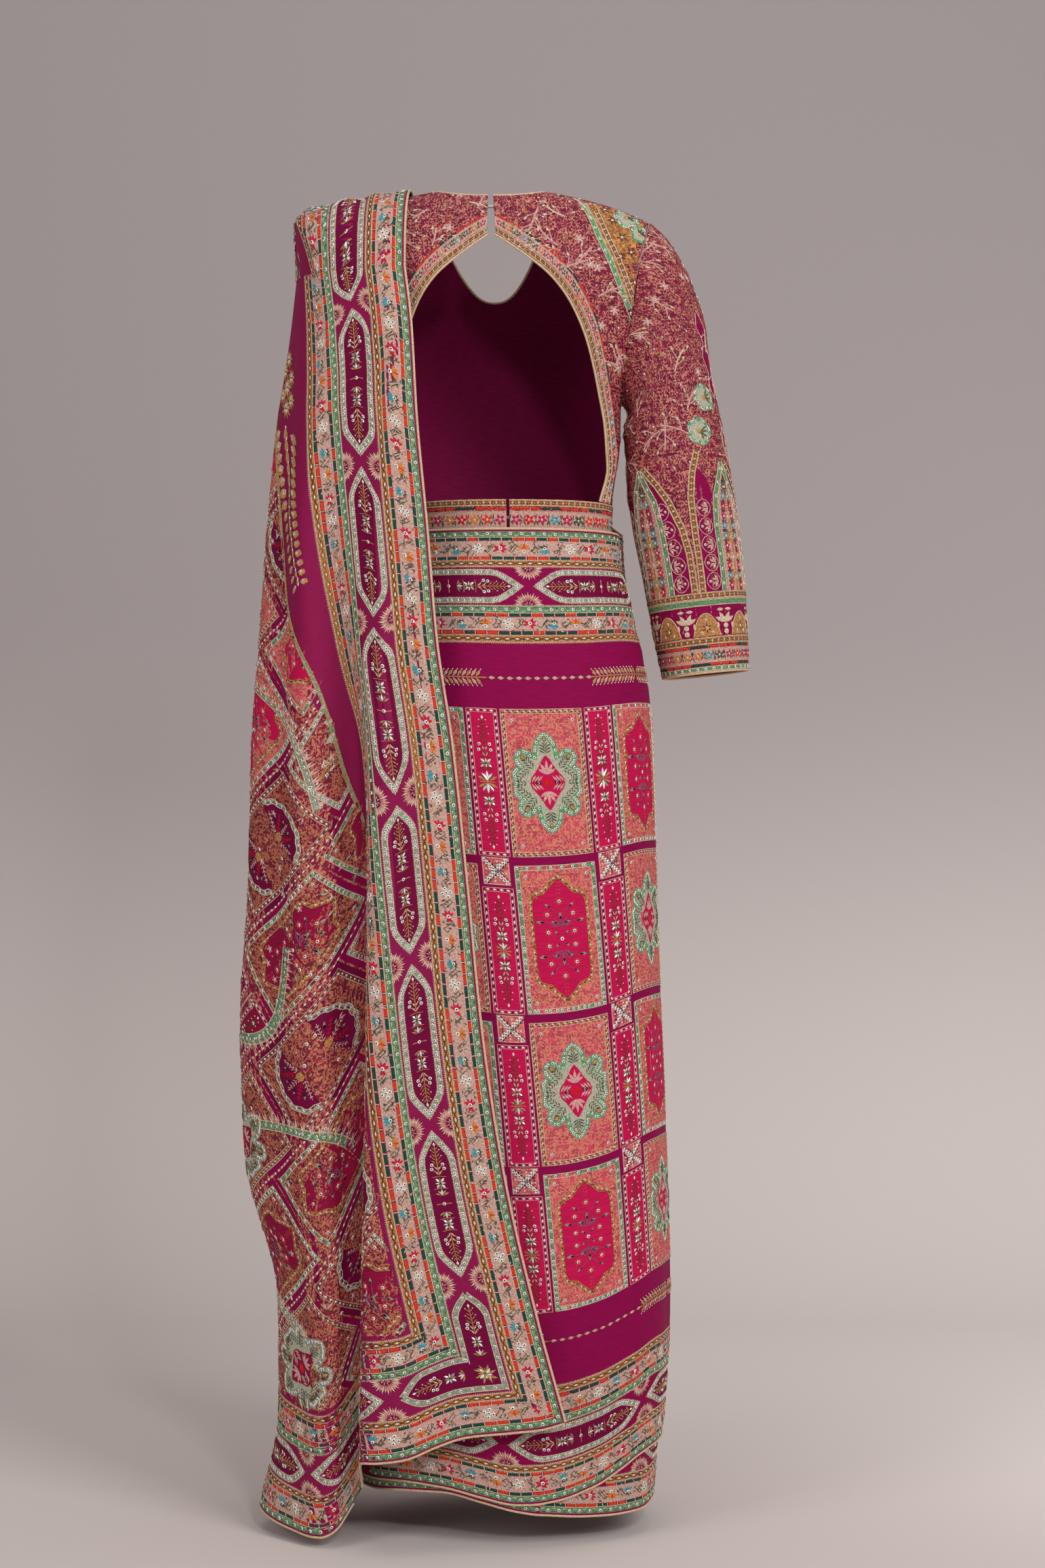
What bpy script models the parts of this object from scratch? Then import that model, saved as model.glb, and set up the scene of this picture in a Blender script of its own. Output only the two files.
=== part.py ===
"""Draped saree with its matching blouse, held in the worn pose and open inside.

Units are metres, +Z up. The garment faces -Y, so the wearer's left is +X. The origin is the
centre of the wearer's waist at the saree's top edge. Heights in the tables are above the
ground, and WAIST_HEIGHT turns them into Z.
"""
import math

import bmesh
import bpy
import numpy as np

# Driving sizes
WAIST_HEIGHT = 1.080       # top edge of the saree above the ground
CLOTH = 0.0016             # thickness of a cloth wall
SEAM = 0.0004              # gap between pieces that meet at a seam
BINDING = 0.0030           # width of the corded binding on an edge
LAYER = 0.0034             # from the first wrap to the second
WRAP_GROWTH = 0.0026       # what the first wrap spirals out in one turn

# Round shapes are superellipses
SKIRT_ROUND = 2.2
MANTLE_ROUND = 2.4

# Skirt, outside of the second wrap
SKIRT_COLUMNS = ("height", "half_width", "front", "back")
SKIRT = (
    (1.085, 0.1205, 0.0930, 0.0900),
    (1.045, 0.1240, 0.0980, 0.0970),
    (1.016, 0.1310, 0.1030, 0.1060),
    (0.958, 0.1440, 0.1120, 0.1190),
    (0.902, 0.1550, 0.1170, 0.1270),
    (0.819, 0.1595, 0.1200, 0.1310),
    (0.638, 0.1645, 0.1240, 0.1290),
    (0.448, 0.1720, 0.1290, 0.1300),
    (0.246, 0.1776, 0.1350, 0.1360),
    (0.166, 0.1745, 0.1350, 0.1360),
    (0.076, 0.1665, 0.1310, 0.1320),
    (0.020, 0.1630, 0.1290, 0.1300),
)

# Hems round the body, by the share of a turn from the centre back towards the wearer's left
HEM_COLUMNS = ("turn", "first_wrap", "second_wrap")
HEM = (
    (-0.50, 0.040, 0.050),
    (-0.41, 0.038, 0.052),
    (-0.27, 0.034, 0.098),
    (-0.22, 0.034, 0.0995),
    (-0.18, 0.031, 0.0975),
    (-0.14, 0.030, 0.083),
    (-0.10, 0.031, 0.063),
    (-0.05, 0.036, 0.0515),
    (-0.01, 0.041, 0.049),
    (0.03, 0.050, 0.056),
    (0.08, 0.059, 0.0655),
    (0.12, 0.058, 0.068),
    (0.18, 0.052, 0.064),
    (0.30, 0.042, 0.054),
    (0.40, 0.040, 0.048),
    (0.50, 0.040, 0.050),
)

# Soft folds of both wraps, which deepen towards the hem
SKIRT_FOLD_COLUMNS = ("turn", "width", "depth")
SKIRT_FOLDS = (
    (-0.170, 0.030, 0.0040), (-0.095, 0.026, -0.0035), (-0.020, 0.034, 0.0030),
    (0.065, 0.030, -0.0030), (0.150, 0.034, 0.0040), (0.310, 0.040, 0.0050),
)
SKIRT_FOLD_TOP = 0.80

SIDE_SEAM = -0.27          # turn at which the second wrap becomes the front drape
FIRST_WRAP_START = -0.44   # turn at which the tucked-in end of the first wrap starts
FIRST_WRAP_TURNS = 1.03    # a little more than once round, so that its ends overlap
FIRST_WRAP_DROP = 0.003    # its top edge below the second wrap's
PLEATS_LEFT = 0.40         # turn at which the pleats become the second wrap
PLEATS_RIGHT = 0.585
PLEAT_COUNT = 6
PLEAT_COLUMNS = ("height", "depth")
PLEAT_DEPTH = ((1.080, 0.0012), (0.900, 0.0040), (0.500, 0.0080), (0.045, 0.0110))
PLEAT_START = (0.0, 0.0)   # flat where the pleats leave the second wrap
PLEAT_SHAPE = (0.0, 1.0, 0.66, 0.33)

# Mantle: the stretch that crosses the front, passes over the left shoulder and hangs behind
MANTLE_COLUMNS = ("height", "inner_x", "inner_y", "fold_x", "fold_y", "valley_x", "valley_y",
                  "rear_x", "rear_y", "out_x", "out_y", "front", "right")
MANTLE = (
    (1.360, 0.1120, 0.098, 0.152, 0.093, 0.178, 0.081, 0.205, 0.062, 0.2330, 0.000, 0.1240, 0.150),
    (1.300, 0.1045, 0.114, 0.152, 0.105, 0.181, 0.090, 0.210, 0.068, 0.2400, 0.000, 0.1500, 0.150),
    (1.200, 0.0985, 0.121, 0.153, 0.111, 0.187, 0.094, 0.222, 0.071, 0.2545, 0.000, 0.1480, 0.145),
    (1.080, 0.0870, 0.128, 0.151, 0.118, 0.188, 0.095, 0.232, 0.074, 0.2665, 0.000, 0.1240, 0.134),
    (0.960, 0.0765, 0.138, 0.147, 0.130, 0.177, 0.092, 0.232, 0.078, 0.2725, 0.002, 0.1300, 0.148),
    (0.850, 0.0600, 0.145, 0.141, 0.143, 0.160, 0.093, 0.226, 0.088, 0.2800, 0.006, 0.1400, 0.160),
    (0.700, 0.0440, 0.148, 0.143, 0.148, 0.152, 0.098, 0.222, 0.098, 0.2835, 0.010, 0.1500, 0.166),
    (0.550, 0.0290, 0.150, 0.145, 0.151, 0.152, 0.101, 0.220, 0.104, 0.2920, 0.014, 0.1590, 0.171),
    (0.400, 0.0060, 0.152, 0.148, 0.154, 0.154, 0.104, 0.212, 0.108, 0.2860, 0.016, 0.1660, 0.177),
    (0.250, -0.0285, 0.155, 0.151, 0.156, 0.156, 0.108, 0.200, 0.112, 0.2520, 0.020, 0.1710, 0.182),
    (0.130, -0.0612, 0.157, 0.153, 0.158, 0.158, 0.111, 0.198, 0.118, 0.2520, 0.022, 0.1720, 0.178),
    (0.010, -0.0900, 0.158, 0.154, 0.158, 0.159, 0.112, 0.200, 0.126, 0.2760, 0.028, 0.1720, 0.172),
)
# Stations along the mantle's plan are numbers from 0 at the inner edge behind: 2 is the flap's
# fold, 5 the outermost point, 8 the front of the shoulder, 9 the centre front, 13 the side seam
VALLEY_STATION = 3
ARM_FRONT = 7              # seam where the cloth on the arm meets the front drape
QUARTER_STEPS = 4
CAP_LEVEL = 1.360          # height at which the cloth over the shoulder meets the hanging cloth

EDGE_COLUMNS = ("station", "top", "bottom")
PALLU_HEM = (
    (0.0, CAP_LEVEL, 0.1400), (0.25, CAP_LEVEL, 0.1335), (0.5, CAP_LEVEL, 0.1310), (1.0, CAP_LEVEL, 0.1255),
    (1.25, CAP_LEVEL, 0.1170), (1.5, CAP_LEVEL, 0.1055), (1.75, CAP_LEVEL, 0.1015), (2.0, CAP_LEVEL, 0.0990),
    (3.0, CAP_LEVEL, 0.0560), (4.0, CAP_LEVEL, 0.0130), (5.0, CAP_LEVEL, 0.0260),
    (6.0, CAP_LEVEL, 0.0300), (7.0, CAP_LEVEL, 0.0500),
)
FRONT_EDGES = (
    (7.0, CAP_LEVEL, 0.880), (8.0, CAP_LEVEL, 0.790), (9.0, 1.245, 0.600), (10.0, 1.155, 0.400),
    (11.0, 1.110, 0.245), (12.0, 1.086, 0.145), (13.0, 1.080, 0.098),
)
# Soft folds of the cloth that hangs behind and round the arm, by station
PALLU_FOLD_COLUMNS = ("station", "width", "depth", "top")
PALLU_FOLDS = (
    (0.95, 0.28, -0.0030, 1.15),
    (1.55, 0.22, 0.0030, 1.20),
    (3.67, 0.26, 0.0070, 1.20),
    (4.33, 0.24, -0.0090, 1.28),
    (5.33, 0.26, -0.0080, 1.05),
    (6.25, 0.26, 0.0080, 0.95),
    (6.62, 0.20, -0.0060, 0.90),
)
PALLU_FOLD_EASE = 0.16     # height over which a fold fades in
# Diagonal folds across the front, by their share of the way from the upper edge to the lower
FRONT_FOLD_COLUMNS = ("share", "width", "depth", "fade_station")
FRONT_FOLDS = (
    (0.075, 0.030, 0.0050, 11.5), (0.150, 0.035, -0.0030, 11.0), (0.240, 0.045, 0.0060, 12.0),
    (0.410, 0.060, -0.0040, 11.5), (0.540, 0.070, 0.0060, 12.4), (0.800, 0.080, 0.0050, 12.0),
)
CAP_RIDGE_INNER = 1.4600   # the shoulder ridge at its inner edge and near the arm
CAP_RIDGE_OUTER = 1.4400
CAP_SQUARE = 7.0           # how square the ridge turns down over the arm
CAP_BULGE = 0.0280

# Torso: the blouse, on a general figure
TORSO_COLUMNS = ("height", "centre_x", "half_width", "front", "back")
TORSO = (
    (1.070, 0.0000, 0.1121, 0.0847, 0.0817),
    (1.114, 0.0010, 0.1140, 0.0900, 0.0850),
    (1.180, 0.0050, 0.1265, 0.1120, 0.0910),
    (1.226, 0.0090, 0.1320, 0.1290, 0.0960),
    (1.280, 0.0130, 0.1500, 0.1340, 0.1000),
    (1.340, 0.0160, 0.1720, 0.1160, 0.0990),
    (1.390, 0.0180, 0.1900, 0.0960, 0.0920),
    (1.460, 0.0200, 0.2050, 0.0700, 0.0800),
)
TORSO_ROUND = 2.3
BAND_TOP = 1.1135
BAND_BOTTOM = 1.0740
BAND_GAP = 0.0022          # half of its opening at the centre back, as a share of a turn
ARMPIT = 1.226
NECK_SIDE = 0.068          # from the centre line to the neck edge on the shoulder
NECK_SIDE_HEIGHT = 1.456
SHOULDER_TIP = 0.172
SHOULDER_TIP_HEIGHT = 1.4225
SHOULDER_COLUMNS = ("across", "height")
SHOULDER = (
    (0.000, 1.470), (0.068, 1.456), (0.120, 1.444), (0.172, 1.424), (0.210, 1.400),
)
SHOULDER_ROUNDING = 0.075  # how far below the shoulder line the back and front come forward
RIDGE_Y = 0.004

NECK_BACK = 1.4420         # neck edge at the centre back
NECK_FRONT = 1.3550
SLIT = 0.0030              # half of the gap at the centre back

ARMHOLE_COLUMNS = ("height", "across")
ARMHOLE = (
    (ARMPIT, 0.1320), (1.245, 0.1335), (1.270, 0.1380), (1.330, 0.1500), (1.380, 0.1600),
    (SHOULDER_TIP_HEIGHT, SHOULDER_TIP),
)

# Arch cut out of the back, by its height and its distance from the centre line
ARCH_COLUMNS = ("share", "height", "across")
ARCH = (
    (0.00, 1.3970, 0.0045), (0.12, 1.3780, 0.0320), (0.26, 1.3510, 0.0640), (0.38, 1.3220, 0.0840),
    (0.52, 1.2800, 0.0995), (0.66, 1.2350, 0.1070), (0.80, 1.1900, 0.1110), (0.90, 1.1540, 0.1110),
    (1.00, 1.1142, 0.1005),
)

# Sleeves: outer and inner silhouettes of one ring in a row
SLEEVE_GAP = 0.0017        # from the armhole's edge to the sleeve's first ring
SLEEVE_HEAD = 0.22         # share of the sleeve over which its rings turn from the armhole
SLEEVE_COLUMNS = ("share", "outer_x", "outer_h", "inner_x", "inner_h", "half_depth", "centre_y")
SLEEVE_RIGHT = (
    (0.06, 0.1900, 1.390, 0.1250, 1.2200, 0.0620, 0.002),
    (0.14, 0.2075, 1.350, 0.1262, 1.2130, 0.0610, 0.001),
    (0.22, 0.2164, 1.307, 0.1272, 1.2040, 0.0590, 0.000),
    (0.30, 0.2205, 1.264, 0.1277, 1.1920, 0.0570, 0.000),
    (0.38, 0.2290, 1.226, 0.1277, 1.1760, 0.0560, -0.001),
    (0.50, 0.2400, 1.172, 0.1310, 1.1400, 0.0560, -0.003),
    (0.64, 0.2515, 1.099, 0.1385, 1.0850, 0.0560, -0.006),
    (0.76, 0.2580, 1.045, 0.1490, 1.0350, 0.0550, -0.009),
    (0.88, 0.2620, 0.991, 0.1580, 0.9840, 0.0520, -0.012),
    (1.00, 0.2640, 0.9365, 0.1700, 0.9265, 0.0480, -0.015),
)
SLEEVE_LEFT = (
    (0.06, 0.1985, 1.390, 0.1412, 1.2200, 0.0590, 0.002),
    (0.14, 0.2080, 1.350, 0.1424, 1.2130, 0.0570, 0.001),
    (0.22, 0.2150, 1.307, 0.1434, 1.2040, 0.0550, 0.000),
    (0.30, 0.2205, 1.264, 0.1440, 1.1920, 0.0530, 0.000),
    (0.38, 0.2265, 1.226, 0.1445, 1.1760, 0.0520, 0.000),
    (0.50, 0.2345, 1.172, 0.1460, 1.1400, 0.0520, 0.000),
    (0.64, 0.2430, 1.099, 0.1490, 1.0850, 0.0520, 0.000),
    (0.76, 0.2480, 1.045, 0.1530, 1.0350, 0.0510, 0.000),
    (0.88, 0.2510, 0.991, 0.1570, 0.9840, 0.0490, 0.000),
    (1.00, 0.2520, 0.9365, 0.1620, 0.9265, 0.0460, 0.000),
)

# How finely each piece is cut into faces
ROW_SHARES = (0.0, 0.035, 0.075, 0.12, 0.175, 0.24, 0.32, 0.41, 0.51, 0.62, 0.74, 0.87, 1.0)
LOWER_ROWS = 9
BACK_STATIONS = (0, 0.5, 1, 1.5, 1.85, 2.15, 2.5, 3, 3.33, 3.67, 4)
OUTER_STATIONS = (4, 4.33, 4.67, 5, 5.33, 5.67, 6)
ARM_STATIONS = (6, 6.25, 6.5, 6.75, 7)
CORNER_STATIONS = (7, 7.17, 7.33, 7.5, 7.67, 7.83, 8)
FRONT_STATIONS = (8, 8.33, 8.67, 9, 9.5, 10, 10.5, 11, 11.5, 12, 12.5, 13)
TURN_STEP = 1 / 48
SLEEVE_SIDES = 20
ELBOW_RING = 6             # ring at which the sleeve's plain upper part meets its bordered end
EDGE_CROWDING = 1.4        # how much the rows crowd towards the shoulder seam
BACK_SHARES = (0, 0.06, 0.12, 0.17, 0.22, 0.29, 0.36, 0.43, 0.50, 0.518, 0.545, 0.59, 0.65, 0.72,
               0.80, 0.87, 0.94, 1.0)
BACK_RIDGE = slice(4, 9)   # the shares that lie on the shoulder seam
NECK_STEPS = (0.0, 0.25, 0.48, 0.68, 0.84, 0.94, 1.0)   # shares of the way to the neck's side

# Flat hooks that close the centre back, and where their middles are
HOOK_WIDTH = 0.0070
HOOK_THICKNESS = 0.0012
HOOK_TALL = 0.0030
NECK_HOOK_HEIGHT = 1.430
BAND_HOOK_HEIGHT = 1.094

# Points in the body that the outside of a back or front panel faces away from
IN_FRONT_OF_BACK = (0.01, -0.10, 0)
BEHIND_FRONT = (0.01, 0.10, 0)
MIDDLE = (0, 0, 0)
IN_THE_ARM = (0.10, 0, 0)

COLOURS = {
    "blouse": (0.26, 0.035, 0.075),
    "saree": (0.30, 0.012, 0.10),
    "pallu": (0.36, 0.05, 0.11),
    "binding": (0.62, 0.45, 0.30),
    "metal": (0.55, 0.50, 0.42),
}


def smooth(xs, ys, x):
    """Cubic curve through a short table, with no overshoot between its rows."""
    xs, ys, x = (np.asarray(a, dtype=float) for a in (xs, ys, x))
    order = np.argsort(xs)
    xs, ys = xs[order], ys[order]
    gap = np.diff(xs)
    slope = np.diff(ys) / gap
    tangent = np.zeros_like(ys)
    same = slope[1:] * slope[:-1] > 0
    mean = 2 * slope[1:] * slope[:-1] / np.where(same, slope[1:] + slope[:-1], 1.0)
    tangent[1:-1] = np.where(same, mean, 0.0)
    tangent[0], tangent[-1] = slope[0], slope[-1]
    x = np.clip(x, xs[0], xs[-1])
    k = np.clip(np.searchsorted(xs, x) - 1, 0, len(gap) - 1)
    f = (x - xs[k]) / gap[k]
    return (ys[k] * (1 + 2 * f) * (1 - f) ** 2 + ys[k + 1] * f * f * (3 - 2 * f)
            + gap[k] * (tangent[k] * f * (1 - f) ** 2 - tangent[k + 1] * f * f * (1 - f)))


def column(table, names, name, at):
    """One named column of a table, read at a value of its first column."""
    return smooth([row[0] for row in table], [row[names.index(name)] for row in table], at)


def bump(at, centre, width):
    return np.exp(-((at - centre) / width) ** 2)


def ease(share):
    share = np.clip(share, 0, 1)
    return share * share * (3 - 2 * share)


def oval(cosine, power):
    """Signed power of a cosine or sine, which turns an ellipse into a superellipse."""
    return np.sign(cosine) * np.abs(cosine) ** (2.0 / power)


def turn_angles():
    """Angle from the centre back for each share of a turn, even along the cloth at mid height."""
    angle = np.linspace(-math.pi, math.pi, 721)
    x = column(SKIRT, SKIRT_COLUMNS, "half_width", 0.6) * oval(np.sin(angle), SKIRT_ROUND)
    y = column(SKIRT, SKIRT_COLUMNS, "back", 0.6) * oval(np.cos(angle), SKIRT_ROUND)
    length = np.concatenate([[0.0], np.cumsum(np.hypot(np.diff(x), np.diff(y)))])
    return length / length[-1] - 0.5, angle


TURNS, ANGLES = turn_angles()


def skirt_point(turn, height, lift):
    """Point on the skirt: lift is measured out from the middle of the second wrap's wall."""
    turn, height = np.broadcast_arrays(np.asarray(turn, float), np.asarray(height, float))
    turn = (turn + 0.5) % 1.0 - 0.5
    angle = np.interp(turn, TURNS, ANGLES)
    wave = sum(depth * bump(turn, at, width) for at, width, depth in SKIRT_FOLDS)
    deepen = np.clip(1 - height / SKIRT_FOLD_TOP, 0, 1) ** 1.5
    out = lift - CLOTH / 2 + wave * deepen
    wide = column(SKIRT, SKIRT_COLUMNS, "half_width", height) + out
    front = column(SKIRT, SKIRT_COLUMNS, "front", height) + out
    back = column(SKIRT, SKIRT_COLUMNS, "back", height) + out
    deep = np.where(np.cos(angle) > 0, back, front)
    return np.stack([wide * oval(np.sin(angle), SKIRT_ROUND), deep * oval(np.cos(angle), SKIRT_ROUND),
                     height - WAIST_HEIGHT], axis=-1)


def mantle_plan(height):
    """Stations of the mantle's plan at each height, as an array of heights by stations by x, y."""
    get = {name: column(MANTLE, MANTLE_COLUMNS, name, height) for name in MANTLE_COLUMNS[1:]}
    rows = [(get["inner_x"], get["inner_y"]),
            ((get["inner_x"] + get["fold_x"]) / 2, get["inner_y"] + 0.004),
            (get["fold_x"], get["fold_y"]), (get["valley_x"], get["valley_y"]),
            (get["rear_x"], get["rear_y"]), (get["out_x"], get["out_y"])]
    for step in range(1, QUARTER_STEPS + 1):
        angle = math.radians(90 * step / QUARTER_STEPS)
        across = oval(math.cos(angle), MANTLE_ROUND) if step < QUARTER_STEPS else 0.0
        share = oval(math.sin(angle), MANTLE_ROUND)
        rows.append((get["out_x"] * across, get["out_y"] * (1 - share) - get["front"] * share))
    for step in range(1, QUARTER_STEPS):
        angle = math.radians(90 * step / QUARTER_STEPS)
        across = oval(math.sin(angle), MANTLE_ROUND)
        share = oval(math.cos(angle), MANTLE_ROUND)
        rows.append((-get["right"] * across, -get["front"] * share))
    seam = skirt_point(SIDE_SEAM, np.minimum(height, 1.085), 0.0)
    rows.append((seam[..., 0], seam[..., 1]))
    return np.stack([np.stack(np.broadcast_arrays(x, y), axis=-1) for x, y in rows], axis=-2)


def mantle_point(station, height):
    """Point on the mantle, by its station along the plan and its height."""
    station, height = np.broadcast_arrays(np.asarray(station, float), np.asarray(height, float))
    shape = station.shape
    station, height = station.ravel(), height.ravel()
    points = mantle_plan(height)
    gap = np.linalg.norm(np.diff(points, axis=1), axis=-1, keepdims=True)
    slope = np.diff(points, axis=1) / gap
    tangent = np.empty_like(points)
    tangent[:, 1:-1] = ((slope[:, :-1] * gap[:, 1:] + slope[:, 1:] * gap[:, :-1])
                        / (gap[:, 1:] + gap[:, :-1]))
    tangent[:, 0], tangent[:, -1] = slope[:, 0], slope[:, -1]
    k = np.clip(np.floor(station).astype(int), 0, points.shape[1] - 2)
    f = (station - k)[:, None]
    i = np.arange(len(k))
    flat = (points[i, k] * (1 + 2 * f) * (1 - f) ** 2 + points[i, k + 1] * f * f * (3 - 2 * f)
            + gap[i, k] * (tangent[i, k] * f * (1 - f) ** 2 - tangent[i, k + 1] * f * f * (1 - f)))
    return np.concatenate([flat, (height - WAIST_HEIGHT)[:, None]], axis=1).reshape(shape + (3,))


def torso_y(across, height, side):
    """Depth of the blouse at a distance from its centre line: side is +1 behind and -1 in front."""
    wide = column(TORSO, TORSO_COLUMNS, "half_width", height)
    deep = column(TORSO, TORSO_COLUMNS, "back" if side > 0 else "front", height)
    share = np.clip(1 - (np.abs(across) / wide) ** TORSO_ROUND, 0, 1) ** (1 / TORSO_ROUND)
    below = np.clip((column(SHOULDER, SHOULDER_COLUMNS, "height", np.abs(across)) - height)
                    / SHOULDER_ROUNDING, 0, 1)
    cap = np.sqrt(1 - (1 - below) ** 2)
    return RIDGE_Y + (side * deep * share - RIDGE_Y) * cap


def torso_point(across, height, side):
    """Point on the blouse, from its centre line, its height and whether it is behind or in front."""
    across, height = np.broadcast_arrays(np.asarray(across, float), np.asarray(height, float))
    x = column(TORSO, TORSO_COLUMNS, "centre_x", height) + across
    return np.stack([x, torso_y(across, height, side), height - WAIST_HEIGHT], axis=-1)


def unit(vectors):
    return vectors / np.maximum(np.linalg.norm(vectors, axis=-1, keepdims=True), 1e-12)


def grid_normals(grid, closed=False):
    """Normal at each point of a grid, from its neighbours along both ways."""
    if closed:
        along = np.roll(grid, -1, axis=0) - np.roll(grid, 1, axis=0)
    else:
        along = np.gradient(grid, axis=0)
    return unit(np.cross(along, np.gradient(grid, axis=1)))


def outward(grid, normals, centre):
    """The same normals, turned so that they point away from a centre line."""
    away = grid - np.asarray(centre)
    away[..., 2] = 0
    return normals if np.sum(away * normals) > 0 else -normals


def cloth_wall(grid, centre, closed=False, thickness=CLOTH, push=0.0, normals=None):
    """Vertices and faces of a closed wall on a grid of points, thickness measured across it."""
    if normals is None:
        normals = outward(grid, grid_normals(grid, closed), centre)
    outer = grid + normals * (push + thickness / 2)
    inner = grid + normals * (push - thickness / 2)
    rows, columns = grid.shape[:2]
    count = rows * columns
    verts = np.concatenate([outer.reshape(-1, 3), inner.reshape(-1, 3)])

    def at(i, j, side):
        return side * count + (i % rows) * columns + j

    faces = []
    spans = rows if closed else rows - 1
    for i in range(spans):
        for j in range(columns - 1):
            faces.append((at(i, j, 0), at(i + 1, j, 0), at(i + 1, j + 1, 0), at(i, j + 1, 0)))
            faces.append((at(i, j, 1), at(i, j + 1, 1), at(i + 1, j + 1, 1), at(i + 1, j, 1)))
        for j, flip in ((0, False), (columns - 1, True)):
            face = (at(i, j, 0), at(i, j, 1), at(i + 1, j, 1), at(i + 1, j, 0))
            faces.append(face[::-1] if flip else face)
    if not closed:
        for j in range(columns - 1):
            for i, flip in ((0, True), (rows - 1, False)):
                face = (at(i, j, 0), at(i, j, 1), at(i, j + 1, 1), at(i, j + 1, 0))
                faces.append(face[::-1] if flip else face)
    return verts, faces


def material(name):
    found = bpy.data.materials.get(name)
    if found:
        return found
    made = bpy.data.materials.new(name)
    made.use_nodes = True
    shader = made.node_tree.nodes["Principled BSDF"]
    shader.inputs["Base Color"].default_value = (*COLOURS[name], 1)
    shader.inputs["Roughness"].default_value = 0.35 if name == "metal" else 0.8
    shader.inputs["Metallic"].default_value = 1.0 if name == "metal" else 0.0
    return made


def add_object(name, verts, faces, finish):
    """One named object from vertices and faces, with its faces turned out."""
    mesh = bpy.data.meshes.new(name)
    mesh.from_pydata([tuple(map(float, v)) for v in verts], [], faces)
    work = bmesh.new()
    work.from_mesh(mesh)
    bmesh.ops.recalc_face_normals(work, faces=work.faces)
    work.to_mesh(mesh)
    work.free()
    mesh.shade_smooth()
    mesh.set_sharp_from_angle(angle=math.radians(50))
    mesh.materials.append(material(finish))
    made = bpy.data.objects.new(name, mesh)
    bpy.context.scene.collection.objects.link(made)
    return made


def cord_on(points, away, finish, name, size=BINDING, gap=SEAM):
    """Square binding that caps an edge: it follows points and stands away from the cloth's edge."""
    along = unit(np.gradient(points, axis=0))
    away = unit(away - along * np.sum(away * along, axis=-1, keepdims=True))
    side = np.cross(along, away)
    points = shrink(points, 0, 2 * SEAM, 2 * SEAM)
    centre = points + away * (gap + size / 2)
    corners = [centre + away * a * size / 2 + side * b * size * 0.45
               for a, b in ((1, 1), (1, -1), (-1, -1), (-1, 1))]
    ring = np.stack(corners, axis=1)
    count = len(points)
    verts = ring.reshape(-1, 3)
    faces = [(i * 4 + k, i * 4 + (k + 1) % 4, (i + 1) * 4 + (k + 1) % 4, (i + 1) * 4 + k)
             for i in range(count - 1) for k in range(4)]
    faces += [(0, 1, 2, 3), tuple((count - 1) * 4 + k for k in (3, 2, 1, 0))]
    return add_object(name, verts, faces, finish)


def shrink(grid, axis, first, last):
    """Pull the first and last rows of a grid inwards along it, to leave room at a seam."""
    grid = np.moveaxis(grid.copy(), axis, 0)
    if first:
        grid[0] += unit(grid[1] - grid[0]) * first
    if last:
        grid[-1] += unit(grid[-2] - grid[-1]) * last
    return np.moveaxis(grid, 0, axis)


def turns_between(start, end):
    """Shares of a turn from start to end, on the common steps round the body."""
    first, last = math.ceil(start / TURN_STEP + 0.3), math.floor(end / TURN_STEP - 0.3)
    return np.array([start, *(k * TURN_STEP for k in range(first, last + 1)), end])


def hem_height(which, turn):
    return column(HEM, HEM_COLUMNS, which, (np.asarray(turn) + 0.5) % 1.0 - 0.5)


def make_skirt():
    """First wrap, second wrap and front pleats, with the bindings that show on them."""
    rows = np.array(ROW_SHARES)
    turns = turns_between(FIRST_WRAP_START, FIRST_WRAP_START + FIRST_WRAP_TURNS)
    top = WAIST_HEIGHT - FIRST_WRAP_DROP
    heights = top + rows * (hem_height("first_wrap", turns)[:, None] - top)
    lift = -LAYER + WRAP_GROWTH * ((turns - FIRST_WRAP_START) - 0.5)
    first = skirt_point(turns[:, None], heights, lift[:, None])
    add_object("saree_first_wrap", *cloth_wall(first, MIDDLE), "saree")

    turns = turns_between(SIDE_SEAM, PLEATS_LEFT)
    heights = WAIST_HEIGHT + rows * (hem_height("second_wrap", turns)[:, None] - WAIST_HEIGHT)
    second = skirt_point(turns[:, None], heights, 0.0)
    second = shrink(second, 0, SEAM / 2, SEAM / 2)
    add_object("saree_second_wrap", *cloth_wall(second, MIDDLE), "saree")
    drop = np.tile([0.0, 0.0, -1.0], (len(turns), 1))
    cord_on(second[:, -1], drop, "binding", "binding_hem")
    cord_on(second[:, 0], -drop, "binding", "binding_waist")

    wave = np.array(PLEAT_START + PLEAT_SHAPE * PLEAT_COUNT + (0.0,))
    count = len(wave) - 1
    turns = np.linspace(PLEATS_LEFT, PLEATS_RIGHT, count + 1)
    heights = WAIST_HEIGHT + rows * (hem_height("second_wrap", turns)[:, None] - WAIST_HEIGHT)
    depth = column(PLEAT_DEPTH, PLEAT_COLUMNS, "depth", heights)
    pleats = skirt_point(turns[:, None], heights, depth * wave[:, None])
    pleats = shrink(pleats, 0, SEAM / 2, 0)
    add_object("saree_pleats", *cloth_wall(pleats, MIDDLE), "saree")


def pallu_push(station, points):
    """How far the folds stand out of the cloth that hangs behind and round the arm."""
    height = points[..., 2] + WAIST_HEIGHT
    push = sum(depth * bump(station, at, width) * ease((top - height) / PALLU_FOLD_EASE)
               for at, width, depth, top in PALLU_FOLDS)
    return push * ease((ARM_FRONT - station) * 3)


def front_push(station, share):
    """How far the diagonal folds stand out of the cloth across the front."""
    station, share = station[:, None], share[None, :]
    push = sum(depth * bump(share, at, width) * ease((fade - station) / 3)
               for at, width, depth, fade in FRONT_FOLDS)
    return push * ease((station - ARM_FRONT) * 1.5) * ease(share * 20)


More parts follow.
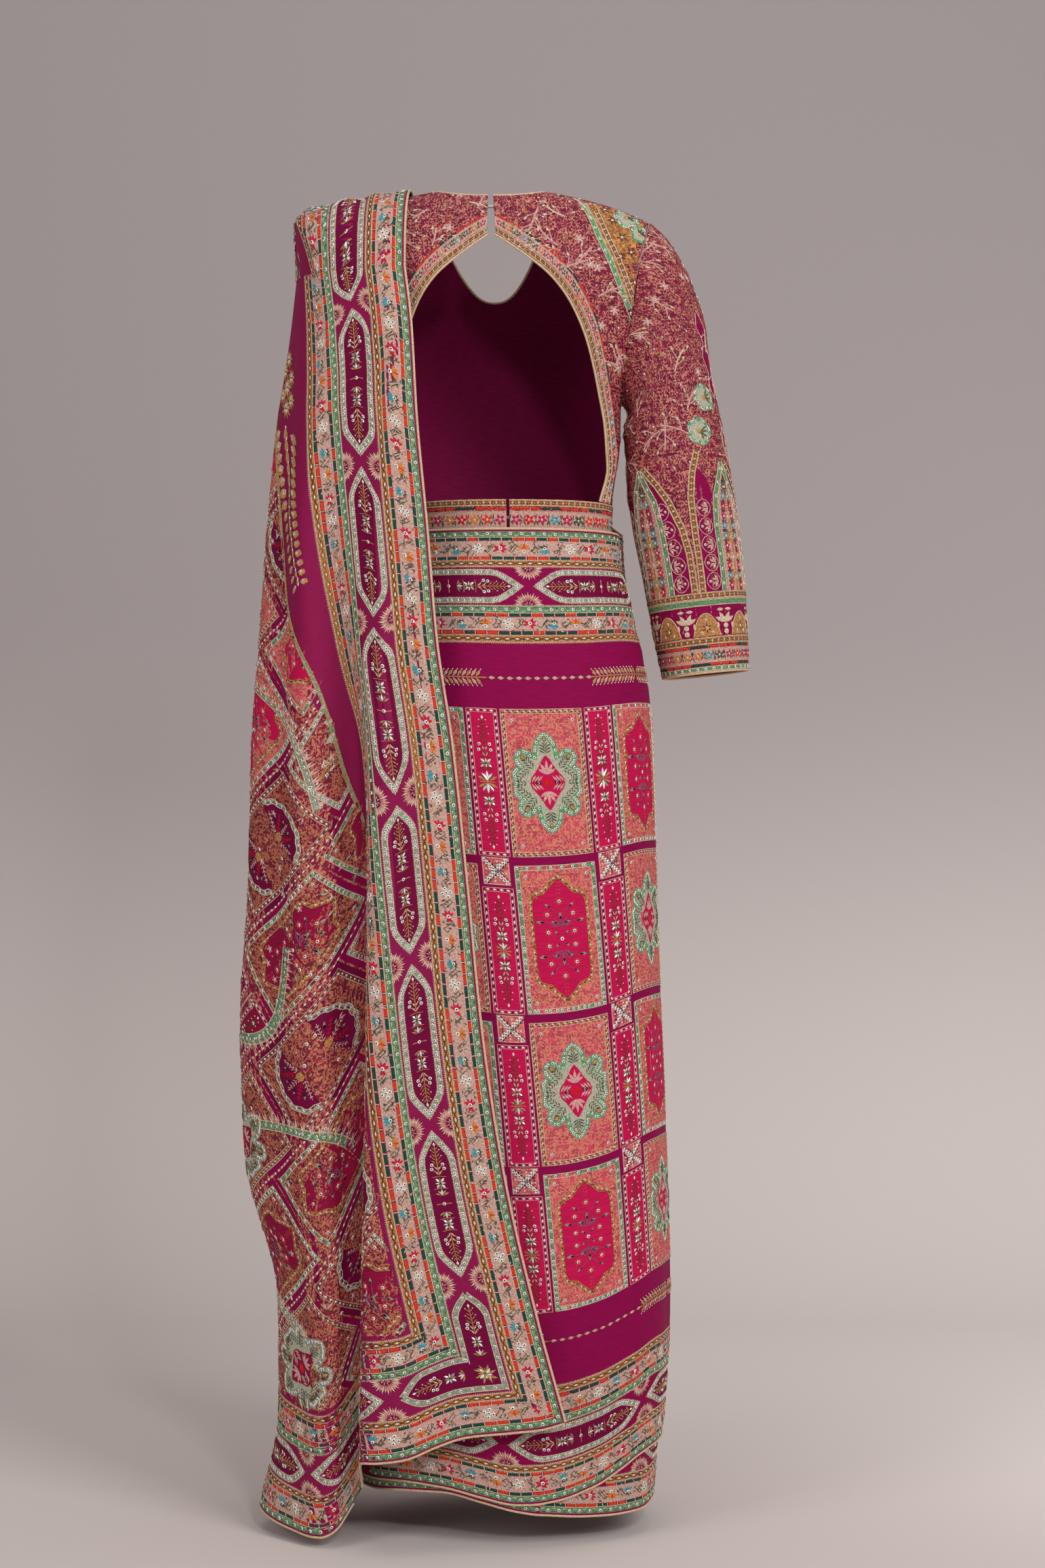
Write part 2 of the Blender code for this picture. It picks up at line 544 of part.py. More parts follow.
def make_mantle():
    """The cloth across the front, over the shoulder and behind, as four stretches."""
    shares = np.array(ROW_SHARES)
    seam_share = (CAP_LEVEL - FRONT_EDGES[0][2]) / (CAP_LEVEL - PALLU_HEM[-1][2])
    rows = np.concatenate([shares * seam_share,
                           np.linspace(seam_share, 1.0, LOWER_ROWS + 1)[1:]])

    def stretch(stations, edges, row_shares):
        stations = np.array(stations, float)[:, None]
        top = column(edges, EDGE_COLUMNS, "top", stations)
        bottom = column(edges, EDGE_COLUMNS, "bottom", stations)
        return mantle_point(stations, top + row_shares[None, :] * (bottom - top))

    arm_side = BACK_STATIONS + OUTER_STATIONS[1:] + ARM_STATIONS[1:]
    front_side = CORNER_STATIONS + FRONT_STATIONS[1:]
    pallu = stretch(arm_side, PALLU_HEM, rows)
    front = stretch(front_side, FRONT_EDGES, shares)
    pallu_out = outward(pallu, grid_normals(pallu), IN_THE_ARM)
    pallu = pallu + pallu_out * pallu_push(np.array(arm_side, float)[:, None], pallu)[..., None]
    pallu_out = outward(pallu, grid_normals(pallu), IN_THE_ARM)
    front_out = outward(front, grid_normals(front), MIDDLE)
    front = front + front_out * front_push(np.array(front_side, float), shares)[..., None]
    front_out = outward(front, grid_normals(front), MIDDLE)
    seam = unit(pallu_out[-1, :len(shares)] + front_out[0])
    pallu_out[-1, :len(shares)], front_out[0] = seam, seam
    for out in (pallu_out, front_out):
        out[:, 0, 2] = 0
    level_points = np.concatenate([pallu[:, 0], front[1:len(CORNER_STATIONS), 0]])
    level_out = np.concatenate([pallu_out[:, 0], front_out[1:len(CORNER_STATIONS), 0]])
    cap, cap_out = shoulder_cap(level_points, level_out, len(BACK_STATIONS) - 1,
                                len(OUTER_STATIONS) - 1)

    pallu[:, 0, 2] -= SEAM / 2
    front[:len(CORNER_STATIONS), 0, 2] -= SEAM / 2
    valley = BACK_STATIONS.index(VALLEY_STATION)
    behind = shrink(pallu[:valley + 1], 0, 0, SEAM / 2)
    fall = shrink(pallu[valley:], 0, SEAM / 2, 0)
    fall[-1] += unit(fall[-2] - fall[-1]) * SEAM / 2
    front = shrink(front, 0, SEAM / 2, SEAM)
    add_object("pallu_back", *cloth_wall(behind, None, normals=pallu_out[:valley + 1]), "pallu")
    add_object("pallu_fall", *cloth_wall(fall, None, normals=pallu_out[valley:]), "pallu")
    add_object("saree_front", *cloth_wall(front, None, normals=front_out), "saree")
    add_object("pallu_shoulder", *cloth_wall(cap, None, normals=cap_out), "pallu")

    cord_on(behind[0], behind[0] - behind[1], "binding", "binding_pallu_edge")
    cord_on(cap[0], cap[0] - cap[1], "binding", "binding_shoulder_edge")
    for name, cloth in (("binding_pallu_end", behind[:valley - 1]), ("binding_fall_end", fall[2:])):
        cord_on(cloth[:, -1], cloth[:, -1] - cloth[:, -2], "binding", name)


def shoulder_cap(level, level_out, across, along):
    """Cloth over the shoulder and its normals, fitted to the mantle's points at the cap's level."""
    last = len(level) - 1
    grid = np.empty((across + 1, along + 1, 3))
    t = np.linspace(0, 1, along + 1)[:, None]
    for i in range(across + 1):
        share = i / across
        start, end = level[i], level[last - i]
        line = start + (end - start) * (1 - np.cos(math.pi * t)) / 2
        ridge = CAP_RIDGE_INNER + (CAP_RIDGE_OUTER - CAP_RIDGE_INNER) * share - CAP_LEVEL
        rise = ridge * (1 - share ** CAP_SQUARE) ** (1 / CAP_SQUARE)
        line[:, 0] += CAP_BULGE * share ** 2 * np.sin(math.pi * t[:, 0])
        line[:, 2] += rise * np.sin(math.pi * t[:, 0]) ** 0.8
        grid[i] = line
    grid[across] = level[across:across + along + 1]
    normals = grid_normals(grid)
    normals = normals if normals[..., 2].sum() > 0 else -normals
    raise_seam = np.array([0, 0, SEAM / 2])
    for index, run in ((np.s_[:, 0], np.s_[:across + 1]),
                       (np.s_[:, -1], np.s_[last - across:last + 1]),
                       (np.s_[across], np.s_[across:across + along + 1])):
        reverse = index == np.s_[:, -1]
        grid[index] = (level[run][::-1] if reverse else level[run]) + raise_seam
        normals[index] = level_out[run][::-1] if reverse else level_out[run]
    return grid, normals


def back_boundary(share):
    """Outer boundary of a back panel: neck, shoulder, armhole and side, from centre to band."""
    marks = (0.0, 0.22, 0.50, 0.80, 1.0)
    share = np.asarray(share, float)
    neck = np.interp(share, marks[:2], (SLIT, NECK_SIDE))
    neck_height = NECK_BACK + (NECK_SIDE_HEIGHT - NECK_BACK) * (neck / NECK_SIDE) ** 2.2
    ridge = np.interp(share, marks[1:3], (NECK_SIDE, SHOULDER_TIP))
    ridge_height = column(SHOULDER, SHOULDER_COLUMNS, "height", ridge)
    hole_height = np.interp(share, marks[2:4], (SHOULDER_TIP_HEIGHT, ARMPIT))
    hole = column(ARMHOLE, ARMHOLE_COLUMNS, "across", hole_height)
    side_height = np.interp(share, marks[3:], (ARMPIT, BAND_TOP + SEAM))
    side = column(TORSO, TORSO_COLUMNS, "half_width", side_height)
    pick = [share <= marks[1], share <= marks[2], share <= marks[3]]
    return (np.select(pick, [neck, ridge, hole], side),
            np.select(pick, [neck_height, ridge_height, hole_height], side_height))


def make_back_panel(name, sign):
    """Half of the blouse back: a yoke and side strip round the arch."""
    share = np.array(BACK_SHARES)
    across_in = column(ARCH, ARCH_COLUMNS, "across", share)
    height_in = column(ARCH, ARCH_COLUMNS, "height", share)
    across_out, height_out = back_boundary(share)
    s = 1 - (1 - np.linspace(0, 1, 7)[None, :]) ** EDGE_CROWDING
    across = across_in[:, None] + s * (across_out - across_in)[:, None]
    height = height_in[:, None] + s * (height_out - height_in)[:, None]
    grid = torso_point(across * sign, height, 1)
    grid[BACK_RIDGE, -1, 1] += SEAM / 2
    grid[-4:, -1, 1] += SEAM / 2
    add_object(name, *cloth_wall(grid, IN_FRONT_OF_BACK), "blouse")
    side = "left" if sign > 0 else "right"
    cord_on(grid[:, 0], grid[:, 0] - grid[:, 1], "binding", f"binding_arch_{side}")
    neck = grid[:4, -1]
    cord_on(neck, neck - grid[:4, -2], "binding", f"binding_neck_{side}")


def make_front_panel():
    """Front of the blouse, from the band to the shoulders, with a round neck."""
    neck_share = NECK_SIDE / SHOULDER_TIP
    half = np.concatenate([neck_share * np.array(NECK_STEPS), np.linspace(neck_share, 1, 7)[1:]])
    u = np.concatenate([-half[:0:-1], half])[:, None]
    v = 1 - (1 - np.linspace(0, 1, 13)[None, :]) ** EDGE_CROWDING
    shoulder = column(SHOULDER, SHOULDER_COLUMNS, "height", np.abs(u) * SHOULDER_TIP)
    round_neck = NECK_FRONT + (NECK_SIDE_HEIGHT - NECK_FRONT) * (np.abs(u) / neck_share) ** 2.4
    top = np.where(np.abs(u) < neck_share, np.minimum(round_neck, shoulder), shoulder)
    low = BAND_TOP + SEAM
    height = low + v * (top - low)
    hole = column(ARMHOLE, ARMHOLE_COLUMNS, "across", height)
    side = column(TORSO, TORSO_COLUMNS, "half_width", height)
    edge = np.where(height > ARMPIT, hole, side)
    grid = torso_point(u * edge, height, -1)
    grid[..., 1] -= SEAM * np.maximum(np.abs(u) ** 6, v ** 12)
    add_object("blouse_front", *cloth_wall(grid, BEHIND_FRONT), "blouse")
    middle, reach = len(half) - 1, len(NECK_STEPS) - 3
    rim = slice(middle - reach, middle + reach + 1)
    cord_on(grid[rim, -1], grid[rim, -1] - grid[rim, -2], "binding", "binding_neck_front",
            gap=3 * SEAM)


def make_band():
    """Bottom band of the blouse, hooked at the centre back."""
    turns = np.linspace(BAND_GAP, 1 - BAND_GAP, 49)
    angle = np.interp((turns + 0.5) % 1.0 - 0.5, TURNS, ANGLES)
    height = np.linspace(BAND_BOTTOM, BAND_TOP, 3)[None, :]
    wide = column(TORSO, TORSO_COLUMNS, "half_width", height)
    centre = column(TORSO, TORSO_COLUMNS, "centre_x", height)
    deep = np.where(np.cos(angle)[:, None] > 0, column(TORSO, TORSO_COLUMNS, "back", height),
                    column(TORSO, TORSO_COLUMNS, "front", height))
    x = centre + wide * oval(np.sin(angle), TORSO_ROUND)[:, None]
    y = deep * oval(np.cos(angle), TORSO_ROUND)[:, None]
    grid = np.stack(np.broadcast_arrays(x, y, height - WAIST_HEIGHT), axis=-1)
    add_object("blouse_band", *cloth_wall(grid, MIDDLE), "blouse")


def armhole_ring(sign, angle):
    """Points of the armhole, from the shoulder tip round the back to the armpit and on."""
    share = (1 - np.cos(angle)) / 2
    height = SHOULDER_TIP_HEIGHT + (ARMPIT - SHOULDER_TIP_HEIGHT) * share
    across = column(ARMHOLE, ARMHOLE_COLUMNS, "across", height)
    behind = torso_point(across * sign, height, 1)
    before = torso_point(across * sign, height, -1)
    return np.where((np.sin(angle) >= 0)[:, None], behind, before)


def make_sleeve(name, sign, table):
    """Sleeve from the armhole to the cuff, as rings between two silhouettes, in two parts."""
    angle = np.linspace(0, 2 * math.pi, SLEEVE_SIDES, endpoint=False)
    shares = np.array([row[0] for row in table])
    hole = armhole_ring(sign, angle)
    out = np.array([sign, 0, 0.0])
    rings = [hole + out * SLEEVE_GAP]
    for share in shares:
        get = {n: float(column(table, SLEEVE_COLUMNS, n, share)) for n in SLEEVE_COLUMNS[1:]}
        outer = np.array([sign * get["outer_x"], 0, get["outer_h"] - WAIST_HEIGHT])
        inner = np.array([sign * get["inner_x"], 0, get["inner_h"] - WAIST_HEIGHT])
        middle, half = (outer + inner) / 2, (outer - inner) / 2
        ring = middle + np.cos(angle)[:, None] * half
        ring[:, 1] = get["centre_y"] + np.sin(angle) * get["half_depth"]
        blend = min(1.0, share / SLEEVE_HEAD) ** 0.8
        shift = out * SLEEVE_GAP + (ring.mean(axis=0) - hole.mean(axis=0)) * blend
        rings.append((hole + shift) * (1 - blend) + ring * blend)
    grid = np.stack(rings, axis=1)
    middle = grid.mean(axis=0, keepdims=True)
    normals = grid_normals(grid, closed=True)
    normals = normals if np.sum((grid - middle) * normals) > 0 else -normals
    upper = shrink(grid[:, :ELBOW_RING + 1], 1, 0, SEAM / 2)
    lower = shrink(grid[:, ELBOW_RING:], 1, SEAM / 2, 0)
    add_object(name, *cloth_wall(upper, MIDDLE, closed=True, normals=normals[:, :ELBOW_RING + 1]), "blouse")
    add_object(name.replace("sleeve", "sleeve_end"),
               *cloth_wall(lower, MIDDLE, closed=True, normals=normals[:, ELBOW_RING:]), "blouse")


def make_hook(name, height):
    """Flat hook inside the centre back, bent with the cloth it closes."""
    across = np.array([-HOOK_WIDTH / 2, 0, HOOK_WIDTH / 2])[:, None]
    grid = torso_point(across, height + np.array([-HOOK_TALL / 2, HOOK_TALL / 2])[None, :], 1)
    inside = -(CLOTH / 2 + HOOK_THICKNESS / 2 + SEAM)
    verts, faces = cloth_wall(grid, IN_FRONT_OF_BACK, thickness=HOOK_THICKNESS, push=inside)
    add_object(name, verts, faces, "metal")


def main():
    for old in list(bpy.data.objects):
        bpy.data.objects.remove(old, do_unlink=True)
    make_skirt()
    make_mantle()
    make_back_panel("blouse_back_left", 1)
    make_back_panel("blouse_back_right", -1)
    make_front_panel()
    make_band()
    make_sleeve("sleeve_left", 1, SLEEVE_LEFT)
    make_sleeve("sleeve_right", -1, SLEEVE_RIGHT)
    make_hook("hook_neck", NECK_HOOK_HEIGHT)
    make_hook("hook_band", BAND_HOOK_HEIGHT)


main()
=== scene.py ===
"""Looks of the draped saree and its matching blouse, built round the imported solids.

Units are metres, +Z up; the garment faces -Y, so the wearer's left is +X and the camera, which
sees the back, stands on +Y. Patterns are drawn flat in millimetres as small raised shapes, and
each is then laid on its cloth through a chart, the cloth's own flat coordinates.
"""
import math

import bpy
import mathutils
import numpy as np
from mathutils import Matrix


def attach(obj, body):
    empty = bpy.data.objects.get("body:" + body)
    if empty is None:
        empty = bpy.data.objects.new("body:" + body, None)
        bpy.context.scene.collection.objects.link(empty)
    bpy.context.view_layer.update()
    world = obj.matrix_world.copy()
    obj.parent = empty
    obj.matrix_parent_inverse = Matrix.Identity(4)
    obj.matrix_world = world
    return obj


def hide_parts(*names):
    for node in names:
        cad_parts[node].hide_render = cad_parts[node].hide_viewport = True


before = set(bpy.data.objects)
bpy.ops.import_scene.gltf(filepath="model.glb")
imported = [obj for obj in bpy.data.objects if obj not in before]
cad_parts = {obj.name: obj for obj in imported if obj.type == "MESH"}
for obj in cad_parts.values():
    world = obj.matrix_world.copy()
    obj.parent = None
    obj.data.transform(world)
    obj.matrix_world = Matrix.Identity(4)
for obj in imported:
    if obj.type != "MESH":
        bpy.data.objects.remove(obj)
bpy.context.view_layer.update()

def smooth(xs, ys, x):
    """Cubic curve through a short table, with no overshoot between its rows."""
    xs, ys, x = (np.asarray(a, dtype=float) for a in (xs, ys, x))
    order = np.argsort(xs)
    xs, ys = xs[order], ys[order]
    gap = np.diff(xs)
    slope = np.diff(ys) / gap
    tangent = np.zeros_like(ys)
    same = slope[1:] * slope[:-1] > 0
    mean = 2 * slope[1:] * slope[:-1] / np.where(same, slope[1:] + slope[:-1], 1.0)
    tangent[1:-1] = np.where(same, mean, 0.0)
    tangent[0], tangent[-1] = slope[0], slope[-1]
    x = np.clip(x, xs[0], xs[-1])
    k = np.clip(np.searchsorted(xs, x) - 1, 0, len(gap) - 1)
    f = (x - xs[k]) / gap[k]
    return (ys[k] * (1 + 2 * f) * (1 - f) ** 2 + ys[k + 1] * f * f * (3 - 2 * f)
            + gap[k] * (tangent[k] * f * (1 - f) ** 2 - tangent[k + 1] * f * f * (1 - f)))


class Table:
    """Rows of numbers; a named column is read at a value of the first one."""

    def __init__(self, names, *rows):
        self.names, self.rows = names.split(), rows

    def __call__(self, name, at):
        place = self.names.index(name)
        return smooth([row[0] for row in self.rows], [row[place] for row in self.rows], at)


# Driving sizes
WAIST_HEIGHT = 1.080       # top edge of the saree above the ground
CLOTH = 0.0016             # thickness of a cloth wall
SEAM = 0.0004              # gap between pieces that meet at a seam
LAYER = 0.0034             # from the first wrap to the second
WRAP_GROWTH = 0.0026       # what the first wrap spirals out in one turn

# Round shapes are superellipses
SKIRT_ROUND = 2.2
MANTLE_ROUND = 2.4

# Skirt, outside of the second wrap
SKIRT = Table(
    "height half_width front back",
    (1.085, 0.1205, 0.0930, 0.0900),
    (1.045, 0.1240, 0.0980, 0.0970),
    (1.016, 0.1310, 0.1030, 0.1060),
    (0.958, 0.1440, 0.1120, 0.1190),
    (0.902, 0.1550, 0.1170, 0.1270),
    (0.819, 0.1595, 0.1200, 0.1310),
    (0.638, 0.1645, 0.1240, 0.1290),
    (0.448, 0.1720, 0.1290, 0.1300),
    (0.246, 0.1776, 0.1350, 0.1360),
    (0.166, 0.1745, 0.1350, 0.1360),
    (0.076, 0.1665, 0.1310, 0.1320),
    (0.020, 0.1630, 0.1290, 0.1300),
)

# Hems round the body, by the share of a turn from the centre back towards the wearer's left
HEM = Table(
    "turn first_wrap second_wrap",
    (-0.50, 0.040, 0.050),
    (-0.41, 0.038, 0.052),
    (-0.27, 0.034, 0.098),
    (-0.22, 0.034, 0.0995),
    (-0.18, 0.031, 0.0975),
    (-0.14, 0.030, 0.083),
    (-0.10, 0.031, 0.063),
    (-0.05, 0.036, 0.0515),
    (-0.01, 0.041, 0.049),
    (0.03, 0.050, 0.056),
    (0.08, 0.059, 0.0655),
    (0.12, 0.058, 0.068),
    (0.18, 0.052, 0.064),
    (0.30, 0.042, 0.054),
    (0.40, 0.040, 0.048),
    (0.50, 0.040, 0.050),
)

# Soft folds of both wraps, which deepen towards the hem
SKIRT_FOLDS = (            # turn, width, depth
    (-0.170, 0.030, 0.0040), (-0.095, 0.026, -0.0035), (-0.020, 0.034, 0.0030),
    (0.065, 0.030, -0.0030), (0.150, 0.034, 0.0040), (0.310, 0.040, 0.0050),
)
SKIRT_FOLD_TOP = 0.80

SIDE_SEAM = -0.27          # turn at which the second wrap becomes the front drape
FIRST_WRAP_START = -0.44   # turn at which the tucked-in end of the first wrap starts
FIRST_WRAP_TURNS = 1.03    # a little more than once round, so that its ends overlap
FIRST_WRAP_DROP = 0.003    # its top edge below the second wrap's
PLEATS_LEFT = 0.40         # turn at which the pleats become the second wrap
PLEATS_RIGHT = 0.585
PLEAT_COUNT = 6
PLEAT_DEPTH = Table("height depth", (1.080, 0.0012), (0.900, 0.0040), (0.500, 0.0080), (0.045, 0.0110))
PLEAT_START = (0.0, 0.0)   # flat where the pleats leave the second wrap
PLEAT_SHAPE = (0.0, 1.0, 0.66, 0.33)

# Mantle: the stretch that crosses the front, passes over the left shoulder and hangs behind
MANTLE = Table(
    "height inner_x inner_y fold_x fold_y valley_x valley_y rear_x rear_y out_x out_y front right",
    (1.360, 0.1120, 0.098, 0.152, 0.093, 0.178, 0.081, 0.205, 0.062, 0.2330, 0.000, 0.1240, 0.150),
    (1.300, 0.1045, 0.114, 0.152, 0.105, 0.181, 0.090, 0.210, 0.068, 0.2400, 0.000, 0.1500, 0.150),
    (1.200, 0.0985, 0.121, 0.153, 0.111, 0.187, 0.094, 0.222, 0.071, 0.2545, 0.000, 0.1480, 0.145),
    (1.080, 0.0870, 0.128, 0.151, 0.118, 0.188, 0.095, 0.232, 0.074, 0.2665, 0.000, 0.1240, 0.134),
    (0.960, 0.0765, 0.138, 0.147, 0.130, 0.177, 0.092, 0.232, 0.078, 0.2725, 0.002, 0.1300, 0.148),
    (0.850, 0.0600, 0.145, 0.141, 0.143, 0.160, 0.093, 0.226, 0.088, 0.2800, 0.006, 0.1400, 0.160),
    (0.700, 0.0440, 0.148, 0.143, 0.148, 0.152, 0.098, 0.222, 0.098, 0.2835, 0.010, 0.1500, 0.166),
    (0.550, 0.0290, 0.150, 0.145, 0.151, 0.152, 0.101, 0.220, 0.104, 0.2920, 0.014, 0.1590, 0.171),
    (0.400, 0.0060, 0.152, 0.148, 0.154, 0.154, 0.104, 0.212, 0.108, 0.2860, 0.016, 0.1660, 0.177),
    (0.250, -0.0285, 0.155, 0.151, 0.156, 0.156, 0.108, 0.200, 0.112, 0.2520, 0.020, 0.1710, 0.182),
    (0.130, -0.0612, 0.157, 0.153, 0.158, 0.158, 0.111, 0.198, 0.118, 0.2520, 0.022, 0.1720, 0.178),
    (0.010, -0.0900, 0.158, 0.154, 0.158, 0.159, 0.112, 0.200, 0.126, 0.2760, 0.028, 0.1720, 0.172),
)
# Stations along the mantle's plan are numbers from 0 at the inner edge behind: 2 is the flap's
# fold, 5 the outermost point, 8 the front of the shoulder, 9 the centre front, 13 the side seam
VALLEY_STATION = 3
ARM_FRONT = 7              # seam where the cloth on the arm meets the front drape
QUARTER_STEPS = 4
CAP_LEVEL = 1.360          # height at which the cloth over the shoulder meets the hanging cloth

PALLU_HEM = Table(
    "station top bottom",
    (0.0, CAP_LEVEL, 0.1400), (0.25, CAP_LEVEL, 0.1335), (0.5, CAP_LEVEL, 0.1310), (1.0, CAP_LEVEL, 0.1255),
    (1.25, CAP_LEVEL, 0.1170), (1.5, CAP_LEVEL, 0.1055), (1.75, CAP_LEVEL, 0.1015), (2.0, CAP_LEVEL, 0.0990),
    (3.0, CAP_LEVEL, 0.0560), (4.0, CAP_LEVEL, 0.0130), (5.0, CAP_LEVEL, 0.0260),
    (6.0, CAP_LEVEL, 0.0300), (7.0, CAP_LEVEL, 0.0500),
)
FRONT_EDGES = Table(
    "station top bottom",
    (7.0, CAP_LEVEL, 0.880), (8.0, CAP_LEVEL, 0.790), (9.0, 1.245, 0.600), (10.0, 1.155, 0.400),
    (11.0, 1.110, 0.245), (12.0, 1.086, 0.145), (13.0, 1.080, 0.098),
)
# Soft folds of the cloth that hangs behind and round the arm
PALLU_FOLDS = (            # station, width, depth, top
    (0.95, 0.28, -0.0030, 1.15),
    (1.55, 0.22, 0.0030, 1.20),
    (3.67, 0.26, 0.0070, 1.20),
    (4.33, 0.24, -0.0090, 1.28),
    (5.33, 0.26, -0.0080, 1.05),
    (6.25, 0.26, 0.0080, 0.95),
    (6.62, 0.20, -0.0060, 0.90),
)
PALLU_FOLD_EASE = 0.16     # height over which a fold fades in
# Diagonal folds across the front; the share is of the way from the upper edge to the lower
FRONT_FOLDS = (            # share, width, depth, station where it fades
    (0.075, 0.030, 0.0050, 11.5), (0.150, 0.035, -0.0030, 11.0), (0.240, 0.045, 0.0060, 12.0),
    (0.410, 0.060, -0.0040, 11.5), (0.540, 0.070, 0.0060, 12.4), (0.800, 0.080, 0.0050, 12.0),
)
CAP_RIDGE_INNER = 1.4600   # the shoulder ridge at its inner edge and near the arm
CAP_RIDGE_OUTER = 1.4400
CAP_SQUARE = 7.0           # how square the ridge turns down over the arm
CAP_BULGE = 0.0280

# Torso: the blouse, on a general figure
TORSO = Table(
    "height centre_x half_width front back",
    (1.070, 0.0000, 0.1121, 0.0847, 0.0817),
    (1.114, 0.0010, 0.1140, 0.0900, 0.0850),
    (1.180, 0.0050, 0.1265, 0.1120, 0.0910),
    (1.226, 0.0090, 0.1320, 0.1290, 0.0960),
    (1.280, 0.0130, 0.1500, 0.1340, 0.1000),
    (1.340, 0.0160, 0.1720, 0.1160, 0.0990),
    (1.390, 0.0180, 0.1900, 0.0960, 0.0920),
    (1.460, 0.0200, 0.2050, 0.0700, 0.0800),
)
TORSO_ROUND = 2.3
BAND_TOP = 1.1135
BAND_BOTTOM = 1.0740
BAND_GAP = 0.0022          # half of its opening at the centre back, as a share of a turn
ARMPIT = 1.226
NECK_SIDE = 0.068          # from the centre line to the neck edge on the shoulder
NECK_SIDE_HEIGHT = 1.456
SHOULDER_TIP = 0.172
SHOULDER_TIP_HEIGHT = 1.4225
SHOULDER = Table(
    "across height",
    (0.000, 1.470), (0.068, 1.456), (0.120, 1.444), (0.172, 1.424), (0.210, 1.400),
)
SHOULDER_ROUNDING = 0.075  # how far below the shoulder line the back and front come forward
RIDGE_Y = 0.004

NECK_BACK = 1.4420         # neck edge at the centre back
NECK_FRONT = 1.3550
SLIT = 0.0030              # half of the gap at the centre back

ARMHOLE = Table(
    "height across",
    (ARMPIT, 0.1320), (1.245, 0.1335), (1.270, 0.1380), (1.330, 0.1500), (1.380, 0.1600),
    (SHOULDER_TIP_HEIGHT, SHOULDER_TIP),
)

# Arch cut out of the back, by its height and its distance from the centre line
ARCH = Table(
    "share height across",
    (0.00, 1.3970, 0.0045), (0.12, 1.3780, 0.0320), (0.26, 1.3510, 0.0640), (0.38, 1.3220, 0.0840),
    (0.52, 1.2800, 0.0995), (0.66, 1.2350, 0.1070), (0.80, 1.1900, 0.1110), (0.90, 1.1540, 0.1110),
    (1.00, 1.1142, 0.1005),
)

# Sleeves: outer and inner silhouettes of one ring in a row
SLEEVE_GAP = 0.0017        # from the armhole's edge to the sleeve's first ring
SLEEVE_HEAD = 0.22         # share of the sleeve over which its rings turn from the armhole
SLEEVE_COLUMNS = "share outer_x outer_h inner_x inner_h half_depth centre_y"
SLEEVE_RIGHT = Table(
    SLEEVE_COLUMNS,
    (0.06, 0.1900, 1.390, 0.1250, 1.2200, 0.0620, 0.002),
    (0.14, 0.2075, 1.350, 0.1262, 1.2130, 0.0610, 0.001),
    (0.22, 0.2164, 1.307, 0.1272, 1.2040, 0.0590, 0.000),
    (0.30, 0.2205, 1.264, 0.1277, 1.1920, 0.0570, 0.000),
    (0.38, 0.2290, 1.226, 0.1277, 1.1760, 0.0560, -0.001),
    (0.50, 0.2400, 1.172, 0.1310, 1.1400, 0.0560, -0.003),
    (0.64, 0.2515, 1.099, 0.1385, 1.0850, 0.0560, -0.006),
    (0.76, 0.2580, 1.045, 0.1490, 1.0350, 0.0550, -0.009),
    (0.88, 0.2620, 0.991, 0.1580, 0.9840, 0.0520, -0.012),
    (1.00, 0.2640, 0.9365, 0.1700, 0.9265, 0.0480, -0.015),
)
SLEEVE_LEFT = Table(
    SLEEVE_COLUMNS,
    (0.06, 0.1985, 1.390, 0.1412, 1.2200, 0.0590, 0.002),
    (0.14, 0.2080, 1.350, 0.1424, 1.2130, 0.0570, 0.001),
    (0.22, 0.2150, 1.307, 0.1434, 1.2040, 0.0550, 0.000),
    (0.30, 0.2205, 1.264, 0.1440, 1.1920, 0.0530, 0.000),
    (0.38, 0.2265, 1.226, 0.1445, 1.1760, 0.0520, 0.000),
    (0.50, 0.2345, 1.172, 0.1460, 1.1400, 0.0520, 0.000),
    (0.64, 0.2430, 1.099, 0.1490, 1.0850, 0.0520, 0.000),
    (0.76, 0.2480, 1.045, 0.1530, 1.0350, 0.0510, 0.000),
    (0.88, 0.2510, 0.991, 0.1570, 0.9840, 0.0490, 0.000),
    (1.00, 0.2520, 0.9365, 0.1620, 0.9265, 0.0460, 0.000),
)


def bump(at, centre, width):
    return np.exp(-((at - centre) / width) ** 2)


def ease(share):
    share = np.clip(share, 0, 1)
    return share * share * (3 - 2 * share)


def oval(cosine, power):
    """Signed power of a cosine or sine, which turns an ellipse into a superellipse."""
    return np.sign(cosine) * np.abs(cosine) ** (2.0 / power)


def turn_angles():
    """Angle from the centre back for each share of a turn, even along the cloth at mid height."""
    angle = np.linspace(-math.pi, math.pi, 721)
    x = SKIRT("half_width", 0.6) * oval(np.sin(angle), SKIRT_ROUND)
    y = SKIRT("back", 0.6) * oval(np.cos(angle), SKIRT_ROUND)
    length = np.concatenate([[0.0], np.cumsum(np.hypot(np.diff(x), np.diff(y)))])
    return length / length[-1] - 0.5, angle


TURNS, ANGLES = turn_angles()


def skirt_point(turn, height, lift):
    """Point on the skirt: lift is measured out from the middle of the second wrap's wall."""
    turn, height = np.broadcast_arrays(np.asarray(turn, float), np.asarray(height, float))
    turn = (turn + 0.5) % 1.0 - 0.5
    angle = np.interp(turn, TURNS, ANGLES)
    wave = sum(depth * bump(turn, at, width) for at, width, depth in SKIRT_FOLDS)
    deepen = np.clip(1 - height / SKIRT_FOLD_TOP, 0, 1) ** 1.5
    out = lift - CLOTH / 2 + wave * deepen
    wide = SKIRT("half_width", height) + out
    front = SKIRT("front", height) + out
    back = SKIRT("back", height) + out
    deep = np.where(np.cos(angle) > 0, back, front)
    return np.stack([wide * oval(np.sin(angle), SKIRT_ROUND), deep * oval(np.cos(angle), SKIRT_ROUND),
                     height - WAIST_HEIGHT], axis=-1)


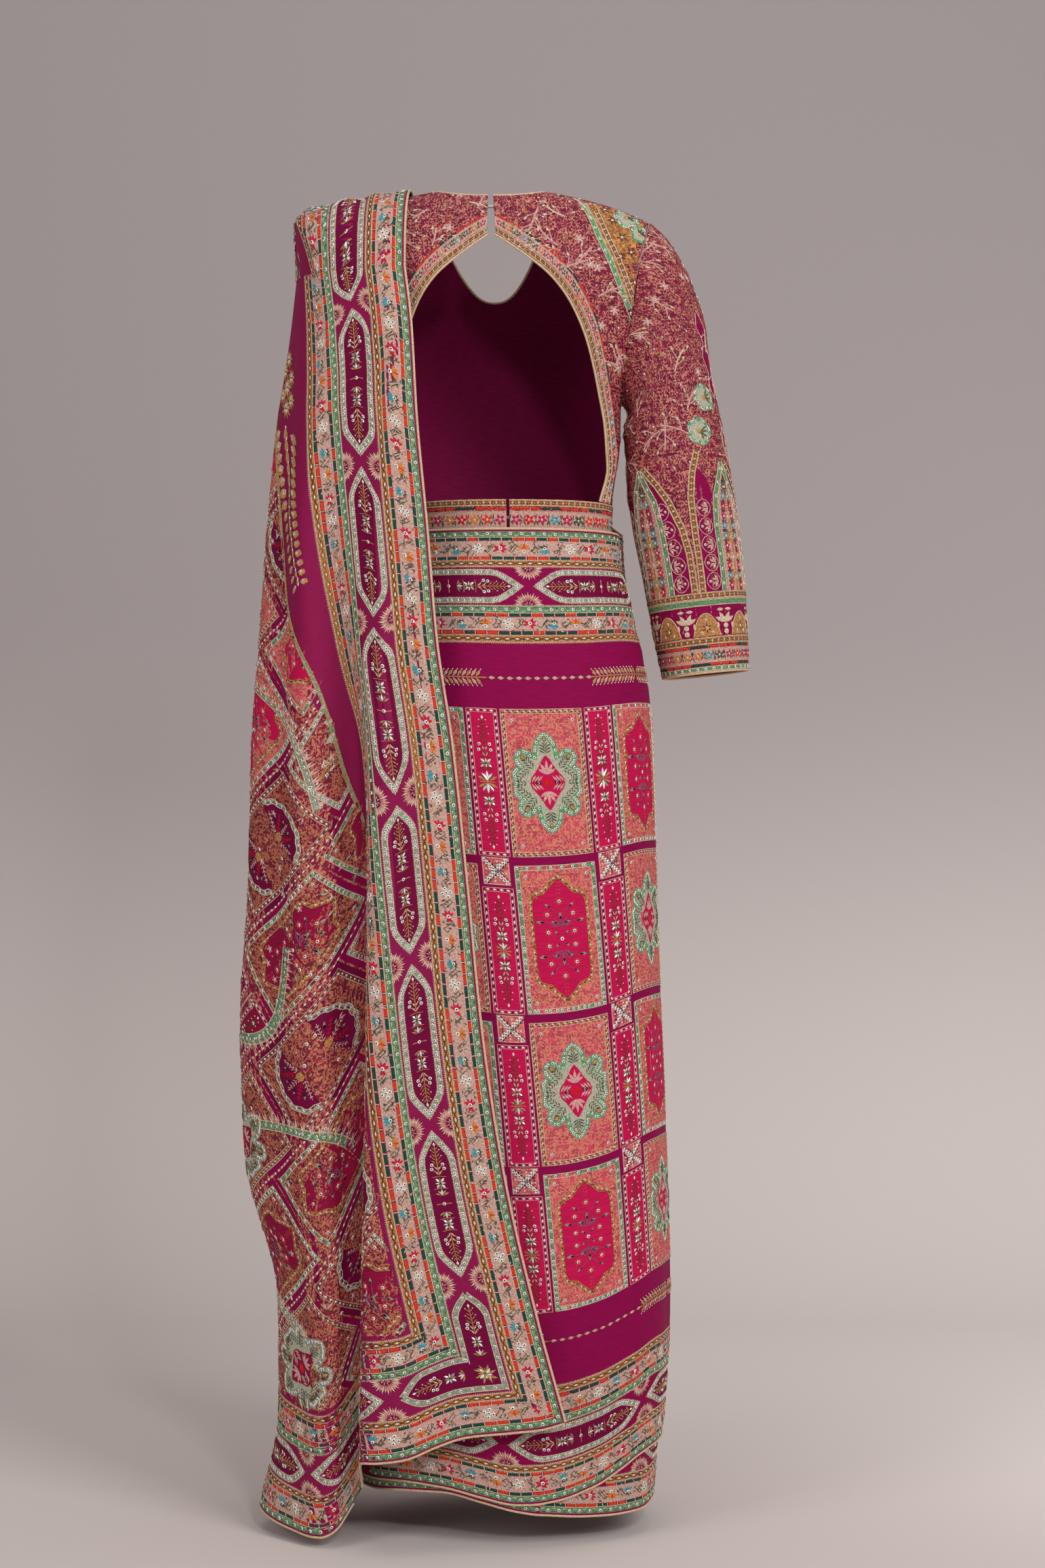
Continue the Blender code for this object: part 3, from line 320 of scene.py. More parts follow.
def mantle_plan(height):
    """Stations of the mantle's plan at each height, as an array of heights by stations by x, y."""
    get = {name: MANTLE(name, height) for name in MANTLE.names[1:]}
    rows = [(get["inner_x"], get["inner_y"]),
            ((get["inner_x"] + get["fold_x"]) / 2, get["inner_y"] + 0.004),
            (get["fold_x"], get["fold_y"]), (get["valley_x"], get["valley_y"]),
            (get["rear_x"], get["rear_y"]), (get["out_x"], get["out_y"])]
    for step in range(1, QUARTER_STEPS + 1):
        angle = math.radians(90 * step / QUARTER_STEPS)
        across = oval(math.cos(angle), MANTLE_ROUND) if step < QUARTER_STEPS else 0.0
        share = oval(math.sin(angle), MANTLE_ROUND)
        rows.append((get["out_x"] * across, get["out_y"] * (1 - share) - get["front"] * share))
    for step in range(1, QUARTER_STEPS):
        angle = math.radians(90 * step / QUARTER_STEPS)
        across = oval(math.sin(angle), MANTLE_ROUND)
        share = oval(math.cos(angle), MANTLE_ROUND)
        rows.append((-get["right"] * across, -get["front"] * share))
    seam = skirt_point(SIDE_SEAM, np.minimum(height, 1.085), 0.0)
    rows.append((seam[..., 0], seam[..., 1]))
    return np.stack([np.stack(np.broadcast_arrays(x, y), axis=-1) for x, y in rows], axis=-2)


def mantle_point(station, height):
    """Point on the mantle, by its station along the plan and its height."""
    station, height = np.broadcast_arrays(np.asarray(station, float), np.asarray(height, float))
    shape = station.shape
    station, height = station.ravel(), height.ravel()
    points = mantle_plan(height)
    gap = np.linalg.norm(np.diff(points, axis=1), axis=-1, keepdims=True)
    slope = np.diff(points, axis=1) / gap
    tangent = np.empty_like(points)
    tangent[:, 1:-1] = ((slope[:, :-1] * gap[:, 1:] + slope[:, 1:] * gap[:, :-1])
                        / (gap[:, 1:] + gap[:, :-1]))
    tangent[:, 0], tangent[:, -1] = slope[:, 0], slope[:, -1]
    k = np.clip(np.floor(station).astype(int), 0, points.shape[1] - 2)
    f = (station - k)[:, None]
    i = np.arange(len(k))
    flat = (points[i, k] * (1 + 2 * f) * (1 - f) ** 2 + points[i, k + 1] * f * f * (3 - 2 * f)
            + gap[i, k] * (tangent[i, k] * f * (1 - f) ** 2 - tangent[i, k + 1] * f * f * (1 - f)))
    return np.concatenate([flat, (height - WAIST_HEIGHT)[:, None]], axis=1).reshape(shape + (3,))


def torso_y(across, height, side):
    """Depth of the blouse at a distance from its centre line: side is +1 behind and -1 in front."""
    wide = TORSO("half_width", height)
    deep = TORSO("back" if side > 0 else "front", height)
    share = np.clip(1 - (np.abs(across) / wide) ** TORSO_ROUND, 0, 1) ** (1 / TORSO_ROUND)
    below = np.clip((SHOULDER("height", np.abs(across)) - height)
                    / SHOULDER_ROUNDING, 0, 1)
    cap = np.sqrt(1 - (1 - below) ** 2)
    return RIDGE_Y + (side * deep * share - RIDGE_Y) * cap


def torso_point(across, height, side):
    """Point on the blouse, from its centre line, its height and whether it is behind or in front."""
    across, height = np.broadcast_arrays(np.asarray(across, float), np.asarray(height, float))
    x = TORSO("centre_x", height) + across
    return np.stack([x, torso_y(across, height, side), height - WAIST_HEIGHT], axis=-1)


def unit(vectors):
    return vectors / np.maximum(np.linalg.norm(vectors, axis=-1, keepdims=True), 1e-12)


def grid_normals(grid, closed=False):
    """Normal at each point of a grid, from its neighbours along both ways."""
    if closed:
        along = np.roll(grid, -1, axis=0) - np.roll(grid, 1, axis=0)
    else:
        along = np.gradient(grid, axis=0)
    return unit(np.cross(along, np.gradient(grid, axis=1)))


def outward(grid, normals, centre):
    """The same normals, turned so that they point away from a centre line."""
    away = grid - np.asarray(centre)
    away[..., 2] = 0
    return normals if np.sum(away * normals) > 0 else -normals


def hem_height(which, turn):
    return HEM(which, (np.asarray(turn) + 0.5) % 1.0 - 0.5)


def pallu_push(station, points):
    """How far the folds stand out of the cloth that hangs behind and round the arm."""
    height = points[..., 2] + WAIST_HEIGHT
    push = sum(depth * bump(station, at, width) * ease((top - height) / PALLU_FOLD_EASE)
               for at, width, depth, top in PALLU_FOLDS)
    return push * ease((ARM_FRONT - station) * 3)


def front_push(station, share):
    """How far the diagonal folds stand out of the cloth across the front."""
    station, share = station[:, None], share[None, :]
    push = sum(depth * bump(share, at, width) * ease((fade - station) / 3)
               for at, width, depth, fade in FRONT_FOLDS)
    return push * ease((station - ARM_FRONT) * 1.5) * ease(share * 20)


def back_boundary(share):
    """Outer boundary of a back panel: neck, shoulder, armhole and side, from centre to band."""
    marks = (0.0, 0.22, 0.50, 0.80, 1.0)
    share = np.asarray(share, float)
    neck = np.interp(share, marks[:2], (SLIT, NECK_SIDE))
    neck_height = NECK_BACK + (NECK_SIDE_HEIGHT - NECK_BACK) * (neck / NECK_SIDE) ** 2.2
    ridge = np.interp(share, marks[1:3], (NECK_SIDE, SHOULDER_TIP))
    ridge_height = SHOULDER("height", ridge)
    hole_height = np.interp(share, marks[2:4], (SHOULDER_TIP_HEIGHT, ARMPIT))
    hole = ARMHOLE("across", hole_height)
    side_height = np.interp(share, marks[3:], (ARMPIT, BAND_TOP + SEAM))
    side = TORSO("half_width", side_height)
    pick = [share <= marks[1], share <= marks[2], share <= marks[3]]
    return (np.select(pick, [neck, ridge, hole], side),
            np.select(pick, [neck_height, ridge_height, hole_height], side_height))


def armhole_ring(sign, angle):
    """Points of the armhole, from the shoulder tip round the back to the armpit and on."""
    share = (1 - np.cos(angle)) / 2
    height = SHOULDER_TIP_HEIGHT + (ARMPIT - SHOULDER_TIP_HEIGHT) * share
    across = ARMHOLE("across", height)
    behind = torso_point(across * sign, height, 1)
    before = torso_point(across * sign, height, -1)
    return np.where((np.sin(angle) >= 0)[:, None], behind, before)


MM = 0.001
WALL = 0.0013              # thickness of a shell
CLOTH_WIDTH = 1.05         # the saree's cloth from waist edge to hem
MIDDLE = (0, 0, 0)


def arc_along(grid, axis=0):
    """Length along one way of a grid of points, from its first row."""
    step = np.linalg.norm(np.diff(grid, axis=axis), axis=-1)
    start = np.zeros_like(np.take(step, [0], axis=axis))
    return np.concatenate([start, np.cumsum(step, axis=axis)], axis=axis)


class Cloth:
    """A grid of points and normals that a shell is made from and patterns are laid on."""

    def __init__(self, grid, normals=None, centre=MIDDLE, closed=False):
        self.grid = grid
        self.closed = closed
        if normals is None:
            normals = outward(grid, grid_normals(grid, closed), centre)
        self.normals = normals

    def chart(self, u, v):
        """Flat coordinates of each grid point, in metres."""
        made = Cloth(self.grid, self.normals, closed=self.closed)
        made.u, made.v = np.broadcast_arrays(u, v)
        return made

    COARSE = 26            # points along each side among which the nearest is looked for
    STEPS = 9              # Newton steps from there
    LONGEST = 9            # most points of the grid that one step may pass

    @staticmethod
    def blend(values, a, b):
        """Values of a grid between its points, run on past its edges."""
        i = np.clip(np.floor(a).astype(int), 0, values.shape[0] - 2)
        j = np.clip(np.floor(b).astype(int), 0, values.shape[1] - 2)
        f, g = a - i, b - j
        if values.ndim == 3:
            f, g = f[:, None], g[:, None]
        p, q = values[i, j], values[i + 1, j]
        r, s = values[i, j + 1], values[i + 1, j + 1]
        return (p * (1 - f) + q * f) * (1 - g) + (r * (1 - f) + s * f) * g, \
            (q - p) * (1 - g) + (s - r) * g, (r - p) * (1 - f) + (s - q) * f

    def find(self, u, v):
        """Grid position of each flat coordinate, by Newton steps from the nearest coarse point."""
        rows, columns = self.u.shape
        ia = np.linspace(0, rows - 1, min(rows, self.COARSE)).round().astype(int)
        ib = np.linspace(0, columns - 1, min(columns, self.COARSE)).round().astype(int)
        cu, cv = self.u[np.ix_(ia, ib)].ravel(), self.v[np.ix_(ia, ib)].ravel()
        near = np.concatenate([
            np.argmin((part_u[:, None] - cu) ** 2 + (part_v[:, None] - cv) ** 2, axis=1)
            for part_u, part_v in zip(np.array_split(u, len(u) // 4000 + 1),
                                      np.array_split(v, len(u) // 4000 + 1))])
        a, b = ia[near // len(ib)].astype(float), ib[near % len(ib)].astype(float)
        most = self.LONGEST
        for _ in range(self.STEPS):
            at_u, ua, ub = self.blend(self.u, a, b)
            at_v, va, vb = self.blend(self.v, a, b)
            size = ua * vb - ub * va
            size = np.where(np.abs(size) < 1e-12, 1e-12, size)
            step_a = ((u - at_u) * vb - (v - at_v) * ub) / size
            step_b = ((v - at_v) * ua - (u - at_u) * va) / size
            a = np.clip(a + np.clip(step_a, -most, most), -4, rows + 3)
            b = np.clip(b + np.clip(step_b, -most, most), -4, columns + 3)
        return a, b

    def lay(self, points):
        """Points in space for flat points (u, v, height), which are off the cloth, and normals."""
        a, b = self.find(points[:, 0], points[:, 1])
        rows, columns = self.u.shape
        off = (a < -0.01) | (a > rows - 0.99) | (b < -0.01) | (b > columns - 0.99)
        a, b = np.clip(a, 0, rows - 1), np.clip(b, 0, columns - 1)
        place = self.blend(self.grid, a, b)[0]
        normal = unit(self.blend(self.normals, a, b)[0])
        return place + normal * (WALL / 2 + points[:, 2:3]), off, normal


def add_object(name, data):
    made = bpy.data.objects.new(name, data)
    bpy.context.scene.collection.objects.link(made)
    return made


def mesh_object(name, verts, faces, finishes, which, uv, sharp=35):
    """One object from arrays: faces are rows of vertex numbers, which picks each one's material."""
    mesh = bpy.data.meshes.new(name)
    count, corners = faces.shape
    mesh.vertices.add(len(verts))
    mesh.vertices.foreach_set("co", np.ascontiguousarray(verts, dtype=np.float32).ravel())
    mesh.loops.add(count * corners)
    mesh.loops.foreach_set("vertex_index", faces.astype(np.int32).ravel())
    mesh.polygons.add(count)
    mesh.polygons.foreach_set("loop_start", np.arange(0, count * corners, corners, dtype=np.int32))
    if which is not None:
        mesh.polygons.foreach_set("material_index", which.astype(np.int32))
    for finish in finishes:
        mesh.materials.append(finish)
    mesh.update(calc_edges=True)
    layer = mesh.uv_layers.new(name="Cloth")
    if len(uv) != count * corners:
        uv = uv[faces.ravel()]
    layer.data.foreach_set("uv", uv.astype(np.float32).ravel())
    mesh.validate()
    mesh.shade_smooth()
    mesh.set_sharp_from_angle(angle=math.radians(sharp))
    return add_object(name, mesh)


def shell(name, cloth, finish, inside):
    """Closed thin wall on a cloth's grid; its UV map holds the flat coordinates."""
    rows, columns = cloth.grid.shape[:2]
    verts = np.concatenate([(cloth.grid + cloth.normals * s * WALL / 2).reshape(-1, 3) for s in (1, -1)])
    uv = np.stack([np.asarray(cloth.u), np.asarray(cloth.v)], axis=-1)

    def walls(number, back):
        a, b, c, d = number[:-1, :-1], number[1:, :-1], number[1:, 1:], number[:-1, 1:]
        outer = np.stack([a, b, c, d], axis=-1).reshape(-1, 4)
        rims = []
        for line, flip in ((number[:, 0], False), (number[:, -1], True),
                           *(((number[0], True), (number[-1], False)) if not cloth.closed else ())):
            rim = np.stack([line[:-1], line[:-1] + back, line[1:] + back, line[1:]], axis=-1)
            rims.append(rim[:, ::-1] if flip else rim)
        return outer, np.concatenate([outer, outer[:, ::-1] + back, *rims])

    number = np.arange(rows * columns).reshape(rows, columns)
    if cloth.closed:
        number = looped(number)
    outer, faces = walls(number, rows * columns)
    # a closed cloth has one more row of flat coordinates than of points
    _, at = walls(np.arange(uv.shape[0] * columns).reshape(uv.shape[:2]), uv.shape[0] * columns)
    uv = np.concatenate([uv.reshape(-1, 2)] * 2)
    # the grid may run either way round, so the faces are turned to follow the normals
    corner = verts[outer]
    if np.sum(np.cross(corner[:, 1] - corner[:, 0], corner[:, 3] - corner[:, 0])
              * cloth.normals.reshape(-1, 3)[outer[:, 0]]) < 0:
        faces, at = faces[:, ::-1], at[:, ::-1]
    which = np.zeros(len(faces))
    which[len(outer):2 * len(outer)] = 1
    return mesh_object(name, verts, faces, [finish, inside], which, uv[at.ravel()], 60)


def cos_sin(angle):
    """Cosine and sine of an angle in degrees."""
    angle = math.radians(angle)
    return math.cos(angle), math.sin(angle)


def placed(px, py, x, y, angle):
    """Flat points turned by an angle in degrees and moved to a place."""
    c, s = cos_sin(angle)
    return np.stack([x + px * c - py * s, y + px * s + py * c], axis=1)


def looped(path):
    """A path with its first point once more at its end."""
    return np.concatenate([path, path[:1]])


def left_of(along):
    """Flat directions turned by a quarter to the left."""
    return np.stack([-along[:, 1], along[:, 0]], axis=1)


def at_height(xs, y):
    """Points on a line at one height, or at a height each."""
    return np.c_[xs, np.full_like(xs, y)]


class Work:
    """Raised shapes drawn flat: points in millimetres with a height, triangles, and a finish each."""

    def __init__(self):
        self.points, self.faces, self.which, self.count = [], [], [], 0

    def put(self, points, faces, finish):
        points, faces = np.asarray(points, float), np.asarray(faces, int)
        self.points.append(points)
        self.faces.append(faces + self.count)
        self.which.append(np.full(len(faces), FINISH_NUMBER[finish]) if isinstance(finish, str) else finish)
        self.count += len(points)

    def whole(self):
        return np.concatenate(self.points), np.concatenate(self.faces), np.concatenate(self.which)

    def stamp(self, other, x=0.0, y=0.0, angle=0.0, sx=1.0, sy=1.0):
        """Another drawing placed at a point, turned by an angle in degrees and scaled or mirrored."""
        points, faces, which = other.whole()
        moved = placed(points[:, 0] * sx, points[:, 1] * sy, x, y, angle)
        self.put(np.c_[moved, points[:, 2]], faces if sx * sy > 0 else faces[:, ::-1], which)

    def fan(self, outline, finish, low=0.2, high=0.8, centre=None):
        """Petal, stone or spot: an outline with a raised middle."""
        outline = np.asarray(outline, float)
        middle = outline.mean(axis=0) if centre is None else np.asarray(centre, float)
        n = len(outline)
        points = np.concatenate([np.c_[outline, np.full(n, low)], [[*middle, high]]])
        k = np.arange(n)
        self.put(points, np.stack([k, (k + 1) % n, np.full(n, n)], axis=1), finish)

    def grid(self, points, finish):
        """Sheet of triangles on a grid of flat points with heights."""
        rows, columns = points.shape[:2]
        n = np.arange(rows * columns).reshape(rows, columns)
        a, b, c, d = n[:-1, :-1].ravel(), n[1:, :-1].ravel(), n[1:, 1:].ravel(), n[:-1, 1:].ravel()
        self.put(points.reshape(-1, 3), np.concatenate([np.stack([a, b, c], 1), np.stack([a, c, d], 1)]),
                 finish)

    def between(self, first, second, finish, high=0.25, steps=6, edge=0.5):
        """Plate between two outlines, flat on top with its edges sunk into the cloth."""
        first, second = np.asarray(first, float), np.asarray(second, float)
        gap = np.maximum(np.linalg.norm(second - first, axis=-1), 1e-6)[:, None]
        rim = np.minimum(edge / gap, 0.3)
        share = np.concatenate([[0], np.linspace(0, 1, steps + 1), [1]])[None, :]
        share = np.where(np.arange(steps + 3) == 0, 0, np.where(np.arange(steps + 3) == steps + 2, 1,
                         rim + (1 - 2 * rim) * share))
        flat = first[:, None] + (second - first)[:, None] * share[..., None]
        height = np.full(flat.shape[:2] + (1,), high)
        height[:, [0, -1]] = -0.25
        self.grid(np.concatenate([flat, height], axis=-1), finish)

    def fill(self, outline, finish, high=0.4, steps=6):
        """Plate inside a closed outline round the drawing's middle."""
        rim = looped(outline)
        self.between(rim, rim * 0.02, finish, high, steps=steps, edge=0.2)

    def line(self, path, width, finish, high=0.5, low=0.15, step=4.5, shut=False):
        """Couched thread along a path, rounded across."""
        path = np.asarray(path, float)
        if shut:
            path = looped(path)
        path = even(path, step)
        along = unit(np.gradient(path, axis=0)) if len(path) > 1 else np.array([[1.0, 0]])
        if shut:
            along[0] = along[-1] = unit(path[1] - path[-2])
        side = left_of(along) * width / 2
        rows = [np.c_[path + side * s, np.full(len(path), h)] for s, h in ((-1, low), (0, high), (1, low))]
        self.grid(np.stack(rows, axis=1), finish)

    def spikes(self, left, right, tips, finish, low):
        """Row of short stitches, each a triangle on two feet."""
        n = len(tips)
        k = np.arange(n)
        points = [np.c_[row, np.full(n, high)] for row, high in ((left, low), (right, low), (tips, 0.5))]
        self.put(np.concatenate(points), np.stack([k, k + n, k + 2 * n], axis=1), finish)

    def dot(self, x, y, r, finish, low=0.25, high=0.9, sides=6, turn=0.0):
        angle = np.linspace(0, 2 * math.pi, sides, endpoint=False) + turn
        self.fan(np.stack([x + r * np.cos(angle), y + r * np.sin(angle)], axis=1), finish, low, high)

    def sequin(self, x, y, r=1.9):
        """Ring sequin: a pale ring with a dark middle, a little tilted."""
        angle = np.linspace(0, 2 * math.pi, 6, endpoint=False) + x + y
        tilt = 0.35 * np.sin(12.7 * x + 7.3 * y)
        ring = np.stack([np.cos(angle), np.sin(angle)], axis=1)
        points = np.concatenate([np.c_[ring * s * r + (x, y), h + tilt * ring[:, 0] * s]
                                 for s, h in ((1.0, 0.5), (0.42, 1.2))])
        k = np.arange(6)
        n = (k + 1) % 6
        self.put(points, np.concatenate([np.stack([k, n, n + 6], 1), np.stack([k, n + 6, k + 6], 1)]),
                 "white")
        self.put(points[6:], [(0, 1, 2), (0, 2, 3), (0, 3, 4), (0, 4, 5)], "dark")

    def blade(self, x, y, angle, length, width, finish, high=0.9, low=0.35):
        """Single stitch from its foot at a point, ridged along its middle."""
        t, w = np.array([0, 0.55, 1, 0.55]) * length, np.array([0, 0.5, 0, -0.5]) * width
        points = np.c_[placed(t, w, x, y, angle), (high, low, high, low)]
        self.put(points, [(0, 2, 1), (0, 3, 2)], finish)

    def petals(self, x, y, count, length, width, finish, start=0.0, high=0.9, foot=0.0):
        """Ring of leaves round a point."""
        for k in range(count):
            angle = start + 360 * k / count
            c, s = cos_sin(angle)
            self.leaf(x + foot * c, y + foot * s, angle, length, width, finish, high)

    def kept(self, test):
        """The triangles whose middles pass a test of x and y."""
        points, faces, which = self.whole()
        middle = points[faces][:, :, :2].mean(axis=1)
        held = test(middle[:, 0], middle[:, 1])
        made = Work()
        used, renumbered = np.unique(faces[held], return_inverse=True)
        made.put(points[used], renumbered.reshape(-1, 3), which[held])
        return made

    def tinted(self, *swaps):
        """The same drawing with some finishes changed for others."""
        points, faces, which = self.whole()
        made, fresh = Work(), which.copy()
        for old, new in swaps:
            fresh[which == FINISH_NUMBER[old]] = FINISH_NUMBER[new]
        made.put(points, faces, fresh)
        return made

    def leaf(self, x, y, angle, length, width, finish, high=0.9, low=0.25):
        """Pointed leaf or oblong stone from its foot at a point."""
        t = np.array([0, 0.3, 0.65, 1.0, 0.65, 0.3])
        side = np.array([0, 0.42, 0.45, 0, -0.45, -0.42])
        self.fan(placed(t * length, side * width, x, y, angle), finish, low, high)

    def stone(self, x, y, angle, length, width, finish="white"):
        """Oblong stone round its middle."""
        t, side = np.array([-0.5, 0, 0.5, 0]), np.array([0, 0.55, 0, -0.55])
        self.fan(placed(t * length, side * width, x, y, angle), finish, 0.4, 1.2)


def run_along(path):
    """Length from a path's start to each of its points."""
    return np.concatenate([[0], np.cumsum(np.linalg.norm(np.diff(path, axis=0), axis=1))])


def even(path, step):
    """The same path with points at even steps along it."""
    length = run_along(path)
    count = max(2, int(math.ceil(length[-1] / step)) + 1)
    keep = np.unique(np.concatenate([np.linspace(0, length[-1], count), length[1:-1]]))
    at = keep[np.concatenate([[True], np.diff(keep) > step * 0.2])]
    if at[-1] < length[-1]:
        at = np.append(at[:-1], length[-1])
    return np.stack([np.interp(at, length, path[:, k]) for k in (0, 1)], axis=1)


def follow(path, pitch):
    """Middles of even steps along a path, each with its direction in degrees."""
    path = np.asarray(path, float)
    length = run_along(path)
    at = np.linspace(0, length[-1], max(1, int(round(length[-1] / pitch))) + 1)
    points = np.stack([np.interp(at, length, path[:, k]) for k in (0, 1)], axis=1)
    return [(x, y, math.degrees(math.atan2(dy, dx)))
            for (x, y), (dx, dy) in zip((points[1:] + points[:-1]) / 2, np.diff(points, axis=0))]


# Faces that a drawing keeps on its cloth: area in square metres, and how far an edge may stretch
LEAST_AREA, MOST_AREA = 1e-10, 4e-4
MOST_STRETCH, STRETCH_ROOM = 1.8, 0.002


def embroider(name, cloth, work, place=None):
    """Lay a drawing on a cloth; place turns the drawing's millimetres into the chart's metres."""
    points, faces, which = work.whole()
    flat = points[:, :2] * MM
    if place is not None:
        flat = np.stack(place(flat[:, 0], flat[:, 1]), axis=1)
    laid, off, normal = cloth.lay(np.concatenate([flat, points[:, 2:] * MM], axis=1))
    keep = ~off[faces].all(axis=1)
    faces, which = faces[keep], which[keep]
    corner = laid[faces]
    area = np.linalg.norm(np.cross(corner[:, 1] - corner[:, 0], corner[:, 2] - corner[:, 0]), axis=1)
    # a face over the chart's rim must not become a chord through the cloth
    long = np.linalg.norm(corner - np.roll(corner, 1, axis=1), axis=-1)
    drawn = np.linalg.norm(flat[faces] - np.roll(flat[faces], 1, axis=1), axis=-1)
    keep = (area > LEAST_AREA) & (area < MOST_AREA) & (long < MOST_STRETCH * drawn + STRETCH_ROOM).all(axis=1)
    faces, which = faces[keep], which[keep]
    used, faces = np.unique(faces, return_inverse=True)
    faces = faces.reshape(-1, 3)
    laid, flat, normal = laid[used], flat[used], normal[used]
    # threads and stones face away from the cloth, whichever way the chart runs
    corner = laid[faces]
    turned = np.sum(np.cross(corner[:, 1] - corner[:, 0], corner[:, 2] - corner[:, 0])
                    * normal[faces[:, 0]], axis=1) < 0
    faces[turned] = faces[turned][:, ::-1]
    numbers, local = np.unique(which, return_inverse=True)
    return mesh_object(name, laid, faces, [FINISHES[FINISH_NAMES[int(n)]] for n in numbers], local, flat)


# Finishes: sRGB colour, kind, and strength of the mottling
FINISH_TABLE = (
    ("magenta", (142, 3, 74), "silk", 0.08),
    ("plum", (116, 5, 60), "silk", 0.12),
    ("pink", (200, 18, 80), "silk", 0.10),
    # painted shade: a darker pink, used only in the shaded copies of the panels low on the hanging end
    ("pink_painted_shade", (146, 14, 62), "silk", 0.12),
    ("coral", (208, 66, 96), "scribble", 0.0),
    ("earth", (132, 26, 58), "scribble", 0.0),
    ("wedge", (216, 156, 84), "scribble", 0.0),
    ("green", (108, 150, 108), "thread", 0.25),
    ("sage", (152, 160, 138), "thread", 0.20),
    ("peach", (214, 172, 158), "thread", 0.14),
    ("ochre", (192, 136, 80), "thread", 0.22),
    ("cream", (232, 206, 178), "thread", 0.12),
    ("pale", (194, 192, 168), "thread", 0.12),
    ("blush", (232, 172, 164), "thread", 0.16),
    ("brown", (116, 62, 40), "thread", 0.25),
    ("gold", (196, 150, 86), "thread", 0.20),
    ("orange", (236, 62, 30), "thread", 0.12),
    ("teal", (16, 76, 62), "thread", 0.15),
    ("red", (226, 20, 40), "thread", 0.15),
    ("rose", (196, 34, 84), "thread", 0.15),
    ("flame", (236, 84, 84), "thread", 0.15),
    ("turquoise", (82, 160, 172), "thread", 0.20),
    ("amber", (228, 134, 58), "thread", 0.18),
    ("grey", (116, 98, 88), "thread", 0.25),
    ("mauve", (150, 80, 112), "thread", 0.20),
    ("leaf", (78, 84, 62), "thread", 0.20),
    ("mint", (102, 164, 114), "thread", 0.20),
    ("white", (250, 248, 242), "stone", 0.0),
    ("dark", (34, 32, 36), "mirror", 0.0),
    ("silver", (196, 200, 198), "mirror", 0.0),
)
FINISH_NAMES = [row[0] for row in FINISH_TABLE]
FINISH_NUMBER = {name: k for k, name in enumerate(FINISH_NAMES)}


def linear(colour):
    """Linear colour of an sRGB one given from 0 to 255."""
    c = np.clip(np.asarray(colour, float) / 255, 0, 1)
    return (*np.where(c <= 0.04045, c / 12.92, ((c + 0.055) / 1.055) ** 2.4), 1.0)


class Graph:
    """A material's nodes, made one at a time from values or from other nodes' outputs."""

    def __init__(self, name):
        self.material = bpy.data.materials.new(name)
        self.material.use_nodes = True
        self.tree = self.material.node_tree
        self.shader = self.tree.nodes["Principled BSDF"]
        self.flat = self.add("UVMap", uv_map="Cloth")

    def add(self, kind, *values, output=0, **settings):
        node = self.tree.nodes.new("ShaderNode" + kind)
        for key in [k for k in settings if hasattr(node, k)]:
            setattr(node, key, settings.pop(key))
        for key, value in [*enumerate(values), *settings.items()]:
            if value is not None:
                self.set(node.inputs[key.replace("_", " ") if isinstance(key, str) else key], value)
        return node.outputs[output]

    def set(self, socket, value):
        if isinstance(value, bpy.types.NodeSocket):
            self.tree.links.new(value, socket)
        else:
            socket.default_value = value

    def math(self, operation, *values):
        return self.add("Math", *values, operation=operation)

    def scaled(self, u, v):
        return self.add("Mapping", self.flat, None, None, (u, v, 1.0))

    def noise(self, u, v, detail=2.0):
        return self.add("TexNoise", self.scaled(u, v), Scale=1.0, Detail=detail, Roughness=0.5)

    def stretch(self, value, low, high):
        return self.add("MapRange", value, From_Min=low, From_Max=high)

    def mix(self, share, first, second):
        return self.add("MixRGB", share, first, second)

    def finish(self, colour, height=None, strength=0.4, **settings):
        self.set(self.shader.inputs["Base Color"], colour)
        settings.setdefault("Specular_IOR_Level", 0.22)
        for key, value in settings.items():
            self.set(self.shader.inputs[key.replace("_", " ")], value)
        if height is not None:
            bump = self.add("Bump", Strength=strength, Distance=0.0006, Height=height)
            self.set(self.shader.inputs["Normal"], bump)
        return self.material


WEAVE_PITCH = 0.0011


def shades(colour, dark, light):
    return [linear(np.array(colour) * (1 + k)) for k in (-dark, light)]


def stroke(g, u, v, width, detail=1.2):
    """Thin wandering lines: where a noise passes its middle value."""
    away = g.math("ABSOLUTE", g.math("SUBTRACT", g.noise(u, v, detail), 0.5))
    return g.math("LESS_THAN", away, width)


def weave(g):
    """Height of a plain weave with uneven threads."""
    warp, weft = (g.add("TexWave", g.scaled(1 / WEAVE_PITCH, 1 / WEAVE_PITCH), Scale=0.32, Distortion=1.5,
                        bands_direction=way) for way in "XY")
    return g.math("ADD", g.math("MULTIPLY", warp, weft), g.noise(90, 1400, 3.0))


def make_thread(name, colour, mottle):
    g = Graph(name)
    share = g.stretch(g.noise(520, 520, 3.0), 0.32, 0.68)
    strands = g.add("TexWave", g.scaled(1150, 700), Scale=0.32, Distortion=3.0)
    return g.finish(g.mix(share, *shades(colour, 1.3 * mottle, mottle)), g.math("ADD", strands, share), 0.6,
                    Roughness=0.66, Sheen_Weight=0.06, Sheen_Roughness=0.4)


def silk_colour(g, colour, mottle):
    return g.mix(g.stretch(g.noise(60, 900, 4.0), 0.3, 0.7), *shades(colour, 1.2 * mottle, mottle))


def make_silk(name, colour, mottle):
    g = Graph(name)
    return g.finish(silk_colour(g, colour, mottle), weave(g), 0.35, Roughness=0.7, Specular_IOR_Level=0.1)


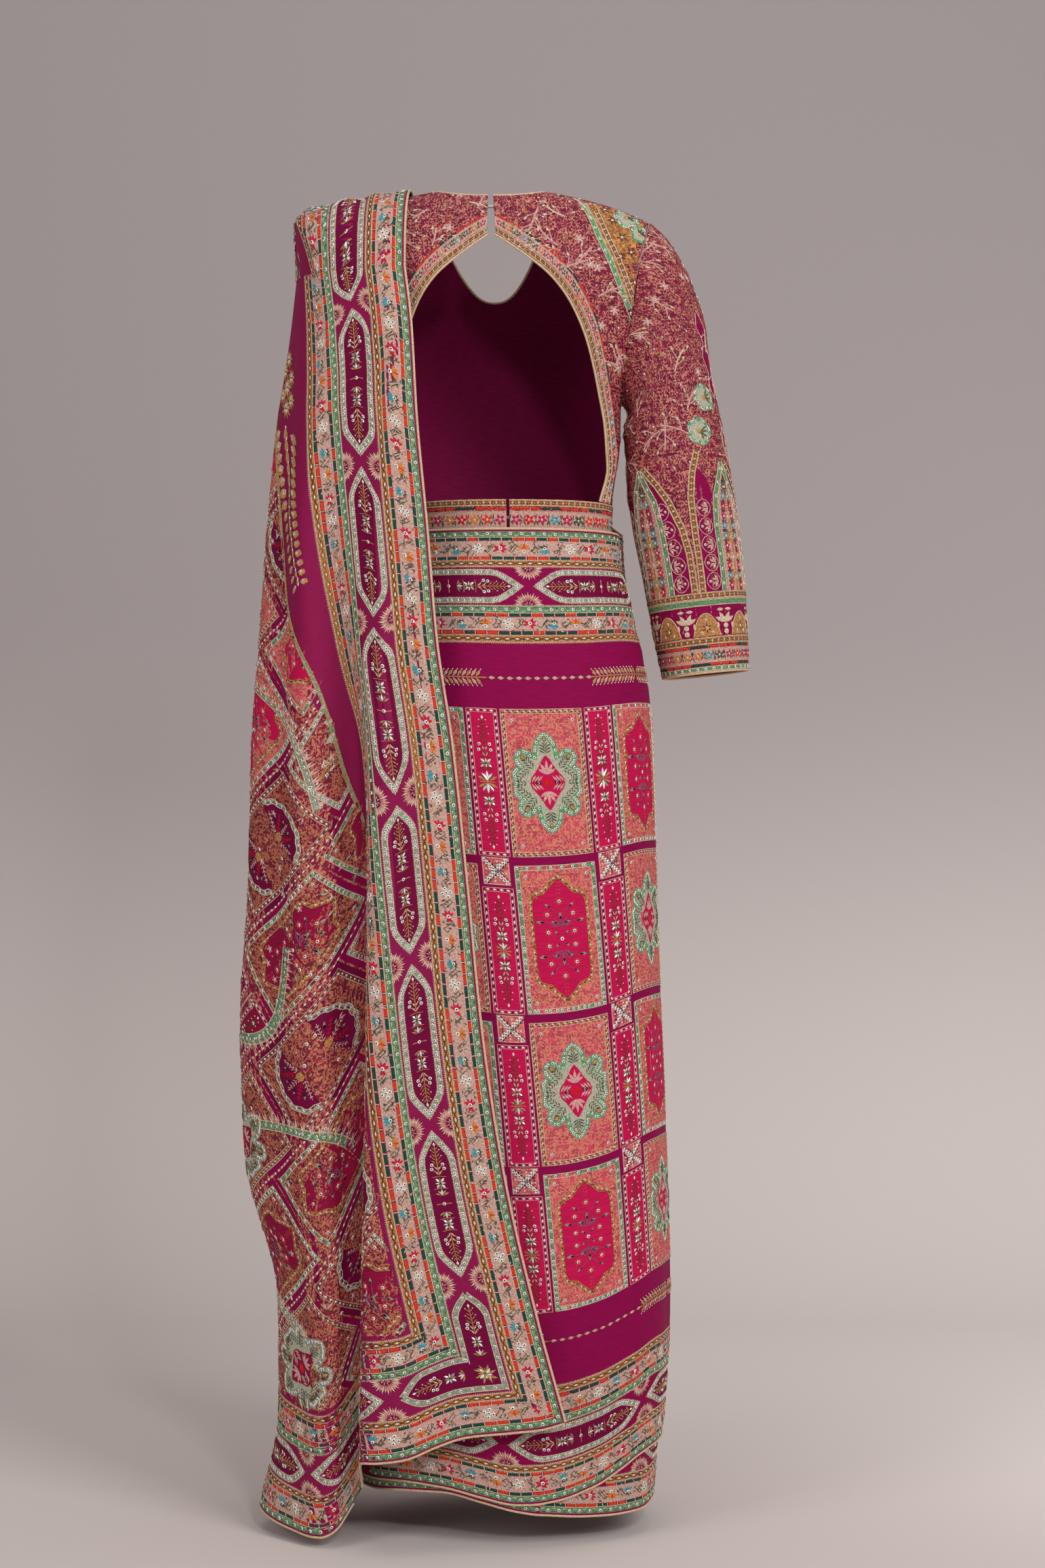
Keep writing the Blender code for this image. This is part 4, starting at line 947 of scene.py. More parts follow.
def make_scribble(name, ground, first, second, spots, pitch=0.0034, width=0.07, plain=None):
    """Cloth worked with fine wandering stitches of two colours and small spots, beside a plain part."""
    g = Graph(name)
    k = 1 / pitch
    base = g.mix(g.stretch(g.noise(60, 60, 3.0), 0.38, 0.62), *shades(ground, 0.14, 0.06))
    fine = g.math("MULTIPLY", stroke(g, k, 0.8 * k, width, 1.6),
                  g.math("GREATER_THAN", g.noise(0.45 * k, 0.5 * k), 0.42))
    other = g.math("MULTIPLY", stroke(g, 0.7 * k, 1.1 * k, width * 0.8, 1.2),
                   g.math("LESS_THAN", g.noise(0.4 * k, 0.45 * k), 0.56))
    spot = g.math("LESS_THAN", g.add("TexVoronoi", g.scaled(0.62 * k, 0.62 * k), Scale=1.0, Randomness=1.0),
                  0.13)
    colour = g.mix(other, base, linear(second))
    colour = g.mix(fine, colour, linear(first))
    colour = g.mix(spot, colour, linear(spots))
    work = g.math("MAXIMUM", fine, other)
    if plain:
        u, v = g.add("SeparateXYZ", g.flat), g.add("SeparateXYZ", g.flat, output=1)
        share = g.math("POWER", g.add("MapRange", v, From_Min=plain[0], From_Max=plain[1]), plain[4])
        edge = g.add("MapRange", share, To_Min=plain[2], To_Max=plain[3])
        bare = g.math("MAXIMUM", g.math("LESS_THAN", u, edge), g.math("LESS_THAN", v, plain[2]))
        colour = g.mix(bare, colour, silk_colour(g, FINISH_TABLE[0][1], 0.08))
        work = g.math("MULTIPLY", work, g.math("SUBTRACT", 1.0, bare))
    height = g.math("ADD", work, g.math("MULTIPLY", weave(g), 0.3))
    return g.finish(colour, height, 0.7, Roughness=0.66)


SCRIBBLES = {              # first and second stitches, and spots
    "coral": ((220, 128, 108), (188, 88, 92), (140, 66, 56)),
    "earth": ((190, 110, 84), (92, 38, 44), (206, 160, 120)),
    "wedge": ((146, 92, 54), (186, 124, 72), (236, 206, 160)),
}


def make_metal():
    g = Graph("hook_metal")
    place = g.add("TexCoord", output=3)
    worn = g.add("TexNoise", place, Scale=900.0, Detail=3.0)
    rough = g.add("MapRange", worn, To_Min=0.22, To_Max=0.42)
    return g.finish(g.mix(worn, *shades((176, 172, 168), 0.25, 0.0)), None, Roughness=rough, Metallic=1.0)


def make_finishes():
    made = {}
    for name, colour, kind, mottle in FINISH_TABLE:
        if kind == "thread":
            made[name] = make_thread(name, colour, mottle)
        elif kind == "silk":
            made[name] = make_silk(name, colour, mottle)
        elif kind == "scribble":
            made[name] = make_scribble(name, colour, *SCRIBBLES[name])
        else:
            g = Graph(name)
            tone = g.mix(g.noise(260, 260), *shades(colour, 0.14, 0.0))
            cloudy = g.add("MapRange", g.noise(300, 300), To_Min=0.16, To_Max=0.4)
            made[name] = g.finish(tone, None, Roughness=cloudy, Metallic=0.0 if kind == "stone" else 0.8,
                                  Specular_IOR_Level=0.6)
    return made


FINISHES = make_finishes()
METAL = make_metal()
CLOTHS = {
    "saree": FINISHES["magenta"],
    "blouse": make_scribble("blouse_cloth", (116, 8, 56), (204, 132, 112), (150, 54, 70), (146, 40, 58),
                            0.0031, 0.044),
    "pallu": make_scribble("pallu_cloth", (150, 20, 66), (200, 124, 96), (122, 56, 56), (224, 190, 156),
                           0.0042, 0.070, (0.45, 1.20, 0.131, 0.215, 1.6)),
    "inside": make_silk("cloth_reverse", (118, 8, 62), 0.12),
    "piping": make_thread("piping", (232, 200, 164), 0.10),
}


# Border, from its outer edge inwards in millimetres
BORDER_PITCH = 172.0       # from one cartouche to the next
BAND_TABLE = (             # first edge, last edge, finish
    (1.5, 8.0, "green"), (12.4, 29.8, "peach"), (34.0, 41.0, "ochre"),
    (85.0, 92.0, "green"), (96.6, 112.0, "peach"), (116.6, 124.6, "ochre"),
)
LINE_TABLE = (             # distance, width, finish of single threads
    (8.4, 0.9, "cream"), (12.8, 1.0, "blush"), (29.4, 1.0, "blush"), (34.3, 0.9, "cream"),
    (40.8, 0.9, "cream"), (84.8, 0.9, "cream"), (92.3, 0.9, "cream"), (97.0, 0.9, "blush"),
    (111.6, 0.9, "blush"), (116.9, 0.9, "cream"), (124.4, 0.9, "cream"),
)
DASH_ROWS = (10.4, 31.8, 94.4, 114.2)
DASH_PITCH = 12.3
DASH = (10.2, 3.3)         # length and width
SEQUIN_ROWS = (4.8, 88.5)
SEQUIN_PITCH = 12.1
CHAIN_ROWS = (37.5, 120.6)
CHAIN_PITCH = 10.5
CHAIN_SWING = 1.75         # how far each of its threads swings out
FLOWER_ROWS = (21.2, 104.4)
FLOWER_PITCH = 24.6
CARTOUCHE_MIDDLE = 63.0
CARTOUCHE = ((80.0, 0.0), (74.5, 4.2), (67.5, 9.0), (60.5, 13.6), (54.0, 16.8), (47.0, 18.2), (30.0, 18.4),
             (0.0, 18.4))
CARTOUCHE_BAND = 5.2
ROSETTE_MIDDLES = (42.0, 84.0)
ROSETTE_RADIUS = 14.5
STITCH_PITCH = 1.9


def span(first, last, pitch):
    """Middles at a pitch, centred on a stretch."""
    count = max(0, int((last - first) / pitch))
    return first + (last - first - count * pitch) / 2 + pitch * (np.arange(count) + 0.5)


def chain(work, last, y):
    """Twist of two brown threads with a pale oval in each eye."""
    xs = np.arange(0, last + 0.01, CHAIN_PITCH / 3)
    wave = CHAIN_SWING * np.sin(math.pi * xs / CHAIN_PITCH)
    for sign in (1, -1):
        work.line(np.c_[xs, y + sign * wave], 1.15, "brown", 0.75, 0.3, step=9)
    for x in np.arange(CHAIN_PITCH / 2, last, CHAIN_PITCH):
        work.stone(x, y, 0, 4.6, 2.0, "white")
        work.blade(x - 3.4, y - 0.9, 0, 6.8, 0.7, "gold", 0.7)


def border_flower(work, x, y, kind, rng):
    """One of four small flowers of the pale band, with its stems and leaves."""
    lean = rng.uniform(-12, 12)
    if kind == 0:
        work.petals(x, y, 6, 4.8, 2.6, "cream", lean, foot=1.0)
        for angle in (20, 110, 200, 290):
            a = math.radians(angle)
            work.sequin(x + 3.4 * math.cos(a), y + 3.4 * math.sin(a), 1.7)
        work.sequin(x, y, 1.7)
    elif kind == 1:
        for angle, finish in ((-62, "red"), (-25, "rose"), (18, "rose"), (58, "red"), (200, "red"),
                              (160, "rose")):
            work.leaf(x - 1.5, y, angle + lean, 6.2, 2.6, finish)
        work.sequin(x - 1.2, y, 1.8)
    elif kind == 2:
        for angle in (-55, -28, 0, 28, 55):
            work.leaf(x - 2, y, angle + 90 + lean, 6.2, 2.0, "turquoise")
        for angle in (230, 270, 310):
            work.blade(x - 2, y, angle + lean, 4.5, 2.0, "leaf")
        work.sequin(x - 2, y - 0.6, 1.7)
    else:
        for angle, finish in ((-60, "amber"), (-30, "amber"), (0, "orange"), (30, "amber"), (60, "amber")):
            work.leaf(x - 1, y + 1, angle - 90 + lean, 6.6, 2.2, finish)
        work.sequin(x - 1, y + 2.4, 1.8)
    for side in (-1, 1):
        start = np.array([x + side * 4.5, y + side * 1.5])
        path = [start, start + (side * 3.0, side * 2.6), start + (side * 6.0, -side * 1.4),
                start + (side * 8.2, -side * 3.6)]
        work.line(path, 0.8, "leaf", 0.6, 0.25, step=9)
        for k in range(6):
            spot = start + (side * rng.uniform(0.5, 7.5), rng.uniform(-5.6, 5.6))
            work.blade(*spot, rng.uniform(0, 360), rng.uniform(2.4, 4.2), 1.2,
                       ("grey", "leaf", "cream")[k % 3])


def border_bands(length, seed):
    """All running bands of the border: x along it, y from its outer edge."""
    work, rng = Work(), np.random.default_rng(seed)
    xs = np.linspace(0, length, max(2, int(length / 9) + 1))
    for first, last, finish in BAND_TABLE:
        work.between(at_height(xs, first), at_height(xs, last), finish, 0.32,
                     steps=3 if last - first > 10 else 1)
    for y, width, finish in LINE_TABLE:
        work.line([(0, y), (length, y)], width, finish, 0.6, 0.2, step=9)
    for y in DASH_ROWS:
        colour, run = "teal", 0
        for x in span(0, length, DASH_PITCH):
            if run == 0:
                run = int(rng.integers(1, 4))
                colour = "orange" if colour == "teal" else "teal"
            run -= 1
            long = DASH[0] * rng.uniform(0.85, 1.05)
            work.line([(x - long / 2, y), (x + long / 2, y)], DASH[1], colour, 0.75, 0.25, step=11)
            work.line([(x + DASH_PITCH / 2, y - 1.8), (x + DASH_PITCH / 2, y + 1.8)], 1.0, "cream", 0.8, 0.3)
    for y in SEQUIN_ROWS:
        for x in span(0, length, SEQUIN_PITCH):
            work.sequin(x, y + rng.uniform(-0.5, 0.5), 1.9)
            work.blade(x + 2.6, y + 1.7, 1, 6.8, 1.0, "cream", 0.6)
            work.blade(x + 3.4, y - 1.8, 2, 5.2, 1.0, "leaf", 0.6)
    for y in CHAIN_ROWS:
        chain(work, length, y)
    xs = np.arange(0.8, length, STITCH_PITCH)
    for y, reach in ((34.0, -1.6), (41.2, 1.7), (84.6, -1.6), (125.0, 1.5)):
        work.spikes(at_height(xs - 0.9 / 2, y), at_height(xs + 0.9 / 2, y), at_height(xs, y + reach),
                    "cream", 0.3)
    for y in FLOWER_ROWS:
        order = rng.permutation(4)
        for k, x in enumerate(span(0, length, FLOWER_PITCH)):
            flower = Work()
            border_flower(flower, 0, 0, int(order[k % 4]), rng)
            work.stamp(flower, x + rng.uniform(-1.5, 1.5), y + rng.uniform(-0.6, 0.6), 0, 1.32, 1.2)
    return work


def mirrored(quarter):
    """Closed outline from its quarter, given from the right tip to the top."""
    q = np.asarray(quarter, float)
    left = q[::-1][1:] * (-1, 1) if q[-1][0] == 0 else q[::-1] * (-1, 1)
    upper = np.concatenate([q, left])
    return np.concatenate([upper, (upper[1:-1] * (1, -1))[::-1]])


def inset(outline, by):
    """Outline moved inwards by a distance."""
    back = np.roll(outline, 1, axis=0)
    ahead = np.roll(outline, -1, axis=0)
    first, second = unit(outline - back), unit(ahead - outline)
    turn = np.sign(np.sum(outline[:, 0] * ahead[:, 1] - ahead[:, 0] * outline[:, 1]))
    n1 = left_of(first) * turn
    n2 = left_of(second) * turn
    half = n1 + n2
    return outline + half * by / np.maximum(np.sum(half * n1, axis=1, keepdims=True), 0.6)


def frame_band(work, outline, width, finish, high=0.35, edges="cream", sequins=0.0, stitches=False, step=5.0):
    """Band that follows a closed outline, with its edge threads and its sequins."""
    outline = even(looped(outline), step)
    inner = looped(inset(outline[:-1], width))
    work.between(outline, inner, finish, high, steps=1, edge=0.4)
    for path in (outline, inner) if edges != finish else ():
        work.line(path, 0.9, edges, high + 0.4, high, step=step)
    if stitches:
        for path, sign in ((even(outline, STITCH_PITCH * 1.3), -1), (even(inner, STITCH_PITCH * 1.3), 1)):
            along = unit(np.gradient(path, axis=0))
            out = left_of(along)
            out *= np.sign(np.sum(out * (path - outline.mean(axis=0)), axis=1, keepdims=True)) * -sign
            work.spikes(path - along * 0.45, path + along * 0.45, path + out * 1.5, "cream", 0.4)
    if sequins:
        for x, y in even((outline + inner) / 2, sequins)[:-1]:
            work.sequin(x, y, 1.8)


def sprig(work, path, finish, long, wide, pitch, lean):
    """Stitches in pairs along a path, like leaves on a stem."""
    for x, y, turn in follow(path, pitch):
        for side in (-1, 1):
            work.blade(x, y, turn + side * lean, long, wide, finish, 1.1, 0.5)


def fern(work, x, y, angle, length, finish="gold", tips=True, wide=7.0):
    """Stem with thin leaves; two pale pairs at its foot end in sequins, a stone stands at its tip."""
    part = Work()
    part.line([(0, 0), (length, 0)], 0.9, finish, 0.8, 0.3, step=9)
    start = length * 0.36 if tips else 0.0
    count = max(2, int((length - start) / 3.9))
    for k in range(count):
        at = start + (length - start) * k / count
        for side in (-1, 1):
            part.blade(at, side * 0.2, side * 44, wide * (0.95 - 0.5 * k / count), 1.15, finish, 0.95, 0.4)
            if tips and k % 2:
                a = math.radians(side * 44)
                reach = wide * (1.05 - 0.5 * k / count)
                part.dot(at + math.cos(a) * reach, math.sin(a) * reach, 0.75, "white", 0.5, 1.3, sides=5)
    if tips:
        for at, long in ((0.5, wide * 1.1), (length * 0.19, wide * 0.95)):
            for side in (-1, 1):
                a = math.radians(side * 46)
                part.blade(at, side * 0.3, side * 46, long, 1.3, finish, 0.95, 0.4)
                part.blade(at - 1.0, side * 0.3, side * 30, long * 0.62, 1.6, "cream", 1.1, 0.5)
                part.sequin(at + math.cos(a) * long, math.sin(a) * long, 1.9)
        part.stone(length + 2.2, 0, 0, 4.6, 2.4)
    work.stamp(part, x, y, angle)


def four_petals(work, x, y, size):
    """Flower of four wide mirror petals with pale edges and a stone above and below."""
    for angle in (38, 142, 218, 322):
        c, s = cos_sin(angle)
        work.leaf(x + c * size * 0.1, y + s * size * 0.1, angle, size * 1.25, size * 0.62, "grey", 0.5)
        work.leaf(x + c * size * 0.3, y + s * size * 0.3, angle, size * 0.95, size * 0.42,
                  "silver" if angle < 200 else "white", 1.2, 0.6)
    for angle in (90, 270):
        work.leaf(x, y, angle, size * 0.95, size * 0.30, "white", 1.1)
    for angle in (0, 180):
        work.blade(x, y, angle, size * 1.2, size * 0.26, "gold", 1.0)
    work.dot(x, y, 1.0, "dark", 0.8, 1.4)


def lotus(work, x, y, angle, size):
    """Half-open flower: gold outer petals round mirror ones."""
    for turn, long, finish in ((-66, 1.05, "gold"), (66, 1.05, "gold"), (-34, 0.95, "silver"),
                               (34, 0.95, "silver"), (0, 1.0, "white"), (-50, 0.8, "brown"),
                               (50, 0.8, "brown")):
        work.leaf(x, y, angle + turn, size * long, size * 0.28, finish, 1.1)


def cartouche(work, x, fine=True):
    """Pointed panel of the border with its band of sequins and its row of small motifs."""
    outline = mirrored(CARTOUCHE)
    part = Work()
    upper = np.asarray([p for p in inset(outline, 1.5) if p[1] >= 0])
    upper = upper[np.argsort(upper[:, 0])]
    xs = np.linspace(-77.5, 77.5, 22)
    top = np.interp(xs, upper[:, 0], upper[:, 1])
    part.between(np.c_[xs, -top], np.c_[xs, top], "plum", 0.18, steps=4, edge=0.1)
    frame_band(part, outline, CARTOUCHE_BAND, "sage", 0.4, sequins=12.0, stitches=fine, step=7)
    for side in (1, -1):
        fern(part, side * 32, 0, 0 if side > 0 else 180, 31, wide=8.0)
        four_petals(part, side * 22.5, 0, 5.6)
        lotus(part, side * 9.0, 0, 0 if side > 0 else 180, 7.2)
        for at in (16.4, 29.4):
            part.line([(side * at, -7), (side * at + 0.8, 0), (side * at, 7)], 0.7, "gold", 0.7, 0.3, step=9)
    part.line([(0, -7.5), (0, 7.5)], 0.9, "gold", 0.7, 0.3)
    part.sequin(0, 0, 1.9)
    work.stamp(part, x, CARTOUCHE_MIDDLE)


def ribbon(work, path, width, finish, edges="cream", high=0.5):
    """Band along a path, between two threads."""
    path = even(np.asarray(path, float), 8.0)
    along = unit(np.gradient(path, axis=0))
    side = left_of(along) * width / 2
    work.between(path - side, path + side, finish, high, steps=1, edge=0.4)
    for s in (-1, 1):
        work.line(path + side * s, 1.0, edges, high + 0.5, high, step=8)


def green_strip(work, path, width, pitch=9.0, finish="green"):
    ribbon(work, path, width, finish)
    for x, y, _ in follow(path, pitch):
        work.sequin(x, y, 1.8)


def chain_band(work, path, width=6.5):
    """Ochre band with a brown twist round pale stones."""
    ribbon(work, path, width, "ochre")
    for x, y, turn in follow(path, 6.8):
        work.stone(x, y, turn, 4.2, 2.0)
        for lean in (-24, 24, 156, 204):
            work.blade(x, y, turn + lean, 4.4, 1.3, "brown", 1.0, 0.6)


def flower_band(work, path, width, pitch):
    """Pale band with small flowers of many colours."""
    ribbon(work, path, width, "peach", "blush", 0.3)
    rng = np.random.default_rng(int(width * 10) + int(pitch * 7))
    for x, y, turn in follow(path, pitch):
        finish = ("red", "turquoise", "amber", "rose", "leaf", "orange")[rng.integers(0, 6)]
        work.petals(x, y, 5, width * 0.36, width * 0.20, finish, rng.uniform(0, 72), 1.0)
        work.sequin(x, y, 1.5)
        c, s = math.cos(math.radians(turn)) * pitch / 2, math.sin(math.radians(turn)) * pitch / 2
        for k, lean in enumerate((70, 110, 250, 290)):
            work.blade(x + c, y + s, turn + lean + rng.uniform(-20, 20), width * 0.38, 1.6,
                       ("grey", "teal", "leaf", "red")[(k + rng.integers(0, 2)) % 4])


def half_rosette(work, x, y, sign):
    """Half flower on the band's edge: pale rays round a plum middle."""
    part = Work()
    radius, angle = ROSETTE_RADIUS, np.linspace(0, math.pi, 13)
    ring = np.stack([np.cos(angle), np.sin(angle) * 0.80], 1)
    part.between(ring * radius * 0.98, ring * radius * 0.45, "rose", 0.3, steps=1, edge=0.2)
    for k, a in enumerate(np.linspace(4, 176, 17)):
        c, s = math.cos(math.radians(a)), math.sin(math.radians(a)) * 0.80
        part.blade(c * radius * 0.42, s * radius * 0.42, math.degrees(math.atan2(s, c)),
                   radius * (0.60 if k % 2 else 0.70), 1.9, "blush" if k % 2 else "cream", 1.0)
    part.between(ring * radius * 0.42, ring * 0.5, "plum", 0.4, steps=1, edge=0.1)
    for a in (25, 65, 115, 155):
        c, s = math.cos(math.radians(a)), math.sin(math.radians(a)) * 0.8
        part.leaf(c, s, a, radius * 0.34, 1.5, "blush", 0.9)
    work.stamp(part, x, y, 0, 1, sign)


def rosette_pair(work, x):
    """Half flowers that face each other between two cartouches."""
    for y, sign in zip(ROSETTE_MIDDLES, (1, -1)):
        half_rosette(work, x + 1.5 * sign, y, sign)


def border(length, start, seed, fine=True):
    """A stretch of the whole border, with its first cartouche at the start."""
    work = border_bands(length, seed)
    half = BORDER_PITCH / 2
    rosette_pairs = [-1, 1]
    for x in np.arange(start + half, length + half, BORDER_PITCH):
        cartouche(work, x, fine)
        for side in rosette_pairs:
            rosette_pair(work, x + side * half)
        rosette_pairs = [1]
    return work


# Grid of the skirt, in millimetres of cloth
GRID_TOP = 191.7
PANEL = (87.5, 155.0)
NARROW = 32.5
COLUMN_PITCH = 127.0
ROW_PITCH = 164.8
JUNCTION = 29.0
GRID_ROWS = 4
GRID_PHASE = 16.5          # middle of a wide column, from the centre back
ROSETTE = ((37.0, 0.0), (37.3, 6.0), (38.0, 12.5), (33.5, 16.5), (31.2, 18.0), (33.8, 21.0), (34.8, 26.0),
           (33.0, 31.5),
           (28.5, 35.6), (22.5, 36.6), (17.8, 34.6), (14.8, 31.0), (13.6, 30.0), (14.2, 34.0), (13.0, 40.0),
           (9.5, 46.5), (5.0, 51.5), (0.0, 54.5))
DIAMOND = ((18.8, 0.0), (17.0, 6.0), (13.0, 10.5), (8.5, 17.0), (4.0, 25.0), (0.0, 29.5))
NICHE = ((31.0, 0.0), (31.0, 34.0), (30.4, 42.0), (27.6, 47.4), (22.0, 49.0), (16.8, 50.2), (14.0, 53.4),
         (10.0, 58.2), (5.0, 62.6), (0.0, 67.5))


def rectangle(width, height):
    return np.array([(-1, -1), (1, -1), (1, 1), (-1, 1)]) * (width / 2, height / 2)


def plate(work, width, height, finish, high=0.26):
    ys = np.linspace(-height / 2, height / 2, max(2, int(height / 12)))
    work.between(np.c_[np.full_like(ys, -width / 2), ys], np.c_[np.full_like(ys, width / 2), ys], finish,
                 high, steps=max(1, int(width / 7.5)), edge=0.1)


def stone_frame(work, width, height, band, finish, pitch, stone):
    """Frame of a dark band between two fine threads, set with oblong stones."""
    outline = rectangle(width, height)
    inner = rectangle(width - 2 * band, height - 2 * band)
    gold = finish == "ochre"
    for path in (outline, inner):
        work.line(path, 0.9, "cream" if gold else "blush", 0.7, 0.25, step=13, shut=True)
    middle = rectangle(width - band, height - band)
    work.line(middle, band * 0.62, finish, 0.5, 0.2, step=13, shut=True)
    for x, y, turn in follow(looped(middle), pitch):
        work.stone(x, y, turn + (16 if gold else 4), stone, 1.9 if gold else 2.2)
        if gold:
            for lean in (-26, 154):
                work.blade(x, y, turn + lean, pitch * 0.62, 1.5, "brown", 0.9, 0.5)


def corner_flowers(work, across, up):
    for sx in (-1, 1):
        for sy in (-1, 1):
            for turn in range(18, 378, 72):
                work.blade(sx * across, sy * up, turn, 3.6, 1.8, "blush")
            work.sequin(sx * across, sy * up, 1.7)


def beads(work, width, height, count, seed, keep_out):
    """Small pale and brown beads over the worked ground, outside the middle shape."""
    rng = np.random.default_rng(seed)
    for x, y in rng.uniform(-0.5, 0.5, (count, 2)) * (width, height):
        if (abs(x) / keep_out[0]) ** 1.6 + (abs(y) / keep_out[1]) ** 1.6 > 1:
            if rng.integers(0, 2):
                work.dot(x, y, 0.8, "white", 0.3, 1.2, sides=4)
                work.blade(x, y, rng.uniform(0, 360), 2.4, 1.2, "brown", 0.7)
            else:
                work.blade(x, y, rng.uniform(0, 360), 4.4, 1.4, "gold")


def medallion_panel(share):
    work = Work()
    width, height = PANEL
    plate(work, width, height, "coral")
    stone_frame(work, width, height, 4.5, "ochre", 6.6, 4.0)
    corner_flowers(work, width / 2 - 11.0, height / 2 - 11.5)
    beads(work, width - 14, height - 14, int(76 * share), 11, (41, 58))
    outline = mirrored(ROSETTE)
    work.fill(outline, "pale", 0.4, 3)
    frame_band(work, outline, 6.0, "mint", 0.55, edges="mint", sequins=8.4, step=4.0)
    for sy in (-1, 1):
        work.leaf(0, sy * 42.5, sy * 90, 7.0, 4.4, "leaf", 1.0, 0.6)
        work.leaf(0, sy * 43.2, sy * 90, 5.6, 3.2, "gold", 1.5, 0.9)
        for up in (31.0, 34.2, 37.4):
            for sx in (-1, 1):
                work.blade(0, sy * up, 90 * sy - sx * sy * 62, 7.4, 1.5, "leaf", 1.1, 0.5)
                work.blade(0, sy * (up + 1.2), 90 * sy - sx * sy * 30, 5.0, 1.2, "leaf", 1.1, 0.5)
        for sx in (-1, 1):
            sprig(work, [(sx * 13.5, sy * 14.5), (sx * 21.5, sy * 24.5)], "leaf", 6.6, 1.25, 3.1, 44)
            path = [(sx * 17.5, sy * 15.0), (sx * 25.0, sy * 10.5), (sx * 32.0, sy * 3.5)]
            sprig(work, path, "leaf", 5.0, 1.25, 3.4, 40)
            turn = math.degrees(math.atan2(sy * 27, sx * 25))
            work.leaf(sx * 21.6, sy * 24.2, turn, 8.0, 5.8, "leaf", 1.0, 0.6)
            work.leaf(sx * 22.3, sy * 25.0, turn, 6.2, 4.4, "gold", 1.5, 0.9)
    for sx in (-1, 1):
        sprig(work, [(sx * 21.0, 0), (sx * 31.0, 0)], "leaf", 4.6, 1.2, 3.2, 42)
    diamond = mirrored(DIAMOND)
    work.fill(diamond, "pink", 0.75, 3)
    for sy in (-1, 1):
        for lean, long in ((0, 15), (-30, 13.5), (30, 13.5), (-58, 11.0), (58, 11.0)):
            work.leaf(0, sy * 9.0, sy * 90 + lean, long, 3.4, "blush", 1.5, 0.8)
        for side in (-1, 1):
            for out, lean in ((17.5, 36), (14.5, 40), (11.5, 44)):
                work.blade(side * out, sy * 0.6, 90 * sy + side * sy * lean, 9.5, 2.4, "blush", 1.4, 0.8)
    work.dot(0, 0, 4.6, "red", 0.8, 1.5, sides=10)
    work.petals(0, 0, 8, 6.6, 2.2, "red", 20, 1.7)
    work.sequin(0, 0, 2.0)
    for side in (-1, 1):
        work.dot(side * 10.2, 0, 3.0, "plum", 0.9, 1.2, sides=8)
        work.sequin(side * 10.2, 0, 2.2)
    return work


def mirror_leaf(work, x, y, angle, length=7.6):
    """Grey-green leaf with a small dark mirror in it."""
    c, s = cos_sin(angle)
    work.leaf(x, y, angle, length * 1.4, length * 0.54, "sage", 0.9)
    work.leaf(x + c * length * 0.12, y + s * length * 0.12, angle, length * 0.62, length * 0.34, "dark", 1.4,
              0.9)


def niche_panel(share):
    work = Work()
    width, height = PANEL
    plate(work, width, height, "coral")
    frame_band(work, rectangle(width, height), 4.6, "green", 0.3, sequins=12.2, step=13)
    corner_flowers(work, width / 2 - 10.5, height / 2 - 11)
    beads(work, width - 12, height - 12, int(70 * share), 12, (38, 72))
    outline = mirrored(NICHE)
    work.fill(outline, "pink", 0.35, 4)
    shut = looped(outline)
    work.line(shut, 3.4, "ochre", 0.7, 0.3, step=6)
    work.line(outline * 0.955, 0.9, "gold", 0.9, 0.4, step=6, shut=True)
    for k, (x, y, turn) in enumerate(follow(shut, 6.6)):
        work.stone(x, y, turn + 12, 4.4, 2.0, "white" if k % 4 else "brown")
        work.blade(x, y, turn + 150, 4.0, 1.4, "brown", 1.1, 0.6)
    for sy in (-1, 1):
        for turn in (-70, -35, 0, 35, 70):
            work.blade(0, sy * 12, sy * (90 + turn), 13.0, 2.6, "mauve", 0.6, 0.4)
        mirror_leaf(work, 0, sy * 19.5, sy * 90, 6.6)
        for turn in range(10, 370, 40):
            work.blade(0, sy * 39.5, turn, 5.6, 1.2, "flame")
        work.sequin(0, sy * 39.5, 2.1)
        sprig(work, [(0, sy * 45), (0, sy * 60)], "flame", 3.8, 1.2, 3.4, 50)
        for sx in (-1, 1):
            mirror_leaf(work, sx * 3.4, sy * 4.0, math.degrees(math.atan2(sy, sx * 0.9)), 4.4)
            mirror_leaf(work, sx * 3.6, sy * 17.4, 4 * sx * sy + (0 if sx > 0 else 180), 5.6)
            mirror_leaf(work, sx * 17.0, sy * 17.8, 6 * sx * sy + (0 if sx > 0 else 180), 7.4)
            mirror_leaf(work, sx * 10.0, sy * 33.0, math.degrees(math.atan2(sy * 0.75, sx)), 5.6)
            for y in (7.2, 26.0):
                for turn in range(0, 360, 45):
                    work.blade(sx * 14.2, sy * y, turn + y, 5.2, 1.2, "flame")
                work.sequin(sx * 14.2, sy * y, 2.1)
            work.line([(sx * 2, sy * 18), (sx * 9, sy * 17), (sx * 17, sy * 18.5)], 0.8, "mauve", 0.8, 0.4,
                      step=8)
            work.line([(0, sy * 24), (sx * 5, sy * 29), (sx * 10, sy * 33)], 0.8, "mauve", 0.8, 0.4, step=8)
    work.sequin(0, 0, 2.2)
    return work


